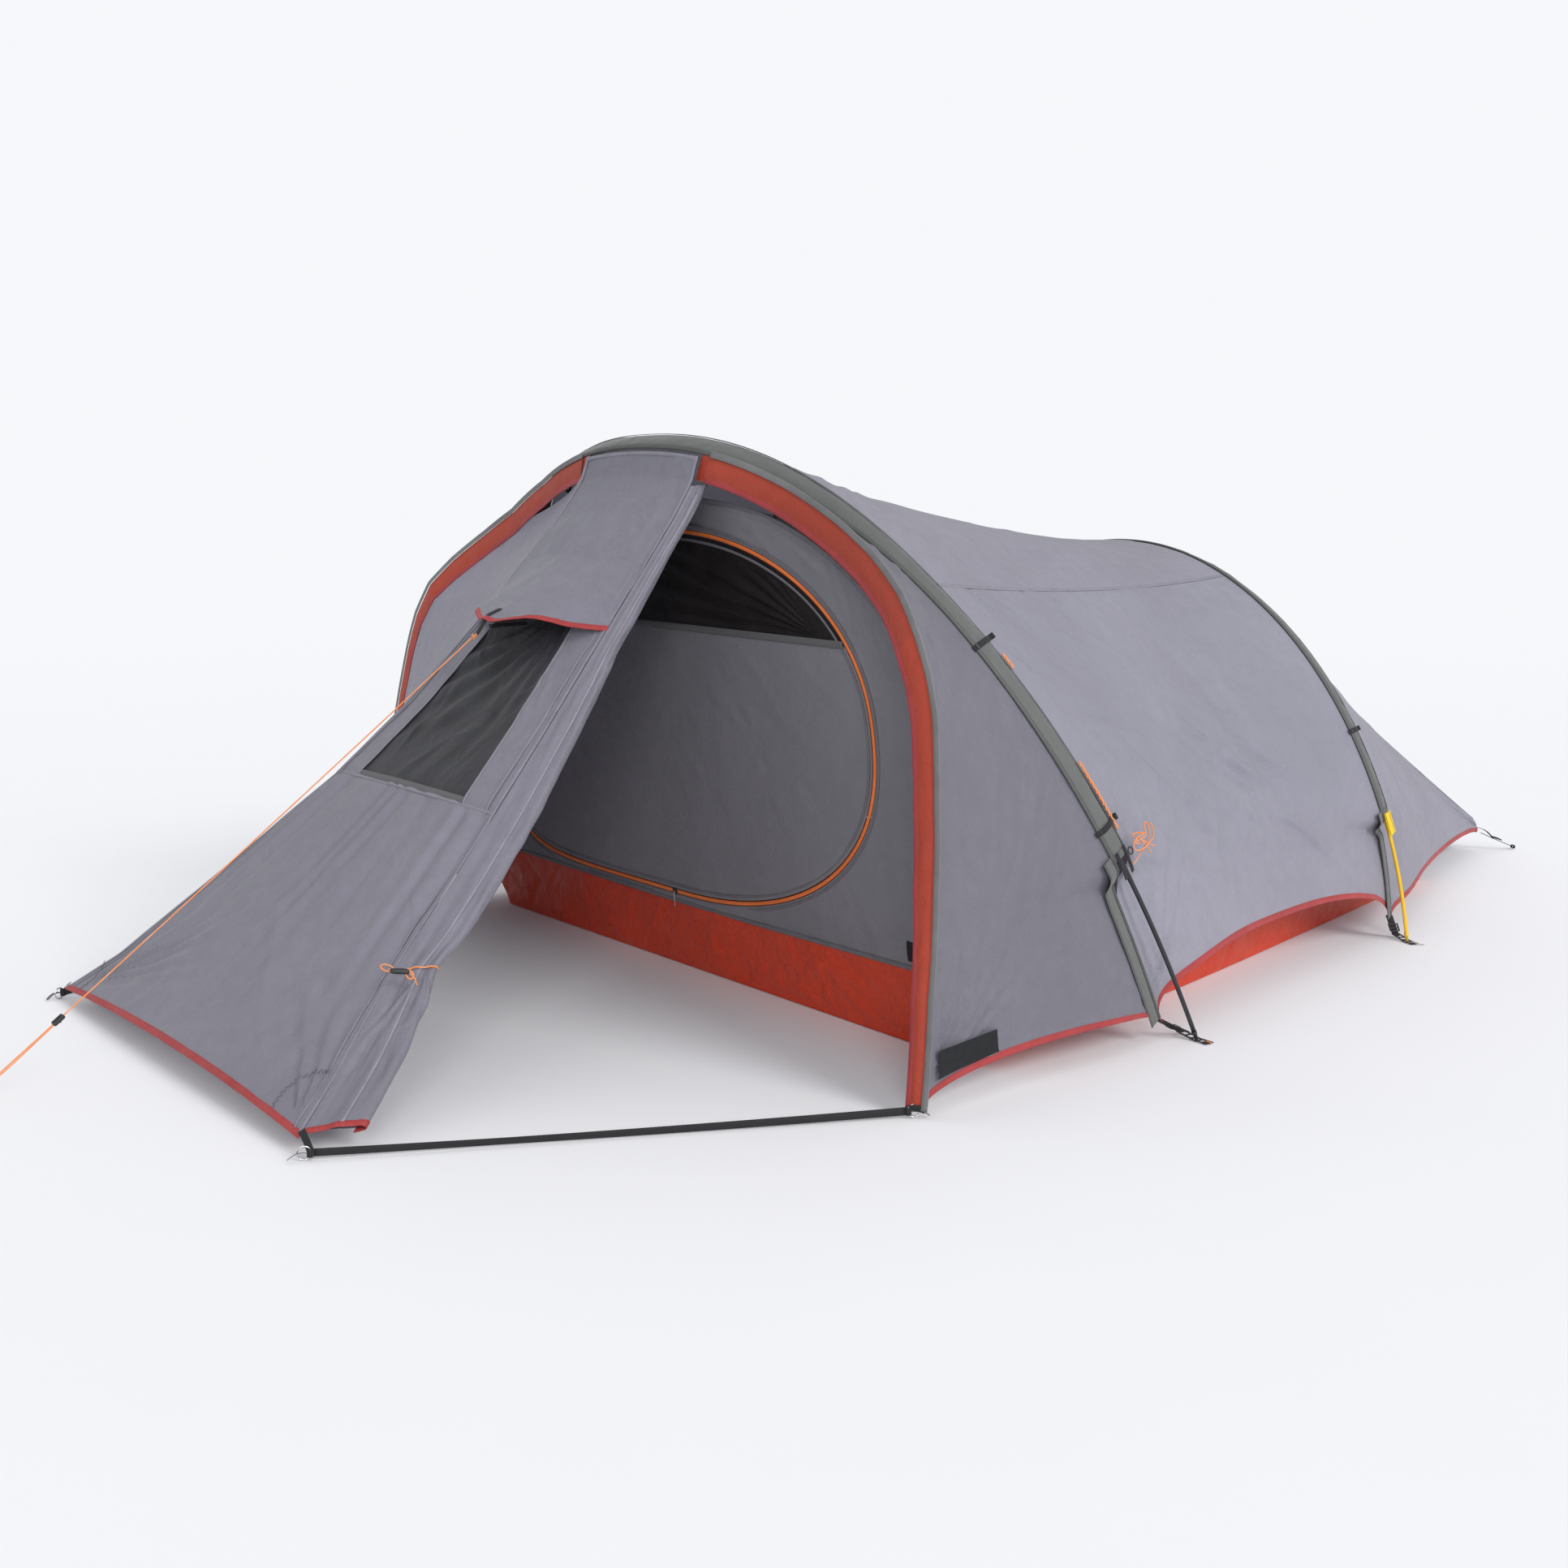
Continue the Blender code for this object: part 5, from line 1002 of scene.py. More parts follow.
def fan(U, V, apex, a0, a1, n, seed, r0, r1, depth, sharp=1.6):
    """folds that spread from a point under tension"""
    dx, dy = U - apex[0], V - apex[1]
    r = np.hypot(dx, dy)
    th = np.arctan2(dy, dx)
    k = (th - a0) / (a1 - a0)
    inside = smooth(np.clip(k * 6, 0, 1)) * smooth(np.clip((1 - k) * 6, 0, 1))
    ph = k * n * 2 * math.pi + 1.8 * vnoise(k * n * 0.9, 0 * k, seed) + 0.5 * vnoise(r * 6, k * 3, seed + 1)
    wave = np.sin(ph)
    wave = np.sign(wave) * np.abs(wave) ** (1.0 / sharp)
    amp = smooth(np.clip(r / max(r0, 1e-4), 0, 1)) * (1.0 - smooth(np.clip((r - r1 * 0.35) / (r1 * 0.65), 0, 1)))
    gain = 0.55 + 0.45 * vnoise(k * n * 0.5 + 3.1, r * 2.0, seed + 2)
    return depth * wave * amp * inside * gain


def window(S, lo, hi, w):
    return smooth(np.clip((S - lo) / w, 0, 1)) * smooth(np.clip((hi - S) / w, 0, 1))


def edge_win(U, V, w=0.012):
    """0 on the sewn edges of a panel, 1 inside it"""
    u0, u1 = U.min(), U.max()
    e = np.minimum(U - u0, u1 - U)
    v1 = V.max(axis=1, keepdims=True)
    f = np.minimum(V, v1 - V)
    return smooth(np.clip(e / w, 0, 1)) * smooth(np.clip(f / w, 0, 1))


def outward(G, ref):
    N = grid_normals(G)
    s = np.sign(np.sum(N * (G - np.asarray(ref)), axis=-1, keepdims=True))
    return N * np.where(s == 0, 1.0, s)


def panel(name, G, mat, slot, disp, ref, replaces=(), rests=("front_pole_near",), held="stretched", body="shelter", mask=None, closed=False, sheet=True):
    G = np.asarray(G, float)
    U, V = arc_uv(G)
    if disp is not None:
        N = outward(G, ref)
        G = G + N * (disp(U, V) * (edge_win(U, V) if not closed else 1.0))[..., None]
    return cloth(name, G, M[mat], replaces, None, False, mask, sheet, body, closed, (U, V))


def both(name, G, *args, replaces=(), ref=(0, 0.4, 0.3), rests=(), **kw):
    for side_, g in (("near", G), ("far", mirrored(G))):
        panel(name + "_" + side_, g, *args, ref, replaces=[r + "_" + side_ for r in replaces], rests=[r + "_" + side_ for r in rests] or ["shelter"], **kw)


HOOPREF = (0.0, 0.45, 0.30)

# ------------------------------------------------------------------ poles
def pole(name, fn, near, mat, node, tipz=0.012):
    ts = np.concatenate([[0.0008], np.linspace(0.02, math.pi / 2, 150)])
    if not near:
        ts = math.pi - ts
    P = fn(ts)
    P[:, 2] = np.maximum(P[:, 2], 0.0)
    T = unit(P[4] - P[0])
    P = P[1:] if P[1][2] > 0.012 else P[2:]
    foot = fn(np.array([0.0 if near else math.pi]))[0]
    start = P[0]
    d = unit(start - foot)
    # the shaft starts above a small moulded tip
    shaft = np.concatenate([[foot + d * 0.016], P])
    rad = np.full(len(shaft), POLE_R)
    # ferrule bands about every 0.44 m
    L = np.concatenate([[0], np.cumsum(np.linalg.norm(np.diff(shaft, axis=0), axis=1))])
    for c in np.arange(0.40, L[-1], 0.42):
        rad = rad + 0.00045 * (np.abs(L - c) < 0.035)
    ob = tube(name, shaft, rad, mat, 18, [node])
    tip = [foot + d * 0.0006, foot + d * 0.0022, foot + d * 0.006, foot + d * 0.012, foot + d * 0.0165, foot + d * 0.022]
    tube(name + "_tip", tip, [0.0022, 0.0034, 0.0036, 0.0038, 0.0052, 0.0052], "plastic" if mat == "polegrey" else mat, 16)
    return ob


pole("pole_front_near", hoop1, True, "polegrey", "front_pole_near")
pole("pole_front_far", hoop1, False, "polegrey", "front_pole_far")
pole("pole_rear_near", hoop2, True, "polegold", "rear_pole_near")
pole("pole_rear_far", hoop2, False, "polegold", "rear_pole_far")


# ------------------------------------------------------------------ pole sleeves
def sleeve_cloth(name, fn, fr, t_end, node, seed):
    rows, sides = 260, 30
    ts = np.linspace(t_end, math.pi - t_end, rows)
    W, N = fr(ts)
    P = fn(ts)
    L = np.concatenate([[0], np.cumsum(np.linalg.norm(np.diff(P, axis=0), axis=1))])
    G = np.zeros((rows, 2 * sides, 3))
    for k in range(sides):
        a = 2 * math.pi * k / sides
        ca, sa = math.cos(a), math.sin(a)
        puck = 0.0012 * vnoise(L * 34, 0 * L + ca * 2.2 + 5, seed) + 0.0006 * vnoise(L * 90, 0 * L + sa * 3, seed + 1)
        hw = SLEEVE_HALF_W + 0.0008 * vnoise(L * 16, 0 * L, seed + 2)
        hh = SLEEVE_HALF_H + puck * (0.35 + 0.65 * abs(sa))
        G[:, k] = P + W * (ca * hw)[:, None] + N * (sa * hh)[:, None]
        G[:, 2 * sides - 1 - k] = P + W * (ca * (hw - 0.0016))[:, None] + N * (sa * (SLEEVE_HALF_H - 0.0022))
    V = G.reshape(-1, 3)
    m = 2 * sides
    F, UV = [], []
    for i in range(rows):
        for k in range(m):
            kk = k if k < sides else m - 1 - k
            UV.append((L[i], kk * 0.0034))
    for i in range(rows - 1):
        for k in range(sides):
            a, b = i * m + k, i * m + (k + 1) % sides
            F.append((a, b, b + m, a + m))
            c, d = i * m + (m - 1 - k), i * m + (m - 1 - (k + 1) % sides)
            F.append((d, c, c + m, d + m))
    for k in range(sides):
        a, b = k, (k + 1) % sides
        c, d = m - 1 - k, m - 1 - (k + 1) % sides
        F.append((b, a, c, d))
        o = (rows - 1) * m
        F.append((o + a, o + b, o + d, o + c))
    ob = mesh_object(name, V, F, M["sleeve"], UV, body="shelter", replaces=[node])
    a = area_of(V, F) / 2
    # turned and stitched edges along both sides of the sheath
    for sgn, nm in ((-1, "fore"), (1, "aft")):
        C = P + W * sgn * (SLEEVE_HALF_W - 0.0030) + N * 0.0062
        D = unit(W * sgn * 0.55 - N * 0.62)
        A = unit(W * sgn + N * -0.55)
        strip(f"{name}_edge_{nm}", C + A * 0.0035, A, unit(np.cross(A, unit(np.gradient(P, axis=0)))), 0.0080, 0.0011, "seam_dark", n=220)
    # turned hem at both ends
    for e, nm in ((0, "near"), (-1, "far")):
        C = P[e]
        T = unit(P[e] - P[e + (1 if e == 0 else -1)])
        ring_ = [C + W[e] * math.cos(a) * (SLEEVE_HALF_W + 0.0008) + N[e] * math.sin(a) * (SLEEVE_HALF_H + 0.0010) for a in np.linspace(0, 2 * math.pi, 40, endpoint=False)]
        nr = [unit(W[e] * math.cos(a) / SLEEVE_HALF_W + N[e] * math.sin(a) / SLEEVE_HALF_H) for a in np.linspace(0, 2 * math.pi, 40, endpoint=False)]
        profile_sweep(f"{name}_cuff_{nm}", np.array(ring_) - T * 0.002, -T, np.array(nr), tape_profile(0.012, 0.0016), M["webgrey"], closed=True)


sleeve_cloth("sleeve_front", hoop1, frame1, T1_END, "front_sleeve", 2)
sleeve_cloth("sleeve_rear", hoop2, frame2, T2_END, "rear_sleeve", 5)


# ------------------------------------------------------------------ fly between the hoops
def plain_edge(fn, fr, t, side_):
    w, n = fr(t)
    return fn(t) + w * EDGE * side_ - n * 0.004 * under(t, 0.30)[..., None]


def cloth_tunnel(t, v):
    """the tunnel cloth, with the step round the bare pole ends fading out away from the poles"""
    t, v = np.broadcast_arrays(np.asarray(t, float), np.asarray(v, float))
    a0, b0 = plain_edge(hoop1, frame1, t, 1.0), plain_edge(hoop2, frame2, t, -1.0)
    a, b = edge1_rear(t), edge2_front(t)
    L = np.linalg.norm(b0 - a0, axis=-1)
    fa = np.exp(-((v * L) / 0.11) ** 1.6)[..., None]
    fb = np.exp(-(((1 - v) * L) / 0.11) ** 1.6)[..., None]
    p0 = a0 + (b0 - a0) * v[..., None]
    p = p0 + (a - a0) * fa + (b - b0) * fb
    out = unit(p - np.stack([0 * t, p[..., 1], np.full_like(t, 0.30)], -1))
    low = np.clip(p[..., 2] / 0.25, 0.35, 1.0)
    return p - out * (TUNNEL_SAG * 4.0 * v * (1.0 - v) * low)[..., None]


def cloth_t_at_z(z, v):
    lo, hi = np.full_like(v, 0.004), np.full_like(v, 1.2)
    for _ in range(34):
        m = 0.5 * (lo + hi)
        zz = cloth_tunnel(m, v)[..., 2]
        lo = np.where(zz < z, m, lo)
        hi = np.where(zz < z, hi, m)
    return 0.5 * (lo + hi)


def roof_fine(nt, nv):
    vs = np.linspace(0, 1, nv)
    G = np.zeros((nt, nv, 3))
    for j, v in enumerate(vs):
        a = lerp(SEAM_T1, SEAM_T2, v) + 0.0004
        t = np.linspace(a, math.pi - a, nt)
        G[:, j] = cloth_tunnel(t, np.full(nt, v))
    return G


def roof_disp(U, V):
    L = U.max()
    d = creases(U, V, 34, 21, (0.0, 0.02), (0.32, 0.30), 1.15, 0.22, 0.10, 0.010, 0.0022)
    d += creases(U, V, 34, 22, (L - 0.32, 0.02), (L, 0.30), -1.15, 0.22, 0.10, 0.010, 0.0022)
    d += creases(U, V, 26, 23, (0.05, 0.62), (L - 0.05, 0.94), 1.57, 0.30, 0.11, 0.012, 0.0020)
    d += creases(U, V, 10, 24, (0.2, 0.1), (L - 0.2, 0.9), 1.57, 0.15, 0.30, 0.030, 0.0035)
    d += 0.0018 * fbm(U * 5.0, V * 4.0, 8) + 0.0007 * vnoise(U * 30, V * 9, 4)
    return d * 1.6


panel("fly_roof_cloth", roof_fine(170, 110), "fly", "fly_cloth", roof_disp, HOOPREF, ["fly_roof"], ["pole_front_near", "pole_rear_near"])


def side_fine(nu, nv):
    vs = np.linspace(0.0, 1.0, nv)
    t0 = cloth_t_at_z(hem_tunnel_z(vs) + HEM_W * 0.4, vs)
    G = np.zeros((nu, nv, 3))
    for j, v in enumerate(vs):
        hi = lerp(SEAM_T1, SEAM_T2, v) - 0.0004
        # the same hoop parameters as the sewn shape, evenly spaced
        base = np.linspace(0, 1, nu)
        t = t0[j] + (hi - t0[j]) * base
        G[:, j] = cloth_tunnel(t, np.full(nu, v))
    return G


def side_disp(U, V):
    d = creases(U, V, 46, 31, (0.62, 0.05), (0.86, 0.55), 2.45, 0.16, 0.060, 0.0075, 0.0026)
    d += creases(U, V, 34, 32, (0.16, 0.30), (0.52, 0.86), 2.30, 0.20, 0.110, 0.0105, 0.0040)
    d += fan(U, V, (0.015, 0.985), 1.85, 3.05 + 0.0, 9, 33, 0.10, 0.80, 0.0042)
    d += fan(U, V, (0.0, 0.01), 0.05, 1.20, 7, 35, 0.06, 0.50, 0.0038)
    d += fan(U, V, (0.30, 0.0), 0.10, 2.4, 9, 36, 0.05, 0.30, 0.0022)
    d += -0.010 * np.exp(-((V - 0.80) / 0.075) ** 2) * window(U, 0.10, 0.85, 0.20)
    d += creases(U, V, 8, 37, (0.2, 0.72), (0.7, 0.9), 0.05, 0.10, 0.16, 0.018, 0.0030)
    d += 0.0022 * fbm(U * 4.0, V * 4.0, 9) + 0.0006 * vnoise(U * 26, V * 26, 5)
    return d * 1.8


both("fly_side_cloth", side_fine(150, 150), "fly", "fly_cloth", side_disp, replaces=["fly_side"], rests=["pole_front"])

# felled seam between roof and sides
VS3 = np.linspace(0.004, 0.996, 120)
sa = lerp(SEAM_T1, SEAM_T2, VS3)
SP = cloth_tunnel(sa, VS3)
SA = unit(cloth_tunnel(sa + 0.012, VS3) - cloth_tunnel(sa - 0.012, VS3))
SN = unit(np.cross(SA, unit(np.gradient(SP, axis=0))))
SN = SN * np.sign(np.sum(SN * (SP - np.array(HOOPREF)), axis=-1, keepdims=True))
for sgn, nm in ((1, "near"), (-1, "far")):
    m_ = np.array([sgn, 1, 1])
    strip("seam_roof_" + nm, SP * m_, SA * m_, SN * m_, 0.0085, 0.0009, "seam", lift=0.0006)

# hems of the tunnel
hv = np.concatenate([np.linspace(0.004, 0.06, 26), np.linspace(0.065, 0.935, 110), np.linspace(0.94, 0.996, 26)])
ht = cloth_t_at_z(hem_tunnel_z(hv) + HEM_W * 0.4, hv)
HE = cloth_tunnel(ht, hv)
HD = unit(cloth_tunnel(ht - 0.004, hv) - cloth_tunnel(ht + 0.004, hv))
HN = unit(np.cross(HD, unit(np.gradient(HE, axis=0))))
HN = HN * np.sign(HN[:, :1])
for sgn, nm in ((1, "near"), (-1, "far")):
    m_ = np.array([sgn, 1, 1])
    hem_on("hem_side_tape_" + nm, HE * m_, HD * m_, HN * m_, replaces=["hem_side_" + nm], n=220)


# dark reinforcing strip inside each bare pole end, from the sleeve end down to the hem corner
def foot_strip(name, fn_edge, fr, t_end, zfun, width, seed, sgn, side_=1):
    ts = np.linspace(0.02, t_end + 0.012, 60)
    w, n = fr(ts)
    E = fn_edge(ts)
    keep = E[:, 2] > zfun
    E, w, n = E[keep], w[keep], n[keep]
    G = np.stack([E + w * sgn * width * q + n * (0.0022 + 0.0016 * math.sin(math.pi * q)) for q in np.linspace(-0.12, 0.88, 9)], 1)
    if side_ < 0:
        G = mirrored(G)
    ob = cloth(name, G, M["sleeve"], (), None)
    for q, s_ in ((-0.10, "a"), (0.86, "b")):
        C = E + w * sgn * width * q + n * 0.0036
        A = w * sgn
        if side_ < 0:
            C, A, n2 = mirrored(C), mirrored(A), mirrored(n)
        else:
            n2 = n
        strip(name + "_stitch_" + s_, C, A, n2, 0.0060, 0.0008, "seam_dark")


for s_, nm in ((1, "near"), (-1, "far")):
    foot_strip("foot_strip_front_" + nm, edge1_front, frame1, T1_END, 0.040, 0.030, 1, -1.0, s_)
    foot_strip("foot_strip_rear_" + nm, edge2_front, frame2, T2_END, 0.052, 0.030, 1, -1.0, s_)


# ------------------------------------------------------------------ fly between the front hoop and the door arch
def front_t(f):
    return float(hoop_t_for_z(0.028 + f * (1.035 - 0.028) / 1.02, H1_H, H1_N))


def front_fine(nf, nu):
    fz = np.linspace(0.0, 1.0, nf) * 1.02
    s = np.linspace(0, 1, nu)
    hem_z = 0.040 + 0.048 * np.sqrt(np.clip(1 - np.abs(2 * s - 1) ** 2.2, 0, 1)) - 0.012 * (1 - s)
    G = np.zeros((nf, nu, 3))
    for i, f in enumerate(fz):
        L = gutter_outer(front_t(f))
        for j in range(nu):
            z = hem_z[j] + f * (1.035 - hem_z[j]) / 1.02
            tz_ = hoop_t_for_z(min(z, 1.1), H1_H, H1_N)
            R = edge1_front(tz_)
            R0 = plain_edge(hoop1, frame1, tz_, -1.0)
            d = L - R0
            length = np.linalg.norm(d)
            p = R0 + d * (1 - s[j]) + (R - R0) * math.exp(-(((1 - s[j]) * length) / 0.10) ** 1.6)
            if f < 0.05:
                p = p + np.array([0, 0, (z - p[2]) * (1 - f / 0.05)])
            sag = 0.020 * 4 * s[j] * (1 - s[j]) * min(1.0, length / 0.3)
            G[i, j] = p - np.array([1.0, 0.0, 0.25]) * sag
    return G


FRONT = front_fine(150, 90)


def front_disp(U, V):
    w = V.max(axis=1, keepdims=True)
    d = fan(U, V, (0.26, 0.62), 2.1, 4.2, 10, 41, 0.05, 0.42, 0.0030)
    d += creases(U, V, 16, 42, (0.05, 0.04), (0.34, 0.22), 0.10, 0.12, 0.120, 0.014, 0.0042)
    d += creases(U, V, 30, 43, (0.55, 0.0), (1.05, 0.16), 0.55, 0.25, 0.050, 0.007, 0.0020)
    d += creases(U, V, 22, 44, (0.25, 0.10), (0.75, 0.40), 0.20, 0.20, 0.080, 0.009, 0.0020)
    d += fan(U, V, (0.0, 0.02), 0.05, 1.25, 7, 45, 0.06, 0.36, 0.0028)
    d += 0.0020 * fbm(U * 4.5, V * 4.5, 12) + 0.0005 * vnoise(U * 26, V * 26, 6)
    return 1.6 * d * smooth(np.clip(w / 0.10, 0, 1))


# the front panels wear the darkened fly colour: painted shade
both("fly_front_cloth", FRONT, "front", "fly_cloth", front_disp, replaces=["fly_front"], ref=(0.0, 0.0, 0.3), rests=["pole_front"])
FE = FRONT[0]
FD = unit(FRONT[0] - FRONT[2])
FN = unit(np.cross(FD, np.gradient(FE, axis=0)))
FN = FN * np.sign(FN[:, :1])
for sgn, nm in ((1, "near"), (-1, "far")):
    m_ = np.array([sgn, 1, 1])
    hem_on("hem_front_tape_" + nm, FE * m_, FD * m_, FN * m_, replaces=["hem_front_" + nm], n=120)

# blank woven patch at the foot of the near front panel
pi_, pj_ = 12, 16
UF, VF = arc_uv(FRONT)
pg = []
c0, a0_, b0_ = FRONT[9, 16], unit(FRONT[9, 46] - FRONT[9, 10]), None
for jj in np.linspace(4.0, 26.0, 25):
    row = []
    for ii in np.linspace(3.6, 12.6, 9):
        j0, i0 = int(jj), int(ii)
        p = lerp(lerp(FRONT[i0, j0], FRONT[i0 + 1, j0], ii - i0), lerp(FRONT[i0, j0 + 1], FRONT[i0 + 1, j0 + 1], ii - i0), jj - j0)
        row.append(p)
    pg.append(row)
pg = np.array(pg)
PN = outward(pg, (0.0, 0.0, 0.3))
cloth("blank_patch_near", pg + PN * 0.0055, M["label"], (), None)

# ------------------------------------------------------------------ door arches: wide band, dark trim inside, zip cover outside
GT = np.linspace(GUT_T0, GUT_T1, 260)
GO, GI = gutter_outer(GT), gutter_inner(GT)
GTAN = unit(np.gradient(GO, axis=0))
GAC = unit(GI - GO)
GNR = unit(np.cross(GTAN, GAC))
GNR = GNR * np.sign(-GNR[:, 1:2])
GL = np.concatenate([[0], np.cumsum(np.linalg.norm(np.diff(GO, axis=0), axis=1))])
bandg = np.stack([GO + (GI - GO) * q + GNR * (0.0045 * math.sin(math.pi * q) + 0.0007 * (vnoise(GL * 22, 0 * GL + q * 3, 7)) * math.sin(math.pi * q))[:, None] for q in np.linspace(0.0, 1.0, 13)], 1)
for sgn, nm in ((1, "near"), (-1, "far")):
    m_ = np.array([sgn, 1, 1])
    cloth("arch_band_" + nm, bandg * m_, M["gutter"], ["gutter_" + nm], None)
    # the band runs on a little under the edge of the nose
    e_, f_ = (0, 5) if GO[0, 2] > GO[-1, 2] else (-1, -6)
    on_ = unit(GO[e_] - GO[f_])
    rootg = np.array([[lerp(GO[e_], GI[e_], q) + on_ * d_ - GNR[e_] * (0.0012 + 0.05 * d_) for q in np.linspace(0.0, 1.0, 9)] for d_ in np.linspace(-0.006, 0.030, 9)])
    cloth("arch_root_" + nm, rootg * m_, M["gutter"], (), None)
    wob = 0.0006 * vnoise(GL * 40, 0 * GL, 9)
    strip("arch_trim_" + nm, (GI - GAC * 0.0045 + GNR * (0.0014 + wob)[:, None]) * m_, GAC * m_, GNR * m_, 0.0135, 0.0024, "hem", n=240)
    strip("arch_zip_cover_" + nm, (GO - GAC * 0.0042 + GNR * 0.0030) * m_, GAC * m_, GNR * m_, 0.0130, 0.0018, "zipgrey", n=240)
    strip("arch_fold_" + nm, (GO + GAC * 0.0060 + GNR * 0.0016) * m_, GAC * m_, GNR * m_, 0.0040, 0.0012, "gutter", n=240)

# ------------------------------------------------------------------ nose, upper part running on into the hood over the vent
K0 = float(k_for_z(1.1215))
KF = float(k_for_z(0.905))
NA = 96
AF = np.linspace(-1, 1, NA)
top_k = np.linspace(K0, KF, 46)
qq = np.linspace(0, 1, 30)[1:]
NU = np.zeros((NA, len(top_k) + len(qq), 3))
for j, k_ in enumerate(top_k):
    NU[:, j] = nose(AF, np.full(NA, k_))
for j, q_ in enumerate(qq):
    NU[:, len(top_k) + j] = hood(AF, np.full(NA, q_))
    # little notch at the middle where the line is sewn on
    NU[:, len(top_k) + j, 2] += 0.006 * q_ ** 8 * np.exp(-(AF / 0.06) ** 2)


def upper_disp(U, V):
    w = U.max()
    L = V.max()
    d = fan(U, V, (w * 0.5, L + 0.01), -2.95, -0.19, 15, 51, 0.06, 0.34, 0.0026)
    d += creases(U, V, 26, 52, (0.03, 0.02), (w - 0.03, L - 0.1), 1.57, 0.30, 0.070, 0.009, 0.0020)
    d += 0.0020 * fbm(U * 6, V * 5, 13) + 0.0005 * vnoise(U * 30, V * 30, 7)
    return 1.5 * d * (1.0 - 0.6 * smooth(np.clip((V - L + 0.02) / 0.02, 0, 1)))


UU, VU = arc_uv(NU)
NN = outward(NU, (0.0, 0.2, 0.2))
win_ = smooth(np.clip(np.minimum(UU, UU.max() - UU) / 0.012, 0, 1)) * smooth(np.clip(VU / 0.012, 0, 1))
ud_ = upper_disp(UU, VU)
for _ in range(10):
    ud_[1:-1] = 0.25 * ud_[:-2] + 0.5 * ud_[1:-1] + 0.25 * ud_[2:]
    ud_[:, 1:-1] = 0.25 * ud_[:, :-2] + 0.5 * ud_[:, 1:-1] + 0.25 * ud_[:, 2:]
NUD = NU + NN * (ud_ * win_)[..., None]
# the nose cloth wears the darkened fly colour: painted shade
hoodob = cloth("nose_top_and_hood", NUD, M["nose"], ["nose_upper", "vent_hood"], None, body=None)
# trim along the hood edge, rides with the vent
HT = NUD[:, -1]
HTd = unit(NUD[:, -1] - NUD[:, -3])
HTn = unit(np.cross(np.gradient(HT, axis=0), HTd))
HTn = HTn * np.sign(-HTn[:, 1:2])
trim = hem_on("hood_trim", HT, HTd, HTn, n=120, width=0.0125)
trim.parent = None
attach(trim, "vent")
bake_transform(hoodob)

# ------------------------------------------------------------------ nose, lower part with the vent window
KW0, KW1 = float(k_for_z(0.897)), float(k_for_z(0.466))
KH = float(k_for_z(0.0345))


def bwin(k_):
    ka, kb = float(k_for_z(0.776)), float(k_for_z(0.466))
    return 0.60 + 0.08 * np.clip((k_ - ka) / (kb - ka), 0, 1)


ks = np.concatenate([[float(k_for_z(0.904))], np.linspace(KW0, KW1, 70), np.linspace(KW1, KH, 76)[1:]])
na_out, na_in = 22, 60
NL = np.zeros((2 * na_out + na_in - 1, len(ks), 3))
for j, k_ in enumerate(ks):
    b = float(bwin(k_))
    aa = np.concatenate([np.linspace(-1, -b, na_out), np.linspace(-b, b, na_in)[1:], np.linspace(b, 1, na_out)[1:]])
    aa = aa[: NL.shape[0]]
    NL[: len(aa), j] = nose(aa, np.full(len(aa), k_))
NL = NL[: len(aa)]
i0_, i1_ = na_out - 1, na_out - 1 + na_in - 1
UL, VL = arc_uv(NL)
ACROSS = np.linalg.norm(NL - NL[:1], axis=2)
ALONG = np.broadcast_to(np.concatenate([[0], np.cumsum(np.linalg.norm(np.diff(NL[len(aa) // 2], axis=0), axis=1))]), UL.shape)
kcross = ALONG[0, 70]


def lower_disp():
    a_ = (UL / UL.max() - 0.5) * 2.0
    dn = ALONG - kcross
    amp = smooth(np.clip(dn / 0.02, 0, 1)) * (1.0 - smooth(np.clip((dn - 0.12) / 0.62, 0, 1)))
    ph = 25.0 * (a_ + 0.10 * np.sin(a_ * 7)) + 2.0 * vnoise(a_ * 4, dn * 1.6, 61)
    g = 0.55 + 0.45 * vnoise(a_ * 6 + 4, dn * 1.2, 62)
    d = 0.0062 * amp * np.sin(ph) * g * (1.0 - 0.55 * np.clip(-a_, 0, 1))
    d += fan(ACROSS, ALONG, (ACROSS[-1].max() * 0.98, ALONG.max()), -2.9, -1.65, 7, 63, 0.10, 0.55, 0.0030)
    d += fan(ACROSS, ALONG, (0.02, ALONG.max()), -1.45, -0.25, 6, 64, 0.08, 0.45, 0.0028)
    d += creases(ACROSS, ALONG, 34, 65, (0.02, 0.02), (0.50, 0.52), 1.57, 0.35, 0.055, 0.0065, 0.0022) * (dn < 0.02)
    d += creases(ACROSS, ALONG, 18, 66, (0.3, 0.7), (1.1, 1.35), 1.15, 0.3, 0.13, 0.012, 0.0030)
    d += 0.0022 * fbm(ACROSS * 4.5, ALONG * 4.0, 14) + 0.0005 * vnoise(ACROSS * 26, ALONG * 26, 8)
    return d * 1.6


ew = edge_win(UL, VL, 0.014)
seamdip = 1.0 - 0.85 * np.exp(-((ALONG - kcross) / 0.007) ** 2)
NO = outward(NL, (0.0, 0.2, 0.1))
tp_ = smooth(np.clip((ALONG - 0.015) / 0.11, 0, 1))
NLD = NL + NO * (lower_disp() * ew * seamdip * tp_ - 0.0022 * (1 - smooth(np.clip((ALONG - 0.02) / 0.06, 0, 1))))[..., None]
lmask = [[not (i0_ <= i < i1_ and 1 <= j < 70) for j in range(len(ks) - 1)] for i in range(len(aa) - 1)]
# the lower nose wears the darkened fly colour: painted shade
cloth("nose_lower_cloth", NLD, M["nose"], ["nose_lower"], None, mask=lmask, uv=(ACROSS, ALONG))

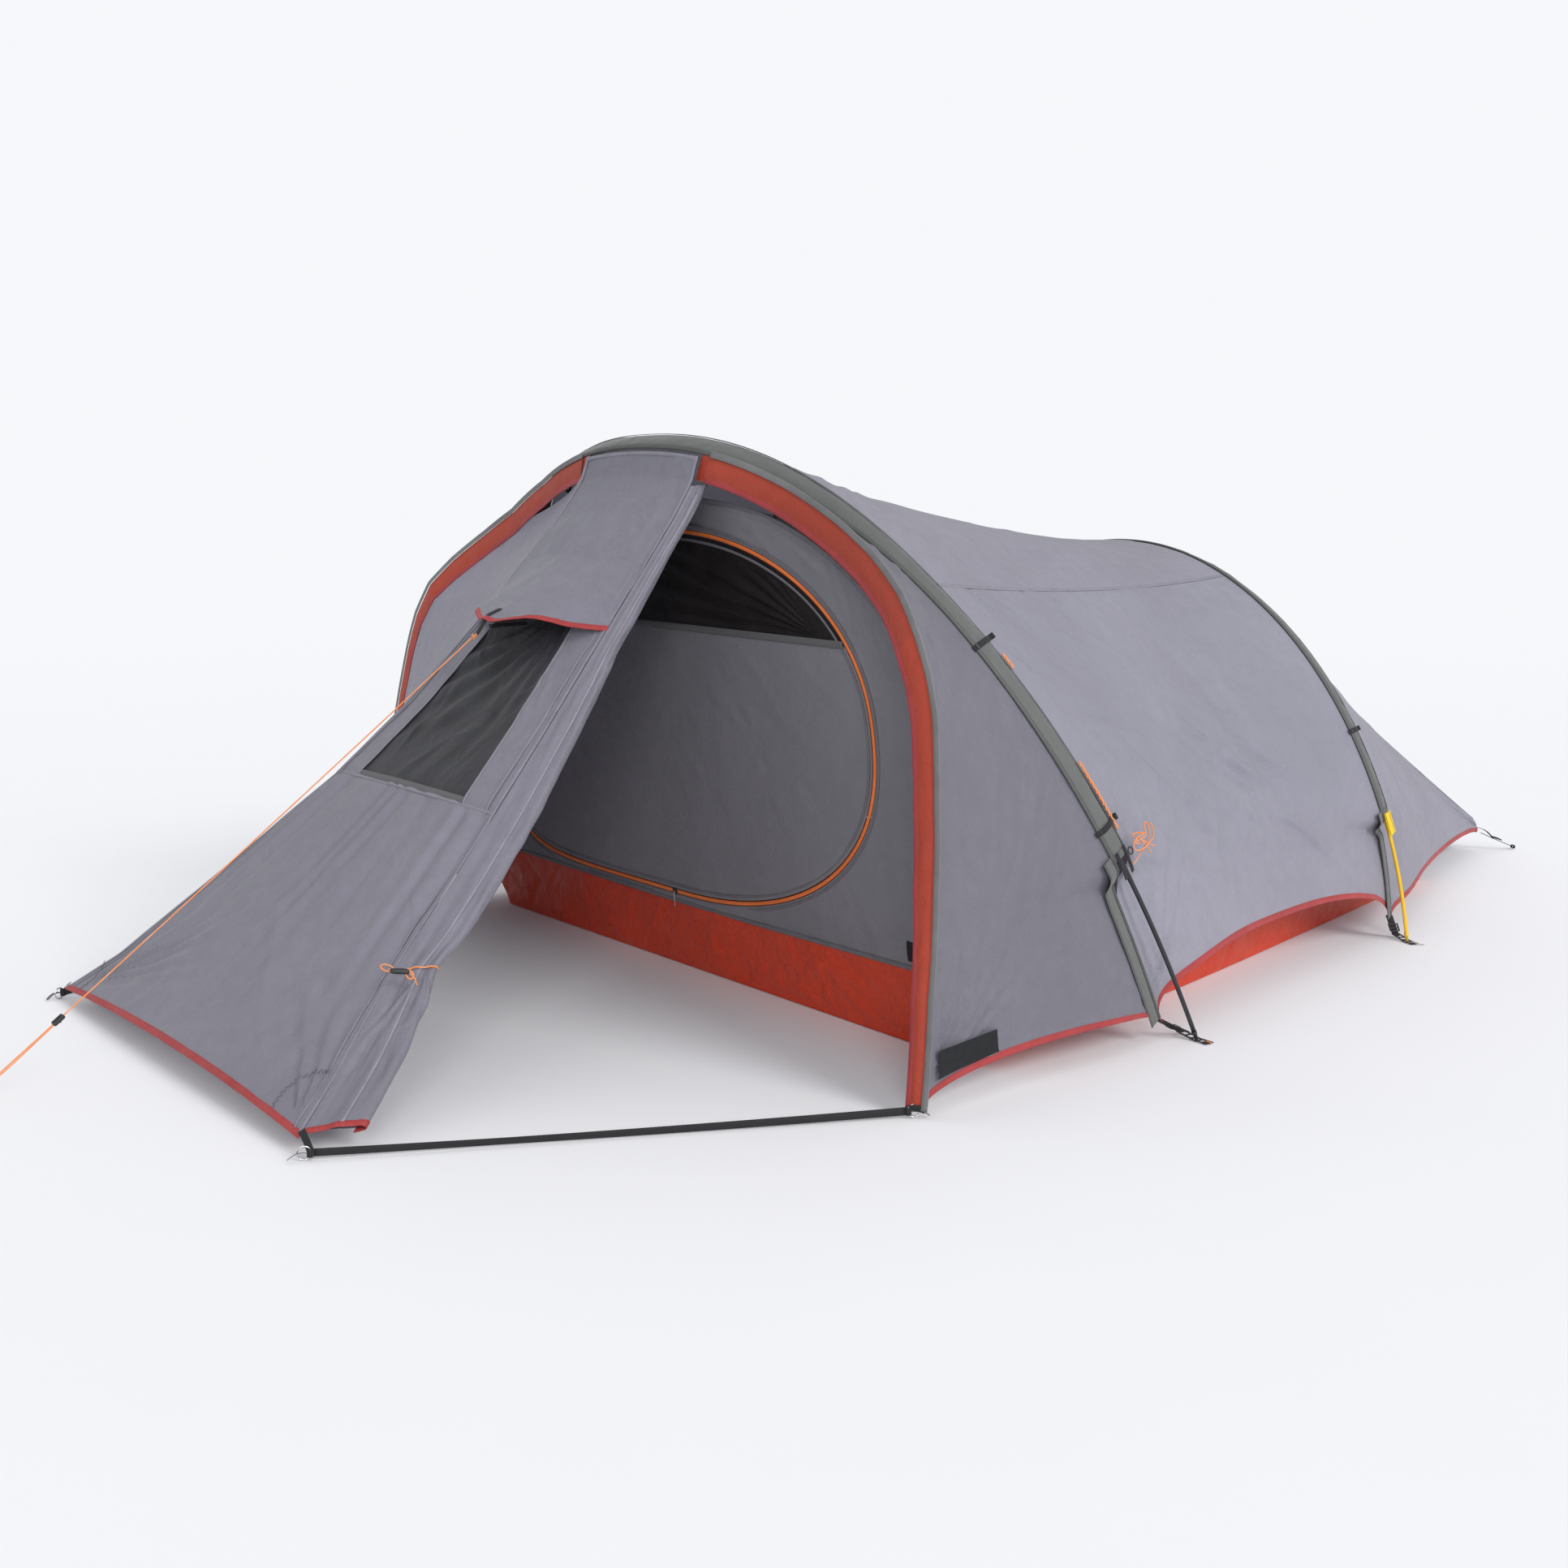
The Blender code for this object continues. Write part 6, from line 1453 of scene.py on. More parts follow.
# vent netting, a little behind the cloth, drawn up by the strut at its near top corner
wi = NLD[i0_ - 1: i1_ + 2, 0:72]
UW, VW = arc_uv(wi)
WN = NO[i0_ - 1: i1_ + 2, 0:72]
wu, wl = UW.max(), VW.max()
sag = -0.0070 * np.sin(math.pi * np.clip(UW / wu, 0, 1)) * np.sin(math.pi * np.clip(VW / wl, 0, 1))
ap = (wu * 0.86, 0.105)
fold = fan(UW, VW, ap, 1.30, 3.30, 8, 71, 0.03, 0.52, 0.0062, 1.3)
fold += creases(UW, VW, 16, 72, (0.03, 0.1), (wu - 0.03, wl - 0.06), 2.2, 0.25, 0.09, 0.010, 0.0028)
vw = smooth(np.clip((VW - 0.01) / 0.10, 0, 1)) * smooth(np.clip(np.minimum(UW, wu - UW) / 0.02, 0, 1)) * smooth(np.clip((wl - VW) / 0.015, 0, 1))
cloth("vent_netting", wi + WN * ((sag + fold) * vw - 0.0030)[..., None], M["vent"], ["vent_mesh"], None)

# netting borders: dark turned tape with its stitching
for jj, (P_, A_) in {
    "base": (NLD[i0_: i1_ + 1, 70], NLD[i0_: i1_ + 1, 70] - NLD[i0_: i1_ + 1, 67]),
}.items():
    n_ = NO[i0_: i1_ + 1, 70]
    strip("vent_border_" + jj, P_ - unit(A_) * 0.0075, A_, n_, 0.0155, 0.0012, "webgrey", lift=0.0006)
for nm, ii, sg in (("near", i1_, -1), ("far", i0_, 1)):
    P_ = NLD[ii, 1:71]
    A_ = NLD[ii + sg * 2, 1:71] - P_
    strip("vent_border_" + nm, P_ + unit(A_) * 0.001, A_, NO[ii, 1:71], 0.0075, 0.0009, "seam", lift=0.0006)

# felled seams of the nose
def surface_strip(name, P_, A_, N_, w, t=0.0009, mat="seam", lift=0.0009, n=None):
    return strip(name, P_, A_, N_, w, t, mat, lift=lift, n=n)


cross = NLD[:, 70]
surface_strip("seam_cross", cross, NLD[:, 73] - NLD[:, 67], NO[:, 70], 0.0085)
for nm, ii, inn in (("near", -1, -4), ("far", 0, 3)):
    P_ = np.concatenate([NUD[ii, ::2][:23], NLD[ii, 1:]])
    I_ = np.concatenate([NUD[inn, ::2][:23], NLD[inn, 1:]])
    A_ = unit(I_ - P_)
    N_ = unit(np.cross(A_, np.gradient(P_, axis=0)))
    N_ = N_ * np.sign(-N_[:, 1:2])
    surface_strip("seam_nose_" + nm, P_ + A_ * 0.005, A_, N_, 0.0100, n=220)
    # second row of stitching where the door flap is folded
    surface_strip("seam_nose_inner_" + nm, P_[24:] + A_[24:] * 0.024, A_[24:], N_[24:], 0.0060, 0.0007, n=180, lift=0.0012)
surface_strip("seam_arch_top", NUD[:, 1], NUD[:, 4] - NUD[:, 1], NN[:, 1], 0.0090)

# nose hem
NE = NLD[:, -1]
ND = unit(NLD[:, -1] - NLD[:, -4])
hem_on("hem_nose_tape", NE, ND, NO[:, -1], replaces=["hem_nose"], n=180, width=0.0150)


# zigzag stitched reinforcement, a quarter disc at the near corner and a small triangle at the far one
def near_pt(ia, jk, lift):
    i0q, j0q = int(min(max(ia, 0), len(aa) - 2)), int(min(max(jk, 0), len(ks) - 2))
    fi, fj = min(max(ia, 0), len(aa) - 1) - i0q, min(max(jk, 0), len(ks) - 1) - j0q
    p = lerp(lerp(NLD[i0q, j0q], NLD[i0q + 1, j0q], fi), lerp(NLD[i0q, j0q + 1], NLD[i0q + 1, j0q + 1], fi), fj)
    return p + NO[i0q, j0q] * lift


def ij_at(p):
    d = np.linalg.norm(NL - p, axis=2)
    k_ = int(np.argmin(d))
    return k_ // NL.shape[1], k_ % NL.shape[1]


def zigzag(name, pts, amp=0.0040, pitch=0.0050):
    P_ = resample(np.array(pts), 200)
    L_ = np.concatenate([[0], np.cumsum(np.linalg.norm(np.diff(P_, axis=0), axis=1))])
    n_ = int(L_[-1] / pitch)
    s_ = np.linspace(0, L_[-1], max(n_, 6))
    Q = np.stack([np.interp(s_, L_, P_[:, c]) for c in range(3)], -1)
    T_ = unit(np.gradient(Q, axis=0))
    side__ = unit(np.cross(T_, unit(np.array([0.0, -0.75, 0.66]))))
    Q = Q + side__ * (amp * np.where(np.arange(len(Q)) % 2, 1, -1))[:, None]
    tube(name, Q, 0.0006, "webgrey", 6)


corner = NLD[-1, -1]
arc_ = []
for th in np.linspace(0.02, 1.45, 26):
    r_ = 0.115
    wq = float(UL.max())
    ia = (len(aa) - 1) - 0
    # walk the surface: r cos along the hem towards the far side, r sin up the nose
    target = corner + unit(NLD[-30, -1] - corner) * r_ * math.cos(th) + unit(NLD[-1, -30] - corner) * r_ * math.sin(th)
    ii, jj = ij_at(target)
    arc_.append(NLD[ii, jj] + NO[ii, jj] * 0.0012 * 0 + (target - NL[ii, jj]) * 0.9 + NO[ii, jj] * 0.0016)
zigzag("zigzag_near_corner", round_path(arc_, 60, 4))
cf = NLD[0, -1]
arc2 = []
for th in np.linspace(0.05, 1.4, 14):
    target = cf + unit(NLD[30, -1] - cf) * 0.060 * math.cos(th) + unit(NLD[0, -30] - cf) * 0.085 * math.sin(th)
    ii, jj = ij_at(target)
    arc2.append(NLD[ii, jj] + (target - NL[ii, jj]) * 0.9 + NO[ii, jj] * 0.0016)
zigzag("zigzag_far_corner", round_path(arc2, 40, 4), 0.0025, 0.0045)

# ------------------------------------------------------------------ near door, gathered back beside the nose and held by its toggle
ROLLZ = np.array([1.060, 0.99, 0.92, 0.84, 0.75, 0.65, 0.55, 0.45, 0.36, 0.28, 0.235, 0.19, 0.13, 0.08, 0.040])
ROLLW = np.array([0.018, 0.019, 0.020, 0.022, 0.025, 0.032, 0.038, 0.044, 0.047, 0.046, 0.037, 0.045, 0.050, 0.052, 0.052])
RZ = np.linspace(1.062, 0.038, 210)
RW = np.interp(RZ, ROLLZ[::-1], ROLLW[::-1])
for _ in range(3):
    RW[1:-1] = 0.25 * RW[:-2] + 0.5 * RW[1:-1] + 0.25 * RW[2:]
DV = unit(np.array([0.42, 0.90, 0.05]))
# folded section: (share across 0..2, height) as a strip that goes out, turns and comes back under
SEC = [(0.0, 0.0), (0.25, 0.10), (0.55, 0.26), (0.85, 0.42), (1.15, 0.56), (1.45, 0.58), (1.70, 0.48), (1.86, 0.24), (1.93, -0.06), (1.90, -0.38), (1.78, -0.62), (1.55, -0.72), (1.25, -0.70), (0.95, -0.55), (0.70, -0.42), (0.52, -0.28), (0.46, -0.12), (0.58, 0.00), (0.86, -0.05), (1.16, -0.18), (1.40, -0.26)]
SEC = catmull(np.array([(a, b, 0) for a, b in SEC]), 4)[:, :2]
DG = np.zeros((len(RZ), len(SEC), 3))
LZ = None
for i, z in enumerate(RZ):
    k_ = float(k_for_z(z))
    seam_ = nose(1.0, k_)
    tz = unit(nose(1.0, k_ + 0.01) - nose(1.0, k_ - 0.01))
    nrm = unit(np.cross(DV, tz))
    nrm = nrm * (1.0 if nrm[1] < 0 else -1.0)
    tight = math.exp(-((z - 0.235) / 0.028) ** 2)
    th = 0.0125 * (1 - 0.25 * tight) * (0.55 + 0.45 * smooth((1.06 - z) / 0.2))
    r = RW[i]
    for j, (sx_, sy_) in enumerate(SEC):
        ripple = 0.0017 * math.sin(sx_ * 7.5 + 2.3 * float(vnoise(z * 2.2, 3.0, 81)) + z * 2) * smooth(sx_ * 1.4) * (1.0 + 0.8 * tight)
        DG[i, j] = seam_ + DV * (sx_ * r + 0.0012) + nrm * (sy_ * th + ripple * (1 if sy_ >= -0.1 else 0.4))
UD, VD = arc_uv(DG)
dd = creases(UD, VD, 60, 82, (0.02, 0.01), (UD.max(), VD.max() * 0.6), 0.10, 0.16, 0.085, 0.0065, 0.0028)
dd += fan(UD, VD, (float(np.interp(0.235, RZ[::-1], UD[:, 0][::-1])), 0.060), -0.6, 0.6, 5, 83, 0.03, 0.30, 0.0030)
dd += 0.0012 * fbm(UD * 8, VD * 14, 15)
DGN = grid_normals(DG)
DG = DG + DGN * (dd * smooth(np.clip(VD / 0.02, 0, 1)))[..., None]
# the gathered door wears the darkened fly colour: painted shade
cloth("door_near_cloth", DG, M["roll"], ["door_near"], None)
# free edge tape of the door and its short hem
ed = DG[:, int(len(SEC) * 0.335)]
bot = DG[-1, : int(len(SEC) * 0.56)]
tb = unit(np.gradient(bot, axis=0))
hem_on("hem_door_near", bot, DG[-1, : len(bot)] - DG[-5, : len(bot)], np.cross(tb, unit(DG[-1, : len(bot)] - DG[-5, : len(bot)])), n=80, width=0.0135)
EP = DG[3:, int(len(SEC) * 0.20)]
EA = unit(DG[3:, int(len(SEC) * 0.26)] - DG[3:, int(len(SEC) * 0.14)])
EN = unit(np.cross(EA, np.gradient(EP, axis=0)))
EN = EN * np.sign(-EN[:, 1:2])
surface_strip("door_near_edge", EP, EA, EN, 0.0070, n=200, lift=0.0006)

# ------------------------------------------------------------------ far door, closed, from the nose seam to the far arch
ndz = 110
fzs = np.linspace(1.02, 0.0, ndz)
DF = np.zeros((ndz, 60, 3))
for i, f in enumerate(fzs):
    z = min(0.028 + f * (1.035 - 0.028) / 1.02, 1.03)
    ns = nose(1.0, float(k_for_z(min(max(z, 0.045) + 0.050 * (z / 1.04), 1.09))))
    gs = gutter_inner(front_t(f))
    d = gs - ns
    L = np.linalg.norm(d)
    for j, s in enumerate(np.linspace(0, 1, 60)):
        p = ns + d * (0.003 / L + (1 - 0.006 / L) * s)
        sg = 0.030 * 4 * s * (1 - s) * min(1.0, L / 0.5)
        zz = 0.034 * 4 * s * (1 - s) * (1 - min(f, 0.16) / 0.16) ** 1.5
        DF[i, j] = p + np.array([-0.55 * sg, 0.75 * sg, zz])
DFm = mirrored(DF)
UF_, VF_ = arc_uv(DFm)
fd = creases(UF_, VF_, 40, 91, (0.05, 0.02), (1.5, 0.8), 0.25, 0.30, 0.12, 0.011, 0.0034)
fd += fan(UF_, VF_, (float(UF_.max()), 0.02), -1.5, -0.1 + 3.1, 8, 92, 0.08, 0.6, 0.0030)
fd += 0.0025 * fbm(UF_ * 4, VF_ * 4, 16)
FDN = outward(DFm, (0.0, 0.2, 0.2))
DFm = DFm + FDN * (fd * edge_win(UF_, VF_))[..., None]
farob = cloth("door_far_cloth", DFm, M["fly"], ["door_far"], None, body=None)
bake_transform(farob)
# its hem rides with it
he = DFm[-1]
hd_ = unit(DFm[-1] - DFm[-4])
hb = hem_on("hem_door_far", he[4:-1], hd_[4:-1], FDN[-1][4:-1], n=90, width=0.0135)
hb.parent = None
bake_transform(hb)


# ------------------------------------------------------------------ fly, rear end
RC = np.array(REAR_CORNER)


def rear_hem_z(q):
    return 0.050 + 0.062 * np.sqrt(np.clip(1 - np.abs(2 * q - 1) ** 2.4, 0, 1)) * (1 - 0.35 * q) + 0.012 * q


def rear_seam(q):
    a = edge2_rear(REAR_SEAM_T)
    p = lerp(a, RC + np.array([0.0, 0.0, 0.005]), q * 0.985)
    return p - np.array([0.0, 0.25, 0.6]) * 0.012 * 4 * q * (1 - q)


def rear_fine(nt, nq):
    qs = np.linspace(0, 1, nq)
    G = np.zeros((nt, nq, 3))
    t0 = float(hoop_t_for_z(0.056, H2_H, H2_N))
    tt_ = lerp(t0, REAR_SEAM_T, np.linspace(0, 1, nt))
    ER = edge2_rear(tt_)
    ER0 = plain_edge(hoop2, frame2, tt_, 1.0)
    top = edge2_rear(REAR_SEAM_T)
    for i in range(nt):
        s = i / (nt - 1)
        sc = s
        for j, q in enumerate(qs):
            k_ = q * 0.985
            tgt = RC + np.array([0.0, 0.0, 0.006 * s - 0.002])
            p = lerp(ER0[i], tgt, k_) + (ER[i] - ER0[i]) * math.exp(-((k_ * float(np.linalg.norm(tgt - ER0[i]))) / 0.11) ** 1.6)
            out = unit(np.array([1.0, 0.25, 0.55]))
            sag_ = 0.036 * 4 * k_ * (1 - k_) * (1 - sc ** 4)
            ruled = lerp(top, RC + np.array([0.0, 0.0, 0.004]), k_)
            p = p - out * sag_ + (rear_seam(q) - ruled) * sc ** 3
            lift = (float(rear_hem_z(q)) - lerp(0.052, RC[2], k_)) * (1 - s) ** 3
            G[i, j] = p + np.array([0, 0, max(0.0, lift)])
    return G


def rear_disp(U, V):
    d = fan(U, V, (U.max() * 0.5, V.max()), -2.3, -0.75, 7, 101, 0.10, 0.75, 0.0035)
    d += creases(U, V, 34, 102, (0.15, 0.10), (0.75, 0.75), 1.25, 0.25, 0.11, 0.011, 0.0032)
    d += fan(U, V, (0.0, 0.02), 0.15, 1.3, 5, 103, 0.06, 0.40, 0.0030)
    d += 0.0022 * fbm(U * 4, V * 4, 17) + 0.0005 * vnoise(U * 26, V * 26, 9)
    return d


REAR = rear_fine(130, 110)
both("fly_rear_cloth", REAR, "fly", "fly_cloth", rear_disp, replaces=["fly_rear"], ref=(0.0, 1.2, 0.1), rests=["pole_rear"])


def rear_centre_fine(nt, nq):
    G = np.zeros((nt, nq, 3))
    ss = np.linspace(0, 1, nt)
    ER = edge2_rear(lerp(REAR_SEAM_T, math.pi - REAR_SEAM_T, ss))
    top = edge2_rear(REAR_SEAM_T)
    for j, q in enumerate(np.linspace(0, 1, nq)):
        seam_ = rear_seam(q)
        ruled = lerp(top, RC + np.array([0.0, 0.0, 0.005]), q * 0.985)
        for i, s in enumerate(ss):
            b = RC * np.array([lerp(1, -1, s), 1, 1]) + np.array([0, 0, 0.005])
            p = lerp(ER[i], b, q * 0.985)
            e = abs(2 * s - 1)
            sg = 0.016 * 4 * q * (1 - q) * (1 - e * e)
            G[i, j] = p - np.array([0, 0.35, 0.9]) * sg + (seam_ - ruled) * np.array([0.0, 1.0, 1.0])
    return G


RCN = rear_centre_fine(60, 110)
panel("fly_rear_centre_cloth", RCN, "fly", "fly_cloth", lambda U, V: 0.0018 * fbm(U * 5, V * 4, 18) + creases(U, V, 22, 104, (0.0, 0.05), (U.max(), 1.2), 1.57, 0.3, 0.12, 0.012, 0.0028), (0.0, 1.2, 0.0), ["fly_rear_centre"], ["pole_rear_near"])
for sgn, nm in ((1, "near"), (-1, "far")):
    m_ = np.array([sgn, 1, 1])
    P_ = REAR[-1, 1:-1]
    A_ = unit(REAR[-1, 1:-1] - REAR[-3, 1:-1])
    N_ = unit(np.cross(A_, np.gradient(P_, axis=0)))
    N_ = N_ * np.sign(N_[:, 2:3])
    surface_strip("seam_rear_" + nm, P_ * m_, A_ * m_, N_ * m_, 0.0090)
    RE = REAR[0]
    RD = np.tile(np.array([0.10, 0.0, -1.0]), (len(RE), 1))
    RN = unit(np.cross(RD, np.gradient(RE, axis=0)))
    RN = RN * np.sign(RN[:, :1])
    hem_on("hem_rear_tape_" + nm, RE * m_, RD * m_, RN * m_, replaces=["hem_rear"], n=150)
ez_ = REAR[0, -1]
ctr = np.stack([np.array([x, RC[1] - 0.015 + 0.012 * (1 - (x / 0.156) ** 2), ez_[2] - 0.004 * (1 - (x / 0.156) ** 2)]) for x in np.linspace(ez_[0], -ez_[0], 40)])
cx_ = np.linspace(ez_[0], -ez_[0], 60)
foot_ = np.stack([cx_, RC[1] - 0.015 + 0.012 * (1 - (cx_ / 0.156) ** 2), ez_[2] - 0.004 * (1 - (cx_ / 0.156) ** 2)], -1)
footg = np.stack([lerp(RCN[:, -2], foot_, q) for q in np.linspace(0.0, 1.0, 9)], 1)
cloth("fly_rear_centre_foot", footg, M["fly"], (), None)
hem_on("hem_rear_tape_end", ctr, np.tile([0.0, 0.05, -1.0], (40, 1)), np.tile([0.0, 1.0, 0.05], (40, 1)), n=60)

# yellow marker tabs over the rear sleeve ends
for sgn, nm in ((1, "near"), (-1, "far")):
    m_ = np.array([sgn, 1, 1])
    tt = np.linspace(T2_END - 0.055, T2_END + 0.004, 26)
    W2, N2 = frame2(tt)
    H2c = hoop2(tt)
    rows = []
    for q in np.linspace(-1, 1, 17):
        rows.append(H2c + W2 * q * 0.0205 + N2 * (0.0090 * (1 - 0.20 * q * q)) * 1.0)
    G = np.stack(rows, 1) * m_
    cloth("marker_tab_" + nm, G, M["webyel"], ["rear_tab_" + nm], None)
    for q in (-0.80, 0.80):
        strip(f"marker_tab_fold_{nm}_{'a' if q < 0 else 'b'}", (H2c + W2 * q * 0.0205 + N2 * 0.0098) * m_, W2 * m_, N2 * m_, 0.0045, 0.0010, "webyel")

# ------------------------------------------------------------------ inner tent
PHI = np.linspace(0, 2 * math.pi, 420, endpoint=False)
dxg, dzg = door_curve(PHI, 0.0060)
wxg, wzg = wall_arch(PHI)
nr_ = 34
WG = np.zeros((len(PHI), nr_, 3))


def tub_line(x):
    """top edge of the groundsheet wall across the front"""
    return TUB_H + 0.004 + 0.022 * smooth((np.asarray(x, float) - 0.66) / 0.27) - 0.004 * np.cos(np.asarray(x, float) * 3)


for j, s in enumerate(np.linspace(0, 1, nr_)):
    x = dxg + (wxg - dxg) * s
    z = dzg + (wzg - dzg) * s
    WG[:, j] = wall_point(x, z)
XW, ZW = WG[..., 0], WG[..., 2]


def wall_creases(X, Z):
    d = creases(X, Z, 36, 111, (0.50, 0.30), (0.92, 0.95), 1.85, 0.20, 0.10, 0.008, 0.0034)
    d += creases(X, Z, 20, 112, (-0.9, 0.3), (-0.55, 0.95), 1.30, 0.25, 0.10, 0.010, 0.0032)
    d += creases(X, Z, 24, 113, (-0.2, 0.90), (0.6, 1.02), 2.7, 0.25, 0.07, 0.009, 0.0026)
    d += creases(X, Z, 18, 114, (0.3, 0.15), (0.9, 0.32), 1.9, 0.35, 0.07, 0.009, 0.0024)
    d += 0.0035 * fbm(X * 3.2, Z * 3.2, 19)
    return d


fy = np.array([0.0, -1.0, -0.12])
fy = fy / np.linalg.norm(fy)
edge_r = smooth(np.linspace(0, 1, nr_) / 0.22) * smooth((1 - np.linspace(0, 1, nr_)) / 0.10)
WGd = WG + fy * (wall_creases(XW, ZW) * edge_r[None, :])[..., None]
cloth("inner_wall_cloth", WGd, M["inner"], ["inner_front_wall"], None, closed=True, uv=(XW, ZW))


def curve_strip(name, grow, w, t, mat, replaces=(), body="shelter", lift=0.0, n=420):
    ph = np.linspace(0, 2 * math.pi, n, endpoint=False)
    x, z = door_curve(ph, grow)
    P_ = wall_point(x, z) + fy * lift
    T_ = unit(np.roll(P_, -1, 0) - np.roll(P_, 1, 0))
    A_ = unit(np.cross(T_, fy))
    return profile_sweep(name, P_ - A_ * w / 2, A_, np.tile(fy, (n, 1)), tape_profile(w, t, 2), M[mat], replaces, body, closed=True)


curve_strip("inner_zip_coil", 0.0004, 0.0086, 0.0030, "zip", ["inner_zip"], n=640)
curve_strip("inner_zip_tape_out", 0.0130, 0.0060, 0.0009, "seam_inner", lift=0.0012)
curve_strip("inner_zip_tape_in", -0.0155, 0.0060, 0.0009, "seam_inner", body="inner_door", lift=0.0012)


# door leaf: cloth below, netting above
def door_fine(lo_z, hi_z, cols, rows):
    ph = np.linspace(0, 2 * math.pi, 1440, endpoint=False)
    ex, ez2 = door_curve(ph, -0.0060)
    G = np.zeros((cols, rows, 3))
    ok = []
    nx, nz = np.roll(ex, -1), np.roll(ez2, -1)

    def span(x):
        idx = np.where(((ex - x) * (nx - x) <= 0) & (np.abs(ex - nx) > 1e-9))[0]
        zz = ez2[idx] + (nz[idx] - ez2[idx]) * (x - ex[idx]) / (nx[idx] - ex[idx])
        return zz.min(), zz.max()

    xs = np.linspace(ex.min() + 0.0005, ex.max() - 0.0005, 900)
    for x in xs:
        a, b = span(x)
        if min(b, hi_z) - max(a, lo_z) > 0.002:
            ok.append(x)
    c = 0.5 - 0.5 * np.cos(math.pi * np.linspace(0, 1, cols))
    for i, x in enumerate(min(ok) + (max(ok) - min(ok)) * c):
        a, b = span(x)
        a, b = max(a, lo_z), min(b, hi_z)
        G[i] = wall_point(x, a + (b - a) * np.linspace(0, 1, rows))
    return G


def leaf(name, G, mat, node, disp):
    X, Z = G[..., 0], G[..., 2]
    e = np.minimum(np.minimum(X - X.min(), X.max() - X), np.minimum(Z - Z[:, :1], Z[:, -1:] - Z))
    G = G + fy * (disp(X, Z) * smooth(np.clip(e / 0.03, 0, 1)))[..., None]
    return cloth(name, G, M[mat], [node], None, body="inner_door", uv=(X, Z))


leaf("inner_door_cloth", door_fine(0.0, 0.7582, 150, 96), "inner", "inner_door_panel",
     lambda X, Z: 0.0048 * fbm(X * 2.4, Z * 2.4, 20) + creases(X, Z, 26, 121, (-0.5, 0.25), (0.45, 0.70), 2.2, 0.4, 0.12, 0.011, 0.0026) + fan(X, Z, (0.60, 0.74), 3.2, 4.5, 7, 122, 0.10, 0.6, 0.0024))
leaf("inner_door_netting", door_fine(0.7582, 2.0, 130, 60), "mesh", "inner_door_mesh",
     lambda X, Z: 0.0040 * fbm(X * 4.0, Z * 4.0, 21) + fan(X, Z, (0.50, 0.77), 2.3, 3.2, 8, 123, 0.05, 0.8, 0.0060) + creases(X, Z, 26, 124, (-0.5, 0.78), (0.45, 0.95), 2.5, 0.3, 0.09, 0.010, 0.0040))
lim = door_fine(0.7545, 0.7620, 60, 3)
bx = np.linspace(lim[0, 0, 0] + 0.004, lim[-1, 0, 0] - 0.004, 140)
strip("inner_door_band", wall_point(bx, np.full(140, 0.7600)) + fy * 0.0014, np.tile([0.0, -0.12, 1.0], (140, 1)), np.tile(fy, (140, 1)), 0.0150, 0.0016, "webgrey", body="inner_door")

# slider of the door zip, with its pull
szx, szz = door_curve(np.array([-math.pi / 2 - 0.03]), 0.0)
sc_ = wall_point(float(szx[0]), float(szz[0]) + 0.0002)
AX, AZ = np.array([1.0, 0, 0]), unit(np.array([0.0, -0.12, 1.0]))
block("zip_slider_front", sc_ + fy * 0.0030, (AX, AZ, fy), (0.0150, 0.0120, 0.0016), "plastic", body="zip_slider", replaces=["inner_zip_slider"])
block("zip_slider_back", sc_ - fy * 0.0030, (AX, AZ, fy), (0.0150, 0.0120, 0.0016), "plastic", body="zip_slider")
block("zip_slider_bridge", sc_ + AX * 0.0068, (AX, AZ, fy), (0.0014, 0.0030, 0.0064), "plastic", body="zip_slider")
tube("zip_slider_pull", [sc_ + fy * 0.0046 + AX * 0.002, sc_ + fy * 0.0060 + AZ * -0.004, sc_ + fy * 0.0064 + AZ * -0.016, sc_ + fy * 0.0062 + AZ * -0.034], 0.0011, "cordgrey", 10, body="zip_slider")


# groundsheet tub
def rim_w(y):
    return lerp(TUB_FRONT_W, TUB_REAR_W, (y - TUB_FRONT_Y) / (TUB_REAR_Y - TUB_FRONT_Y))


def foot_in(y):
    return 0.075 * math.exp(-max(0.0, (y - TUB_FRONT_Y)) / 0.55)


def rim_h(y):
    return TUB_H if y < 1.2 else lerp(TUB_H, 0.115, (y - 1.2) / 0.52)


nf_ = 220
xf_ = np.linspace(-TUB_FRONT_W * 1.003, TUB_FRONT_W * 1.003, nf_)
zf_ = tub_line(xf_)
FG = np.zeros((nf_, 26, 3))
for j, s in enumerate(np.linspace(0, 1, 26)):
    z = 0.0012 + (zf_ - 0.0012) * s
    FG[:, j] = np.stack([xf_ * (1.0 - 0.003 * (1 - s) - 0.080 * (1 - s) ** 1.3), TUB_FRONT_Y + WALL_LEAN * z, z], -1)
XF, ZF = FG[..., 0], FG[..., 2]
fd_ = creases(XF, ZF, 60, 131, (-0.9, 0.0), (0.9, 0.15), 0.55, 0.6, 0.07, 0.008, 0.0042) + creases(XF, ZF, 26, 132, (-0.9, 0.0), (0.9, 0.14), 2.4, 0.5, 0.09, 0.009, 0.0036) + 0.0030 * fbm(XF * 6, ZF * 8, 22)
fd_ += creases(XF, ZF, 18, 133, (0.72, 0.02), (0.93, 0.16), 2.0, 0.3, 0.06, 0.010, 0.0060)
ftap = smooth(np.clip((ZF - 0.0) / 0.02, 0, 1)) * smooth(np.clip((ZF[:, -1:] - ZF) / 0.012, 0, 1)) * smooth(np.clip((0.928 - np.abs(XF)) / 0.02, 0, 1))
cloth("inner_tub_cloth", FG + fy * (fd_ * ftap + 0.0012)[..., None], M["tub"], ["inner_tub"], None, uv=(XF, ZF))
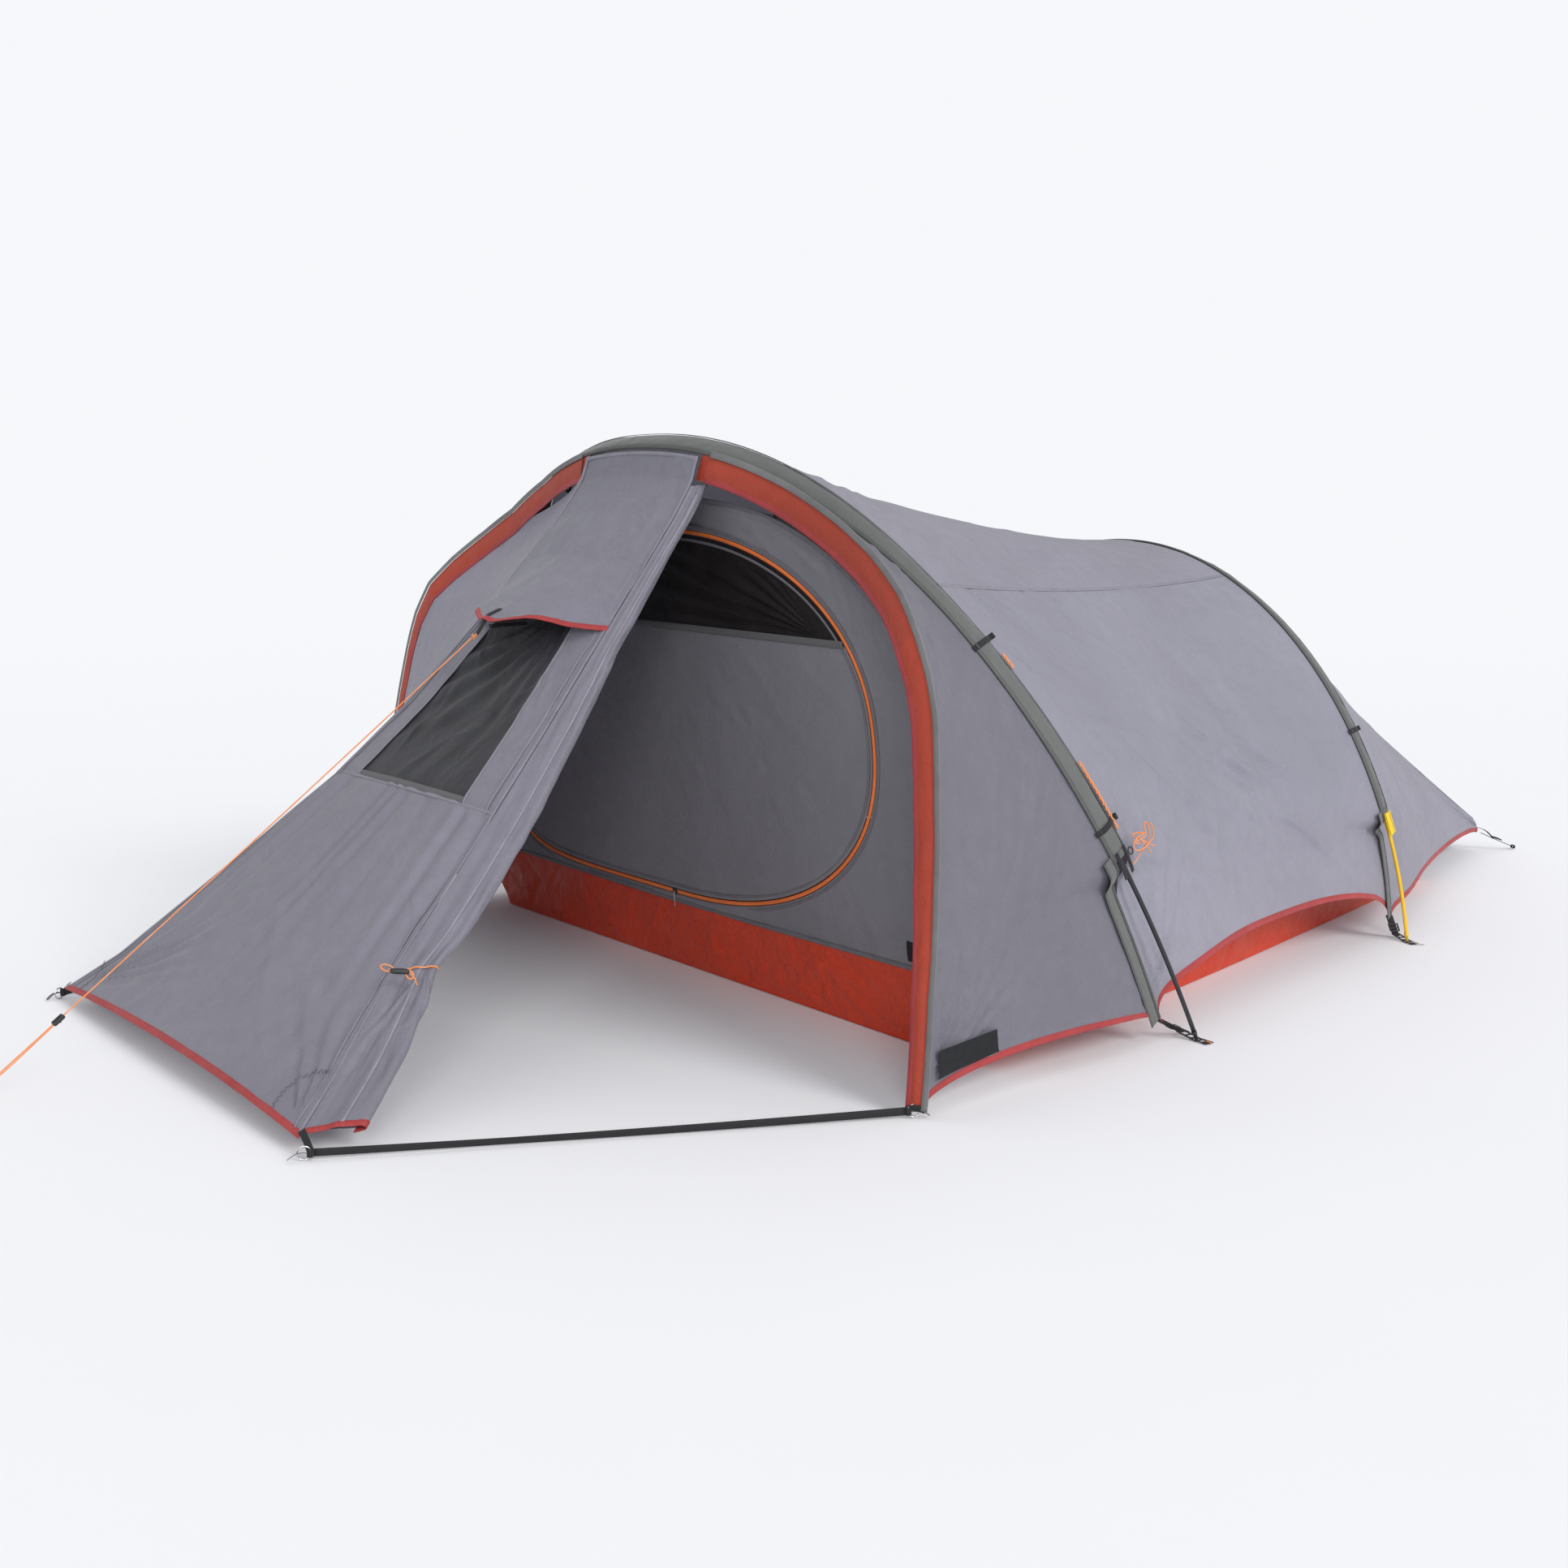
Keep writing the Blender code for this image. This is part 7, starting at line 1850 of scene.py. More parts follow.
for sgn, nm in ((1, "near"), (-1, "far")):
    ysd = np.linspace(TUB_FRONT_Y + 0.001, TUB_REAR_Y, 170)
    SG = np.zeros((len(ysd), 16, 3))
    for i, y in enumerate(ysd):
        w_, h_ = rim_w(y), rim_h(y)
        h_ = h_ + (float(tub_line(TUB_FRONT_W)) - TUB_H) * math.exp(-(y - TUB_FRONT_Y) / 0.10)
        for j, s in enumerate(np.linspace(0, 1, 16)):
            SG[i, j] = (sgn * (w_ * (1 + 0.004 * s) - foot_in(y) * (1 - s) ** 1.3), y + WALL_LEAN * h_ * s * max(0.0, 1 - (y - TUB_FRONT_Y) / 0.05), 0.0012 + (h_ - 0.0012) * s)
    panel("inner_tub_side_" + nm, SG, "tub", "groundsheet_orange", lambda U, V: creases(U, V, 60, 134, (0.0, 0.0), (2.2, 0.14), 1.3, 0.5, 0.06, 0.009, 0.0048) + 0.003 * fbm(U * 6, V * 8, 23), (0, 0.4, 0.1), rests=["ground"])
ex_ = np.linspace(-TUB_REAR_W, TUB_REAR_W, 60)
EG = np.stack([np.stack([ex_ * (1 + 0.004 * s), np.full(60, TUB_REAR_Y), np.full(60, 0.0012 + (0.115 - 0.0012) * s)], -1) for s in np.linspace(0, 1, 14)], 1)
panel("inner_tub_end", EG, "tub", "groundsheet_orange", lambda U, V: 0.003 * fbm(U * 8, V * 8, 24), (0, 0.4, 0.1), rests=["ground"])
FL = np.zeros((60, 90, 3))
for j, y in enumerate(np.linspace(TUB_FRONT_Y + 0.002, TUB_REAR_Y - 0.002, 90)):
    FL[:, j] = np.stack([np.linspace(-rim_w(y) + foot_in(y), rim_w(y) - foot_in(y), 60), np.full(60, y), np.full(60, 0.0010)], -1)
FL[..., 2] += 0.0022 * np.clip(vnoise(FL[..., 0] * 5, FL[..., 1] * 5, 25), 0, 1)
cloth("inner_floor_cloth", FL, M["tub"], (), None, uv=(FL[..., 0], FL[..., 1]))
# seam between the groundsheet and the wall
surface_strip("seam_tub_front", FG[:, -1] + fy * 0.0018 - np.array([0, 0, 0.002]), np.tile([0, -0.12, 1.0], (nf_, 1)), np.tile(fy, (nf_, 1)), 0.0090, mat="seam_inner")
# lower edge piping on the ground
tube("tub_piping", np.stack([xf_ * 0.917, np.full(nf_, TUB_FRONT_Y - 0.0010), np.full(nf_, 0.0024)], -1), 0.0018, "tub", 8)

# blank printed panel is left off; a plain woven label hangs at the seam
lab = np.zeros((9, 12, 3))
for i, q in enumerate(np.linspace(-0.5, 0.5, 9)):
    for j, s in enumerate(np.linspace(0, 1, 12)):
        lab[i, j] = wall_point(0.700 + q * 0.030, 0.168 + s * 0.040) + fy * (0.0040 + 0.0012 * math.sin(s * 3))
cloth("blank_label", lab, M["label"], (), None)


# canopy of the bedroom
def canopy_fine(nt):
    tau = np.linspace(0, math.pi, nt)
    za = float(hoop_t_for_z(TUB_H / W_H, 1.0, W_N))
    cols = np.concatenate([np.linspace(0.0, 1.0, 60), 1 + np.linspace(0, 1, 30)[1:]])
    G = np.zeros((nt, len(cols), 3))
    xB, zB = super_arch(tau, 0.535, 0.690, 2.1)
    B = np.stack([xB, 1.035 - 0.215 * (zB + TUB_H), zB + TUB_H + 0.0016], -1)
    tt2 = za + (math.pi - 2 * za) * tau / math.pi
    xF, zF = super_arch(tt2, W_A, W_H, W_N)
    A = wall_point(xF, np.maximum(zF, TUB_H + 0.0016))
    E = np.stack([TUB_REAR_W * 1.004 * np.cos(tau), np.full(nt, TUB_REAR_Y - 0.0006), np.full(nt, 0.117)], -1)
    for j, c in enumerate(cols):
        if c <= 1:
            q = lerp(A, B, c)
            q[:, 2] -= 0.030 * 4 * c * (1 - c) * np.maximum(0.0, np.sin(tau)) ** 1.5
        else:
            s = c - 1
            q = lerp(B, E, s)
            q[:, 2] -= 0.022 * 4 * s * (1 - s) * np.sin(tau)
        for i in (0, nt - 1):
            y = q[i, 1]
            q[i, 0] = math.copysign(rim_w(y) * 1.004, math.cos(tau[i]))
            q[i, 2] = rim_h(y) + 0.0016
        G[:, j] = q
    return G


CN = canopy_fine(110)
panel("inner_canopy_cloth", CN, "canopy", "inner_cloth", lambda U, V: 0.0060 * fbm(U * 3, V * 3, 26) + creases(U, V, 40, 141, (0.1, 0.1), (2.0, 1.6), 1.57, 0.4, 0.16, 0.014, 0.0050), (0, 0.3, 0.2), ["inner_canopy"], ["inner_tub_cloth"], held="hung")
# arch seam of the inner tent, tape between wall and canopy
za_ = float(hoop_t_for_z(TUB_H / W_H, 1.0, W_N))
tw = np.linspace(za_ + 0.01, math.pi - za_ - 0.01, 200)
xw_, zw_ = super_arch(tw, W_A, W_H, W_N)
WP = wall_point(xw_ * 0.997, zw_ * 0.997)
Wt = unit(np.gradient(WP, axis=0))
surface_strip("seam_inner_arch", WP + fy * 0.0016, np.cross(Wt, fy), np.tile(fy, (200, 1)), 0.0100, mat="seam_inner")


# toggled hangers that clip the inner tent to the sleeves
def hanger(name, x, z_, t):
    a = wall_point(x, z_) + fy * 0.002
    b = edge1_rear(t) if np.ndim(t) == 0 else t
    b = np.asarray(b) + np.array([0, -0.004, -0.010])
    P_ = np.array([lerp(a, b, q) for q in np.linspace(0, 1, 12)])
    T_ = unit(b - a)
    A_ = unit(np.cross(T_, [0.0, -1.0, 0.2]))
    strip(name, P_, np.tile(A_, (12, 1)), np.tile(np.cross(A_, T_), (12, 1)), 0.0100, 0.0014, "web")
    block(name + "_toggle", lerp(a, b, 0.62), (A_, T_, np.cross(A_, T_)), (0.026, 0.0075, 0.0065), "plastic", 0.6)


for i, (t_, far_) in enumerate(((1.25, 0), (1.25, 1), (0.74, 0), (0.74, 1))):
    p_ = hoop1(t_)
    ang = t_
    xw0, zw0 = super_arch(t_ * 1.0, W_A * 0.995, W_H * 0.995, W_N)
    sg = -1 if far_ else 1
    a = wall_point(float(xw0) * sg, float(zw0)) + fy * 0.002
    b = edge1_rear(t_) * np.array([sg, 1, 1]) + np.array([0, 0.0, -0.006])
    P_ = np.array([lerp(a, b, q) for q in np.linspace(0, 1, 12)])
    T_ = unit(b - a)
    A_ = unit(np.cross(T_, [0.0, -1.0, 0.2]))
    strip(f"hanger_{i}", P_, np.tile(A_, (12, 1)), np.tile(np.cross(A_, T_), (12, 1)), 0.0100, 0.0014, "web")
    block(f"hanger_{i}_toggle", lerp(a, b, 0.45), (A_, T_, np.cross(A_, T_)), (0.024, 0.0075, 0.0065), "plastic", 0.6)


# ------------------------------------------------------------------ ground webbing, rings, corner hardware
def mir(p):
    return np.array([-p[0], p[1], p[2]])


def torus(name, centre, axis, R, r, mat, body, replaces=()):
    axis = unit(axis)
    a = unit(np.cross(axis, [0.0, 0.0, 1.0]) if abs(axis[2]) < 0.9 else np.cross(axis, [1.0, 0.0, 0.0]))
    b = np.cross(axis, a)
    V, F = [], []
    n, m = 56, 16
    for i in range(n):
        t = 2 * math.pi * i / n
        d = a * math.cos(t) + b * math.sin(t)
        for k in range(m):
            V.append(np.asarray(centre) + d * (R + r * math.cos(2 * math.pi * k / m)) + axis * r * math.sin(2 * math.pi * k / m))
    for i in range(n):
        for k in range(m):
            F.append((i * m + k, i * m + (k + 1) % m, ((i + 1) % n) * m + (k + 1) % m, ((i + 1) % n) * m + k))
    return mesh_object(name, V, F, M[mat], None, body=body, replaces=replaces)


def webbing_loop(name, centre, d, across, r_in, w, t, mat="web"):
    """sewn eye round a ring or cord"""
    n_ = unit(np.cross(across, d))
    P_, N_ = [], []
    for a in np.linspace(0, 2 * math.pi, 28, endpoint=False):
        e = d * math.cos(a) + n_ * math.sin(a)
        P_.append(centre + e * (r_in + t / 2) - unit(across) * w / 2)
        N_.append(e)
    return profile_sweep(name, np.array(P_), np.tile(unit(across), (28, 1)), np.array(N_), tape_profile(w, t, 2), M[mat], closed=True)


EYE = 0.0042
B0 = np.array([0.603, -1.628, 0.0128])
C0 = np.array([1.003, -0.742, 0.0128])
dirn = unit(C0 - B0)
UP = np.array([0.0, 0.0, 1.0])


def eye_centre(end, direction):
    ro = EYE + 0.0016
    return end + direction * math.sqrt(ro * ro - 0.0008 ** 2)


for sgn, nm in ((1, "near"), (-1, "far")):
    m_ = np.array([sgn, 1, 1])
    s_ = np.linspace(0, 1, 90)
    P_ = B0 + (C0 - B0) * s_[:, None] - np.stack([0 * s_, 0 * s_, 0.0035 * 4 * s_ * (1 - s_)], -1)
    roll = 0.35 * np.sin(s_ * 3.1 + 0.4)
    side_ = unit(np.cross(dirn, UP))
    A_ = UP[None] * np.cos(roll)[:, None] + side_[None] * np.sin(roll)[:, None]
    N_ = np.cross(np.tile(dirn, (90, 1)), A_)
    strip("sill_webbing_" + nm, P_ * m_, A_ * m_, N_ * m_, 0.0140, 0.0015, "web", ["sill_strap_" + nm], n=90)
    eb = eye_centre(P_[0], -dirn)
    ec = eye_centre(P_[-1], dirn)
    for which, e, d in (("nose", eb, -dirn), ("door", ec, dirn)):
        webbing_loop(f"sill_eye_{which}_{nm}", e * m_, d * m_, UP, EYE, 0.0140, 0.0015)
        cen = e + d * (RING_R - 0.0013)
        cen[2] = 0.0128
        ax_ = unit(np.cross(d, UP))
        torus(f"peg_ring_{which}_{nm}", cen * m_, ax_ * m_, RING_R, RING_WIRE, "steel", f"ring_{which}_{nm}_body", [f"ring_{which}_{nm}"])
    # folded tails of webbing that sew the rings to the cloth corners, and the loose free end
    for which, top, e, d in (("nose", nose(1.0, KH) + np.array([0.0, 0.0, 0.004]), eb, -dirn), ("door", gutter_outer(GUT_T0 * 1.5) + np.array([0.004, 0.0, -0.004]), ec, dirn)):
        a, b = top, e + np.array([0, 0, 0.004])
        Q = np.array([lerp(a, b, q) + np.array([0, 0, 0.002 * math.sin(math.pi * q)]) for q in np.linspace(0, 1, 12)])
        T_ = unit(b - a)
        A2 = unit(np.cross(T_, side_))
        strip(f"corner_web_{which}_{nm}", Q * m_, np.tile(A2, (12, 1)) * m_, np.tile(side_, (12, 1)) * m_, 0.0120, 0.0016, "web")
        f0 = e + d * 0.004 + side_ * 0.002
        f1 = e + d * 0.036 + side_ * 0.006
        tail = np.array([lerp(f0, f1, q) + np.array([0, 0, -0.0085 * q * q + 0.003 * math.sin(3 * q)]) for q in np.linspace(0, 1, 14)])
        tail[:, 2] = np.maximum(tail[:, 2], 0.0022)
        strip(f"peg_loop_{which}_{nm}", tail * m_, np.tile(UP * 0.35 + side_, (14, 1)) * m_, np.tile(np.cross(d, unit(UP * 0.35 + side_)), (14, 1)) * m_, 0.0060, 0.0013, "webgrey")


# slotted webbing that takes the pole tips, with a ladder buckle
def foot_web(name, foot, toward, lead, tail, node, sgn):
    m_ = np.array([sgn, 1, 1])
    foot = np.asarray(foot, float)
    d = unit(np.asarray(toward, float) - foot)
    ac = unit(np.cross(d, UP))
    hole, bar, width = 0.0118, 0.0032, 0.0215
    starts = [-hole / 2 - 2 * (hole + bar), -hole / 2 - (hole + bar), -hole / 2, hole / 2 + bar]
    xs_ = [-lead]
    for st in starts:
        xs_ += [st, st + hole]
    xs_ += [tail]
    fine = []
    for a, b in zip(xs_[:-1], xs_[1:]):
        fine += list(np.linspace(a, b, 4)[:-1])
    fine.append(xs_[-1])
    offs = [-0.5, -0.42, -0.335, 0.0, 0.335, 0.42, 0.5]
    G = np.zeros((len(fine), len(offs), 3))
    for i, x in enumerate(fine):
        z = 0.0022 + max(0.0, -x) * 0.16
        for j, o in enumerate(offs):
            G[i, j] = foot + d * x + ac * o * width + np.array([0, 0, z])
    holes = [(s, s + hole) for s in starts]
    mk = [[not (2 <= j <= 3 and any(a - 1e-6 <= fine[i] < b - 1e-6 for a, b in holes)) for j in range(len(offs) - 1)] for i in range(len(fine) - 1)]
    # closed body: top and bottom skins
    P_ = G.reshape(-1, 3)
    F0 = grid_faces(len(fine), len(offs), mask=mk)
    t = 0.0008
    V = np.concatenate([P_ + UP * t, P_ - UP * t])
    n0 = len(P_)
    F = list(F0) + [tuple(i + n0 for i in reversed(f)) for f in F0]
    cnt = {}
    for f in F0:
        for i in range(4):
            cnt[(f[i], f[(i + 1) % 4])] = 1
    for (a, b) in list(cnt):
        if (b, a) not in cnt:
            F.append((b, a, a + n0, b + n0))
    used = sorted({i for f in F for i in f})
    ix = {o: k for k, o in enumerate(used)}
    UVl = [((i % n0) // len(offs) * 0.004, (i % n0) % len(offs) * 0.004) for i in used]
    V = V[used] * m_
    F = [tuple(ix[i] for i in f) for f in F]
    if sgn < 0:
        F = [tuple(reversed(f)) for f in F]
    mesh_object(name, V, F, M["web"], UVl, smooth=False, replaces=[node])
    # webbing on up to the hem corner with its plastic ladder buckle
    s0 = foot - d * lead + np.array([0, 0, 0.0022 + lead * 0.16])
    return s0, d, ac


def buckle(name, c, d, ac, n_, body="shelter"):
    """ladder-lock: frame with two bars"""
    for k, o in enumerate((-0.0118, 0.0118)):
        block(f"{name}_side_{k}", c + ac * o, (ac, d, n_), (0.0030, 0.0210, 0.0040), "plastic", 0.6)
    for k, (s, h) in enumerate(((-0.0095, 0.0), (-0.0015, 0.0012), (0.0090, 0.0))):
        block(f"{name}_bar_{k}", c + d * s + n_ * h, (ac, d, n_), (0.0230, 0.0032, 0.0034), "plastic", 0.6)


for sgn, nm in ((1, "near"), (-1, "far")):
    m_ = np.array([sgn, 1, 1])
    for which, ft, tw_, lead, tail_, up_to in (
        ("front", (H1_A, H1_Y - 0.0014, 0.0), (H1_A + 0.5, H1_Y - 0.02, 0.0), 0.044, 0.034, edge1_front(0.030)),
        ("rear", (H2_A, H2_Y - 0.0006, 0.0), (H2_A + 0.5, H2_Y - 0.18, 0.0), 0.046, 0.030, edge2_front(0.050)),
    ):
        s0, d, ac = foot_web(f"pole_web_{which}_{nm}", ft, tw_, lead, tail_, f"ladder_{which}_{nm}", sgn)
        b = np.asarray(up_to, float) + np.array([-0.002, 0.0, 0.004])
        a = s0
        T_ = unit(b - a)
        n_ = unit(np.cross(ac, T_))
        n_ = n_ if n_[2] > 0 else -n_
        Q = np.array([lerp(a, b, q) for q in np.linspace(0, 1, 12)])
        strip(f"corner_web_{which}_pole_{nm}", Q * m_, np.tile(ac, (12, 1)) * m_, np.tile(n_, (12, 1)) * m_, 0.0190, 0.0016, "web")
        buckle(f"ladder_lock_{which}_{nm}", (lerp(a, b, 0.35) + n_ * 0.0030) * m_, T_ * m_, ac * m_, n_ * m_)
        # pull tab under the buckle
        tip_ = np.array([lerp(a, a - T_ * 0.020 + n_ * 0.006, q) for q in np.linspace(0, 1, 8)])
        tip_[:, 2] = np.maximum(tip_[:, 2] + 0.004, 0.004)
        strip(f"pull_tab_{which}_{nm}", tip_ * m_, np.tile(ac, (8, 1)) * m_, np.tile(n_, (8, 1)) * m_, 0.0100, 0.0014, "web")
    # rear peg corner
    rp = np.array([RC + np.array([0.006, 0.006, -0.020]), lerp(RC, np.array(REAR_PEG), 0.45) + np.array([0, 0, -0.010]), np.array(REAR_PEG) + np.array([-0.006, -0.010, 0.0055])])
    Q = round_path(rp, 30)
    rdir = unit(rp[-1] - rp[0])
    ra = unit(np.cross(rdir, UP))
    strip("corner_webbing_" + nm, Q * m_, np.tile(ra, (30, 1)) * m_, np.tile(np.cross(ra, rdir), (30, 1)) * m_, 0.0110, 0.0015, "web", ["corner_strap_" + nm])
    webbing_loop("corner_eye_" + nm, (Q[-1] + rdir * 0.0052) * m_, rdir * m_, ra * m_, 0.0040, 0.0110, 0.0015)
    P2 = np.array([lerp(RC + np.array([0.004, -0.004, -0.004]), Q[12], q) + np.array([0, 0, 0.006 * math.sin(math.pi * q)]) for q in np.linspace(0, 1, 16)])
    strip("corner_webbing_upper_" + nm, P2 * m_, np.tile(ra, (16, 1)) * m_, np.tile(np.cross(ra, rdir), (16, 1)) * m_, 0.0110, 0.0015, "web")
    c_ = Q[15] + np.array([0, 0, 0.0050])
    buckle("corner_lock_" + nm, c_ * m_, rdir * m_, ra * m_, unit(np.cross(ra, rdir)) * m_)


# webbing loops sewn over the sleeves
def over_sleeve(name, fn, fr, t, out, node, sgn):
    m_ = np.array([sgn, 1, 1])
    w, n = fr(np.array([t]))
    w, n = w[0], n[0]
    p = fn(np.array([t]))[0]
    tan = unit(np.cross(w, n))
    half = 0.0240
    path = [p - w * (half + 0.006) + n * 0.0015, p - w * half + n * 0.0044, p - w * half * 0.6 + n * 0.0100, p + n * 0.0112, p + w * half * 0.6 + n * 0.0104, p + w * half + n * 0.0060, p + w * (half + out) + n * 0.0058]
    Q = round_path(catmull(path, 6), 44, 2)
    T_ = unit(np.gradient(Q, axis=0))
    N_ = unit(np.cross(np.tile(tan, (44, 1)), T_))
    N_ = N_ * np.sign(np.sum(N_ * n, axis=1, keepdims=True))
    strip(name, Q * m_, np.tile(tan, (44, 1)) * m_, N_ * m_, 0.0115, 0.0016, "web", [node])
    e = Q[-1] + T_[-1] * 0.0040
    webbing_loop(name + "_eye", e * m_, T_[-1] * m_, tan * m_, 0.0032, 0.0115, 0.0013)
    for q in (7, 36):
        block(f"{name}_tack_{q}", (Q[q] + N_[q] * 0.0009) * m_, (tan * m_, T_[q] * m_, N_[q] * m_), (0.0100, 0.0030, 0.0010), "plastic", 0.4)
    return Q[-1], T_[-1], tan, N_[-1]


for sgn, nm in ((1, "near"), (-1, "far")):
    over_sleeve("strap_upper_" + nm, hoop1, frame1, 0.690, 0.012, "sleeve_strap_upper_" + nm, sgn)
    low_end = over_sleeve("strap_lower_" + nm, hoop1, frame1, 0.335, 0.010, "sleeve_strap_lower_" + nm, sgn)
    over_sleeve("strap_rear_" + nm, hoop2, frame2, 0.560, 0.008, "sleeve_strap_rear_" + nm, sgn)
    # black tab and small ring at the end of each front sleeve
    m_ = np.array([sgn, 1, 1])
    w, n = frame1(np.array([T1_END - 0.004]))
    w, n = w[0], n[0]
    p = hoop1(np.array([T1_END - 0.004]))[0]
    tan = unit(np.cross(w, n))
    tan = tan if tan[2] < 0 else -tan
    for o, k in ((0.0135, "aft"), (-0.0125, "fore")):
        Q = np.array([p + w * o + n * 0.0095 - tan * 0.020 * (1 - q) + tan * 0.036 * q for q in np.linspace(0, 1, 14)])
        Q = Q - n * (0.006 * np.linspace(0, 1, 14) ** 2)[:, None]
        strip(f"sleeve_tab_{k}_{nm}", Q * m_, np.tile(w, (14, 1)) * m_, np.tile(n, (14, 1)) * m_, 0.0100, 0.0015, "web")
    torus("sleeve_ring_" + nm, (p + w * 0.030 + n * 0.007) * m_, n * m_, 0.0070, 0.0012, "plastic", "shelter")

# ------------------------------------------------------------------ nose line
g0, g1 = np.array(GUY_TOP), np.array(GUY_END)


def guy_point(s):
    return g0 + (g1 - g0) * s - np.array([0, 0, 0.004 * 4 * s * (1 - s)])


gl = [guy_point(s) for s in np.linspace(0, 1, 90)]
ld = np.array([0.0, -1.0, 0.0])
lr = 0.013
lc = g1 + ld * (lr + 0.002) + np.array([0.0, 0.0, -0.0035])
ring_pts = [lc + ld * lr * math.cos(a) + np.array([lr * math.sin(a), 0.0, 0.0004 * (a + 2.6)]) for a in np.linspace(-2.55, 2.62, 60)]
tail0 = ring_pts[-1]
path_g = gl + ring_pts
GD = 0.0026


def cord_piece(name, pts, d, mat, replaces=(), body="shelter"):
    P_ = np.array(pts)
    P_[:, 2] = np.maximum(P_[:, 2], d / 2 + 0.0002)
    ob = tube(name, P_, d / 2, mat, 12, replaces, body)
    return ob, P_ + np.array([0, Y_SHIFT, 0])


ob, pth = cord_piece("nose_line", path_g, GD, "cord", ["guyline"])
ts_ = 0.842
tc = guy_point(ts_)
loc = unit(guy_point(ts_ + 0.002) - guy_point(ts_ - 0.002))
sxv = np.array([1.0, 0.0, 0.0])
upv = unit(np.cross(sxv, loc))
# second leg of the line, beyond the tensioner, back from the peg loop
leg = []
for q in np.linspace(0, 1, 60):
    leg.append(lerp(tc + sxv * 0.0040 + loc * 0.010, g1 + sxv * 0.0030 + np.array([0, 0.002, 0.0]), q) + np.array([0.0024 * math.sin(math.pi * q), 0, -0.0005 * 4 * q * (1 - q)]))
ob2, pth2 = cord_piece("nose_line_return", leg, GD, "cord")


# tensioner: flat bar with three holes, rides with its own body
def tensioner():
    axes = (sxv, loc, upv)
    obs = []
    obs.append(block("tensioner_bar_a", tc - loc * 0.0100, axes, (0.0130, 0.0040, 0.0056), "plastic", 0.7, "tensioner", ["guy_tensioner"]))
    obs.append(block("tensioner_bar_b", tc + loc * 0.0100, axes, (0.0130, 0.0040, 0.0056), "plastic", 0.7, "tensioner"))
    obs.append(block("tensioner_bar_c", tc + upv * 0.0034, axes, (0.0130, 0.0040, 0.0030), "plastic", 0.7, "tensioner"))
    for o in (-0.0056, 0.0056):
        obs.append(block(f"tensioner_side_{'l' if o < 0 else 'r'}", tc + sxv * o, axes, (0.0030, 0.0220, 0.0070), "plastic", 0.7, "tensioner"))
    return obs


tensioner()
# knot at the hood and its sewn tab
kn = g0 + np.array([0, 0.0, 0.0])
knot = []
for a in np.linspace(0, 2.6 * math.pi, 50):
    knot.append(kn + sxv * 0.0040 * math.cos(a) + upv * 0.0042 * math.sin(a) + loc * (0.004 + 0.0022 * a / 2.0))
tube("nose_line_knot", knot, GD * 0.5, "cord", 10)
tb0 = hood(0.0, 0.97) + np.array([0, -0.002, 0.006])
Q = round_path(np.array([hood(0.0, 0.86) + np.array([0, -0.003, 0.003]), tb0, g0 + np.array([0, 0.004, 0.003]), g0 + np.array([0, -0.001, -0.0015])]), 26, 3)
T_ = unit(np.gradient(Q, axis=0))
strip("hood_tab", Q, np.tile(sxv, (26, 1)), np.cross(np.tile(sxv, (26, 1)), T_), 0.0150, 0.0018, "web", body="vent")

# strut that props the hood open: stiff webbing-covered rod from the line tab to the vent's upper near corner
st0 = nose(0.0, float(k_for_z(0.768))) + np.array([0.0, -0.0085, 0.0050])
st1 = np.array([0.0, -0.9640, 0.7770])
tube("vent_prop", [lerp(st0, st1, q) for q in np.linspace(0, 1, 20)], 0.0036, "plastic", 14, ["vent_strut"], "vent")
corner_in = NLD[i1_ - 3, 12] + NO[i1_ - 3, 12] * -0.002
prop2 = [lerp(hood(0.06, 0.97) + np.array([0.0, 0.004, -0.004]), hood(0.50, 0.55) + np.array([0.0, 0.012, -0.030]), q) for q in np.linspace(0, 1, 24)]
prop2 = np.array(prop2)
Tn = unit(np.gradient(prop2, axis=0))
strip("vent_prop_webbing", prop2, np.tile(unit(np.array([0.0, 0.45, 1.0])), (24, 1)), np.cross(Tn, np.tile(unit(np.array([0.0, 0.45, 1.0])), (24, 1))), 0.0110, 0.0024, "web", body="vent")

# ------------------------------------------------------------------ tie toggle and its elastic round the gathered door
kt = float(k_for_z(0.235))
tp = nose(1.0, kt) + np.array([0.045, -0.012, 0.012])
tube("tie_toggle_body", [tp + np.array([-0.008, -0.0125, 0.001]), tp + np.array([-0.0065, -0.0105, 0.001]), tp + np.array([-0.003, -0.005, 0.0005]), tp + np.array([0.004, 0.006, 0.0]), tp + np.array([0.007, 0.0110, -0.001]), tp + np.array([0.009, 0.0140, -0.001])], [0.0030, 0.0046, 0.0050, 0.0050, 0.0046, 0.0030], "plastic", 18, ["tie_toggle"])
zi = int(np.argmin(np.abs(RZ - 0.235)))
sec_pts = DG[zi]
wrap = [nose(0.985, kt) + np.array([0, -0.006, 0.004])]
for j in range(2, int(len(SEC) * 0.52), 3):
    nrm_ = DGN[zi, j]
    wrap.append(sec_pts[j] + np.array([0.3, -0.75, 0.55]) * 0.0052 * (1 if j < len(SEC) * 0.3 else 0.3) + np.array([0.6, 0.2, 0]) * 0.003)
wrap = round_path(np.array(wrap), 60, 3)
tube("tie_elastic", wrap, 0.0015, "cord", 10)
loopA = []
for a in np.linspace(0, 2 * math.pi, 40):
    loopA.append(tp + np.array([-0.006, -0.008, 0.002]) + np.array([-0.011, -0.007, 0.003]) * (1 + math.cos(a)) * 0.9 + np.array([0.001, 0.003, 0.005]) * math.sin(a) * 0.9)
tube("tie_loop_near", loopA, 0.0014, "cord", 10)
loopB = []
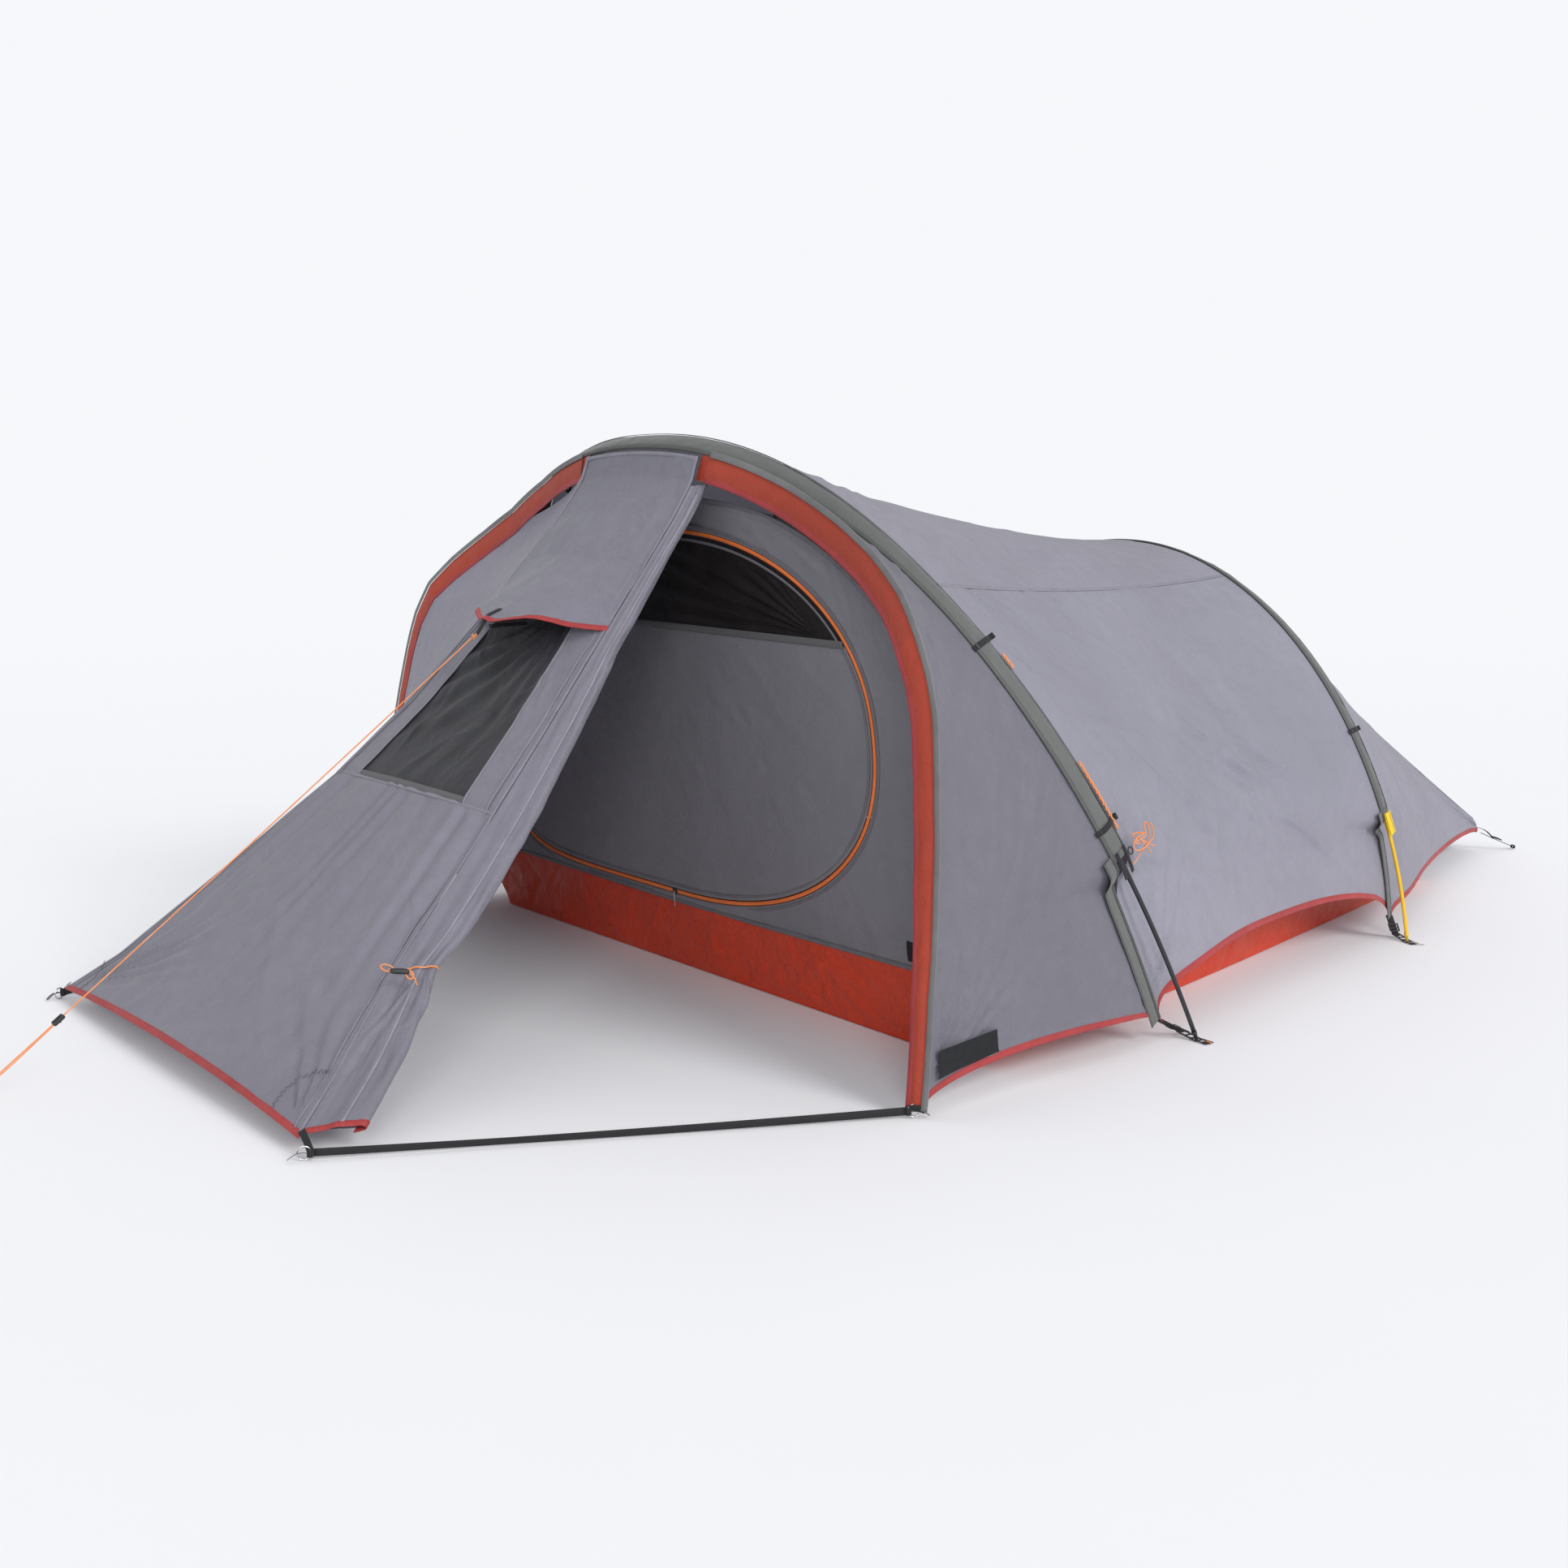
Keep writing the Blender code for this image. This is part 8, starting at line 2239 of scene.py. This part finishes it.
for a in np.linspace(0, 2 * math.pi, 40):
    loopB.append(tp + np.array([0.006, 0.010, -0.002]) + np.array([0.006, 0.004, -0.004]) * (1 + math.cos(a)) * 0.9 + np.array([0.0, 0.003, 0.006]) * math.sin(a) * 0.9)
tube("tie_loop_aft", loopB, 0.0014, "cord", 10)
tube("tie_tail", round_path(np.array([tp + np.array([0.010, 0.014, -0.002]), tp + np.array([0.018, 0.020, -0.012]), tp + np.array([0.016, 0.024, -0.024])]), 20), 0.0012, "cord", 10)

# ------------------------------------------------------------------ spare line, run down the back of the sleeve and tied in a bow
wk, nk = frame1(np.array([0.300]))
kp = hoop1(np.array([0.300]))[0] + wk[0] * 0.0420 + nk[0] * 0.012
sp = []
for a in np.linspace(0.0, 1.0, 150):
    if a < 0.30:
        b = a / 0.30
        q = np.array([0.012 + 0.010 * b, 0.030 * math.sin(b * math.pi * 0.5), -0.055 * (1 - b)])
    else:
        b = (a - 0.30) / 0.70
        ang = b * 2.35 * math.pi
        rad = 0.020 + 0.010 * math.sin(2 * ang)
        q = np.array([0.022 + 0.012 * b, 0.030 + rad * (math.cos(ang) - 1.0) * 0.9, rad * math.sin(ang)])
    sp.append(kp + q)
sob, spth = cord_piece("spare_line_bow", sp, GD, "cord", ["spare_guyline"])
# stowed double run behind the sleeve, in two lengths, zigzag like a chain knot
for k_, (ta, tb_) in enumerate(((0.655, 0.625), (0.440, 0.318))):
    t_ = np.linspace(ta, tb_, 70)
    w_, n_ = frame1(t_)
    base = hoop1(t_) + w_ * 0.0285 + n_ * 0.0052
    zz = 0.0022 * np.sin(np.linspace(0, 70 * (ta - tb_) * 9, 70))
    tube(f"spare_line_run_{k_}", base + w_ * zz[:, None], 0.0015, "cord", 10)
    tube(f"spare_line_run_{k_}b", base - w_ * zz[:, None] + n_ * 0.0016, 0.0014, "cord", 10)
bow = []
for a in np.linspace(0, 2 * math.pi, 70):
    bow.append(kp + np.array([0.020, 0.004, -0.004]) + np.array([0.006 * math.sin(a), 0.018 * math.sin(a) * math.cos(a) * 1.6, 0.010 * math.cos(a)]))
tube("spare_line_loops", bow, 0.0013, "cord", 10)
for k_, dv in enumerate((np.array([0.010, 0.020, -0.022]), np.array([0.012, 0.028, -0.010]))):
    tube(f"spare_line_tail_{k_}", round_path(np.array([kp + np.array([0.020, 0.004, -0.004]), kp + np.array([0.024, 0.012, -0.012]) + dv * 0.4, kp + np.array([0.022, 0.006, -0.010]) + dv]), 24), 0.0012, "cord", 10)
# short peg loops of cord at the pole feet
for sgn, nm in ((1, "near"), (-1, "far")):
    m_ = np.array([sgn, 1, 1])
    e = np.array([H1_A + 0.0300, H1_Y - 0.003, 0.0045])
    pts = [e + np.array([-0.004, 0.0, 0.0]), e + np.array([0.004, 0.0015, -0.001]), e + np.array([0.0075, 0.003, -0.0025])]
    tube("foot_cord_front_" + nm, round_path(np.array(pts), 16) * m_, 0.0012, "cord", 10)
    e = np.array([H2_A + 0.026, H2_Y - 0.008, 0.0045])
    pts = [e + np.array([-0.006, 0.0, 0.001]), e + np.array([0.002, -0.006, 0.002]), e + np.array([0.012, -0.004, -0.001]), e + np.array([0.022, 0.006, -0.0015])]
    tube("foot_cord_rear_" + nm, round_path(np.array(pts), 20) * m_, 0.0012, "cordgrey", 10)

# ------------------------------------------------------------------ floor, light and camera
floor_me = bpy.data.meshes.new("studio_floor")
S = 60.0
floor_me.from_pydata([(-S, -S, -0.0005), (S, -S, -0.0005), (S, S, -0.0005), (-S, S, -0.0005)], [], [(0, 1, 2, 3)])
floor = bpy.data.objects.new("studio_floor", floor_me)
bpy.context.scene.collection.objects.link(floor)
fm = Mat("studio floor")
nz = fm.noise(fm.co.outputs["Object"], 2.4, 4.0, 0.6)
fm.link(fm.mixcol(nz, (0.880, 0.885, 0.905), (0.900, 0.905, 0.925)), fm.bsdf.inputs["Base Color"])
socket(fm.bsdf, "Roughness", 0.8)
# the floor fades into the white surroundings a few metres out
sep = fm.node("ShaderNodeSeparateXYZ")
fm.link(fm.co.outputs["Object"], sep.inputs[0])
rr_ = fm.math("SQRT", fm.math("ADD", fm.math("MULTIPLY", sep.outputs[0], sep.outputs[0]), fm.math("MULTIPLY", sep.outputs[1], sep.outputs[1])))
clear_ = fm.node("ShaderNodeBsdfTransparent")
mixf = fm.node("ShaderNodeMixShader")
fm.link(fm.maprange(rr_, 3.2, 8.5, 0.0, 1.0), mixf.inputs[0])
fm.link(fm.bsdf.outputs[0], mixf.inputs[1])
fm.link(clear_.outputs[0], mixf.inputs[2])
fm.link(mixf.outputs[0], fm.out.inputs[0])
floor_me.materials.append(fm.m)
floor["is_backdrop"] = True

world = bpy.data.worlds.new("studio")
bpy.context.scene.world = world
world.use_nodes = True
bg = world.node_tree.nodes["Background"]
bg.inputs[0].default_value = (0.960, 0.970, 1.000, 1.0)
bg.inputs[1].default_value = 0.70
seen = world.node_tree.nodes.new("ShaderNodeBackground")
seen.inputs[0].default_value = (0.925, 0.935, 0.960, 1.0)
seen.inputs[1].default_value = 1.0
lp = world.node_tree.nodes.new("ShaderNodeLightPath")
mxw = world.node_tree.nodes.new("ShaderNodeMixShader")
world.node_tree.links.new(lp.outputs["Is Camera Ray"], mxw.inputs[0])
world.node_tree.links.new(bg.outputs[0], mxw.inputs[1])
world.node_tree.links.new(seen.outputs[0], mxw.inputs[2])
world.node_tree.links.new(mxw.outputs[0], world.node_tree.nodes["World Output"].inputs[0])


def area(name, loc_, target, size, power, color=(1, 1, 1)):
    ld_ = bpy.data.lights.new(name, "AREA")
    ld_.shape = "DISK"
    ld_.size = size
    ld_.energy = power
    ld_.color = color
    lo = bpy.data.objects.new(name, ld_)
    bpy.context.scene.collection.objects.link(lo)
    lo.location = loc_
    lo.rotation_mode = "QUATERNION"
    lo.rotation_quaternion = (Vector(target) - Vector(loc_)).to_track_quat("-Z", "Y")
    lo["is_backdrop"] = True
    return lo


kd = unit(np.array([0.80, -0.45, 0.42]))
kpz = np.array([0.0, -0.5, 0.5]) + kd * 6.0
for nm_, kd, en_, an_ in (("key", unit(np.array([0.85, 0.12, 0.55])), 1.60, 0.45), ("front", unit(np.array([0.78, -0.58, 0.38])), 0.80, 0.30)):
    sun_ = bpy.data.lights.new(nm_, "SUN")
    sun_.energy = en_
    sun_.angle = an_
    sun_.color = (1.0, 0.99, 0.98)
    so_ = bpy.data.objects.new(nm_, sun_)
    bpy.context.scene.collection.objects.link(so_)
    so_.location = tuple(np.array([0.0, -0.5, 0.5]) + kd * 6.0)
    so_.rotation_mode = "QUATERNION"
    so_.rotation_quaternion = Vector(tuple(-kd)).to_track_quat("-Z", "Y")
    so_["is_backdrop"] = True


cam_d = bpy.data.cameras.new("photo_camera")
cam_d.sensor_width = 36.0
cam_d.lens = 44.867
cam_d.clip_start, cam_d.clip_end = 0.05, 200.0
cam = bpy.data.objects.new("photo_camera", cam_d)
bpy.context.scene.collection.objects.link(cam)
right = (0.61217734, 0.79067764, 0.00823216)
up = (-0.12723498, 0.08822493, 0.9879411)
back = (0.78041666, -0.60584258, 0.15461116)
cam.matrix_world = Matrix(((right[0], up[0], back[0], 3.38640), (right[1], up[1], back[1], -3.20510), (right[2], up[2], back[2], 1.06877), (0, 0, 0, 1)))
bpy.context.scene.camera = cam
bpy.context.scene.view_settings.view_transform = "Standard"
bpy.context.scene.view_settings.look = "None"
bpy.context.scene.view_settings.exposure = 0.0

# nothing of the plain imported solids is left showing
left = [n for n, o in NODES.items() if not o.hide_render]
if left:
    print("CAD nodes still shown:", left)
bpy.context.view_layer.update()
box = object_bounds()
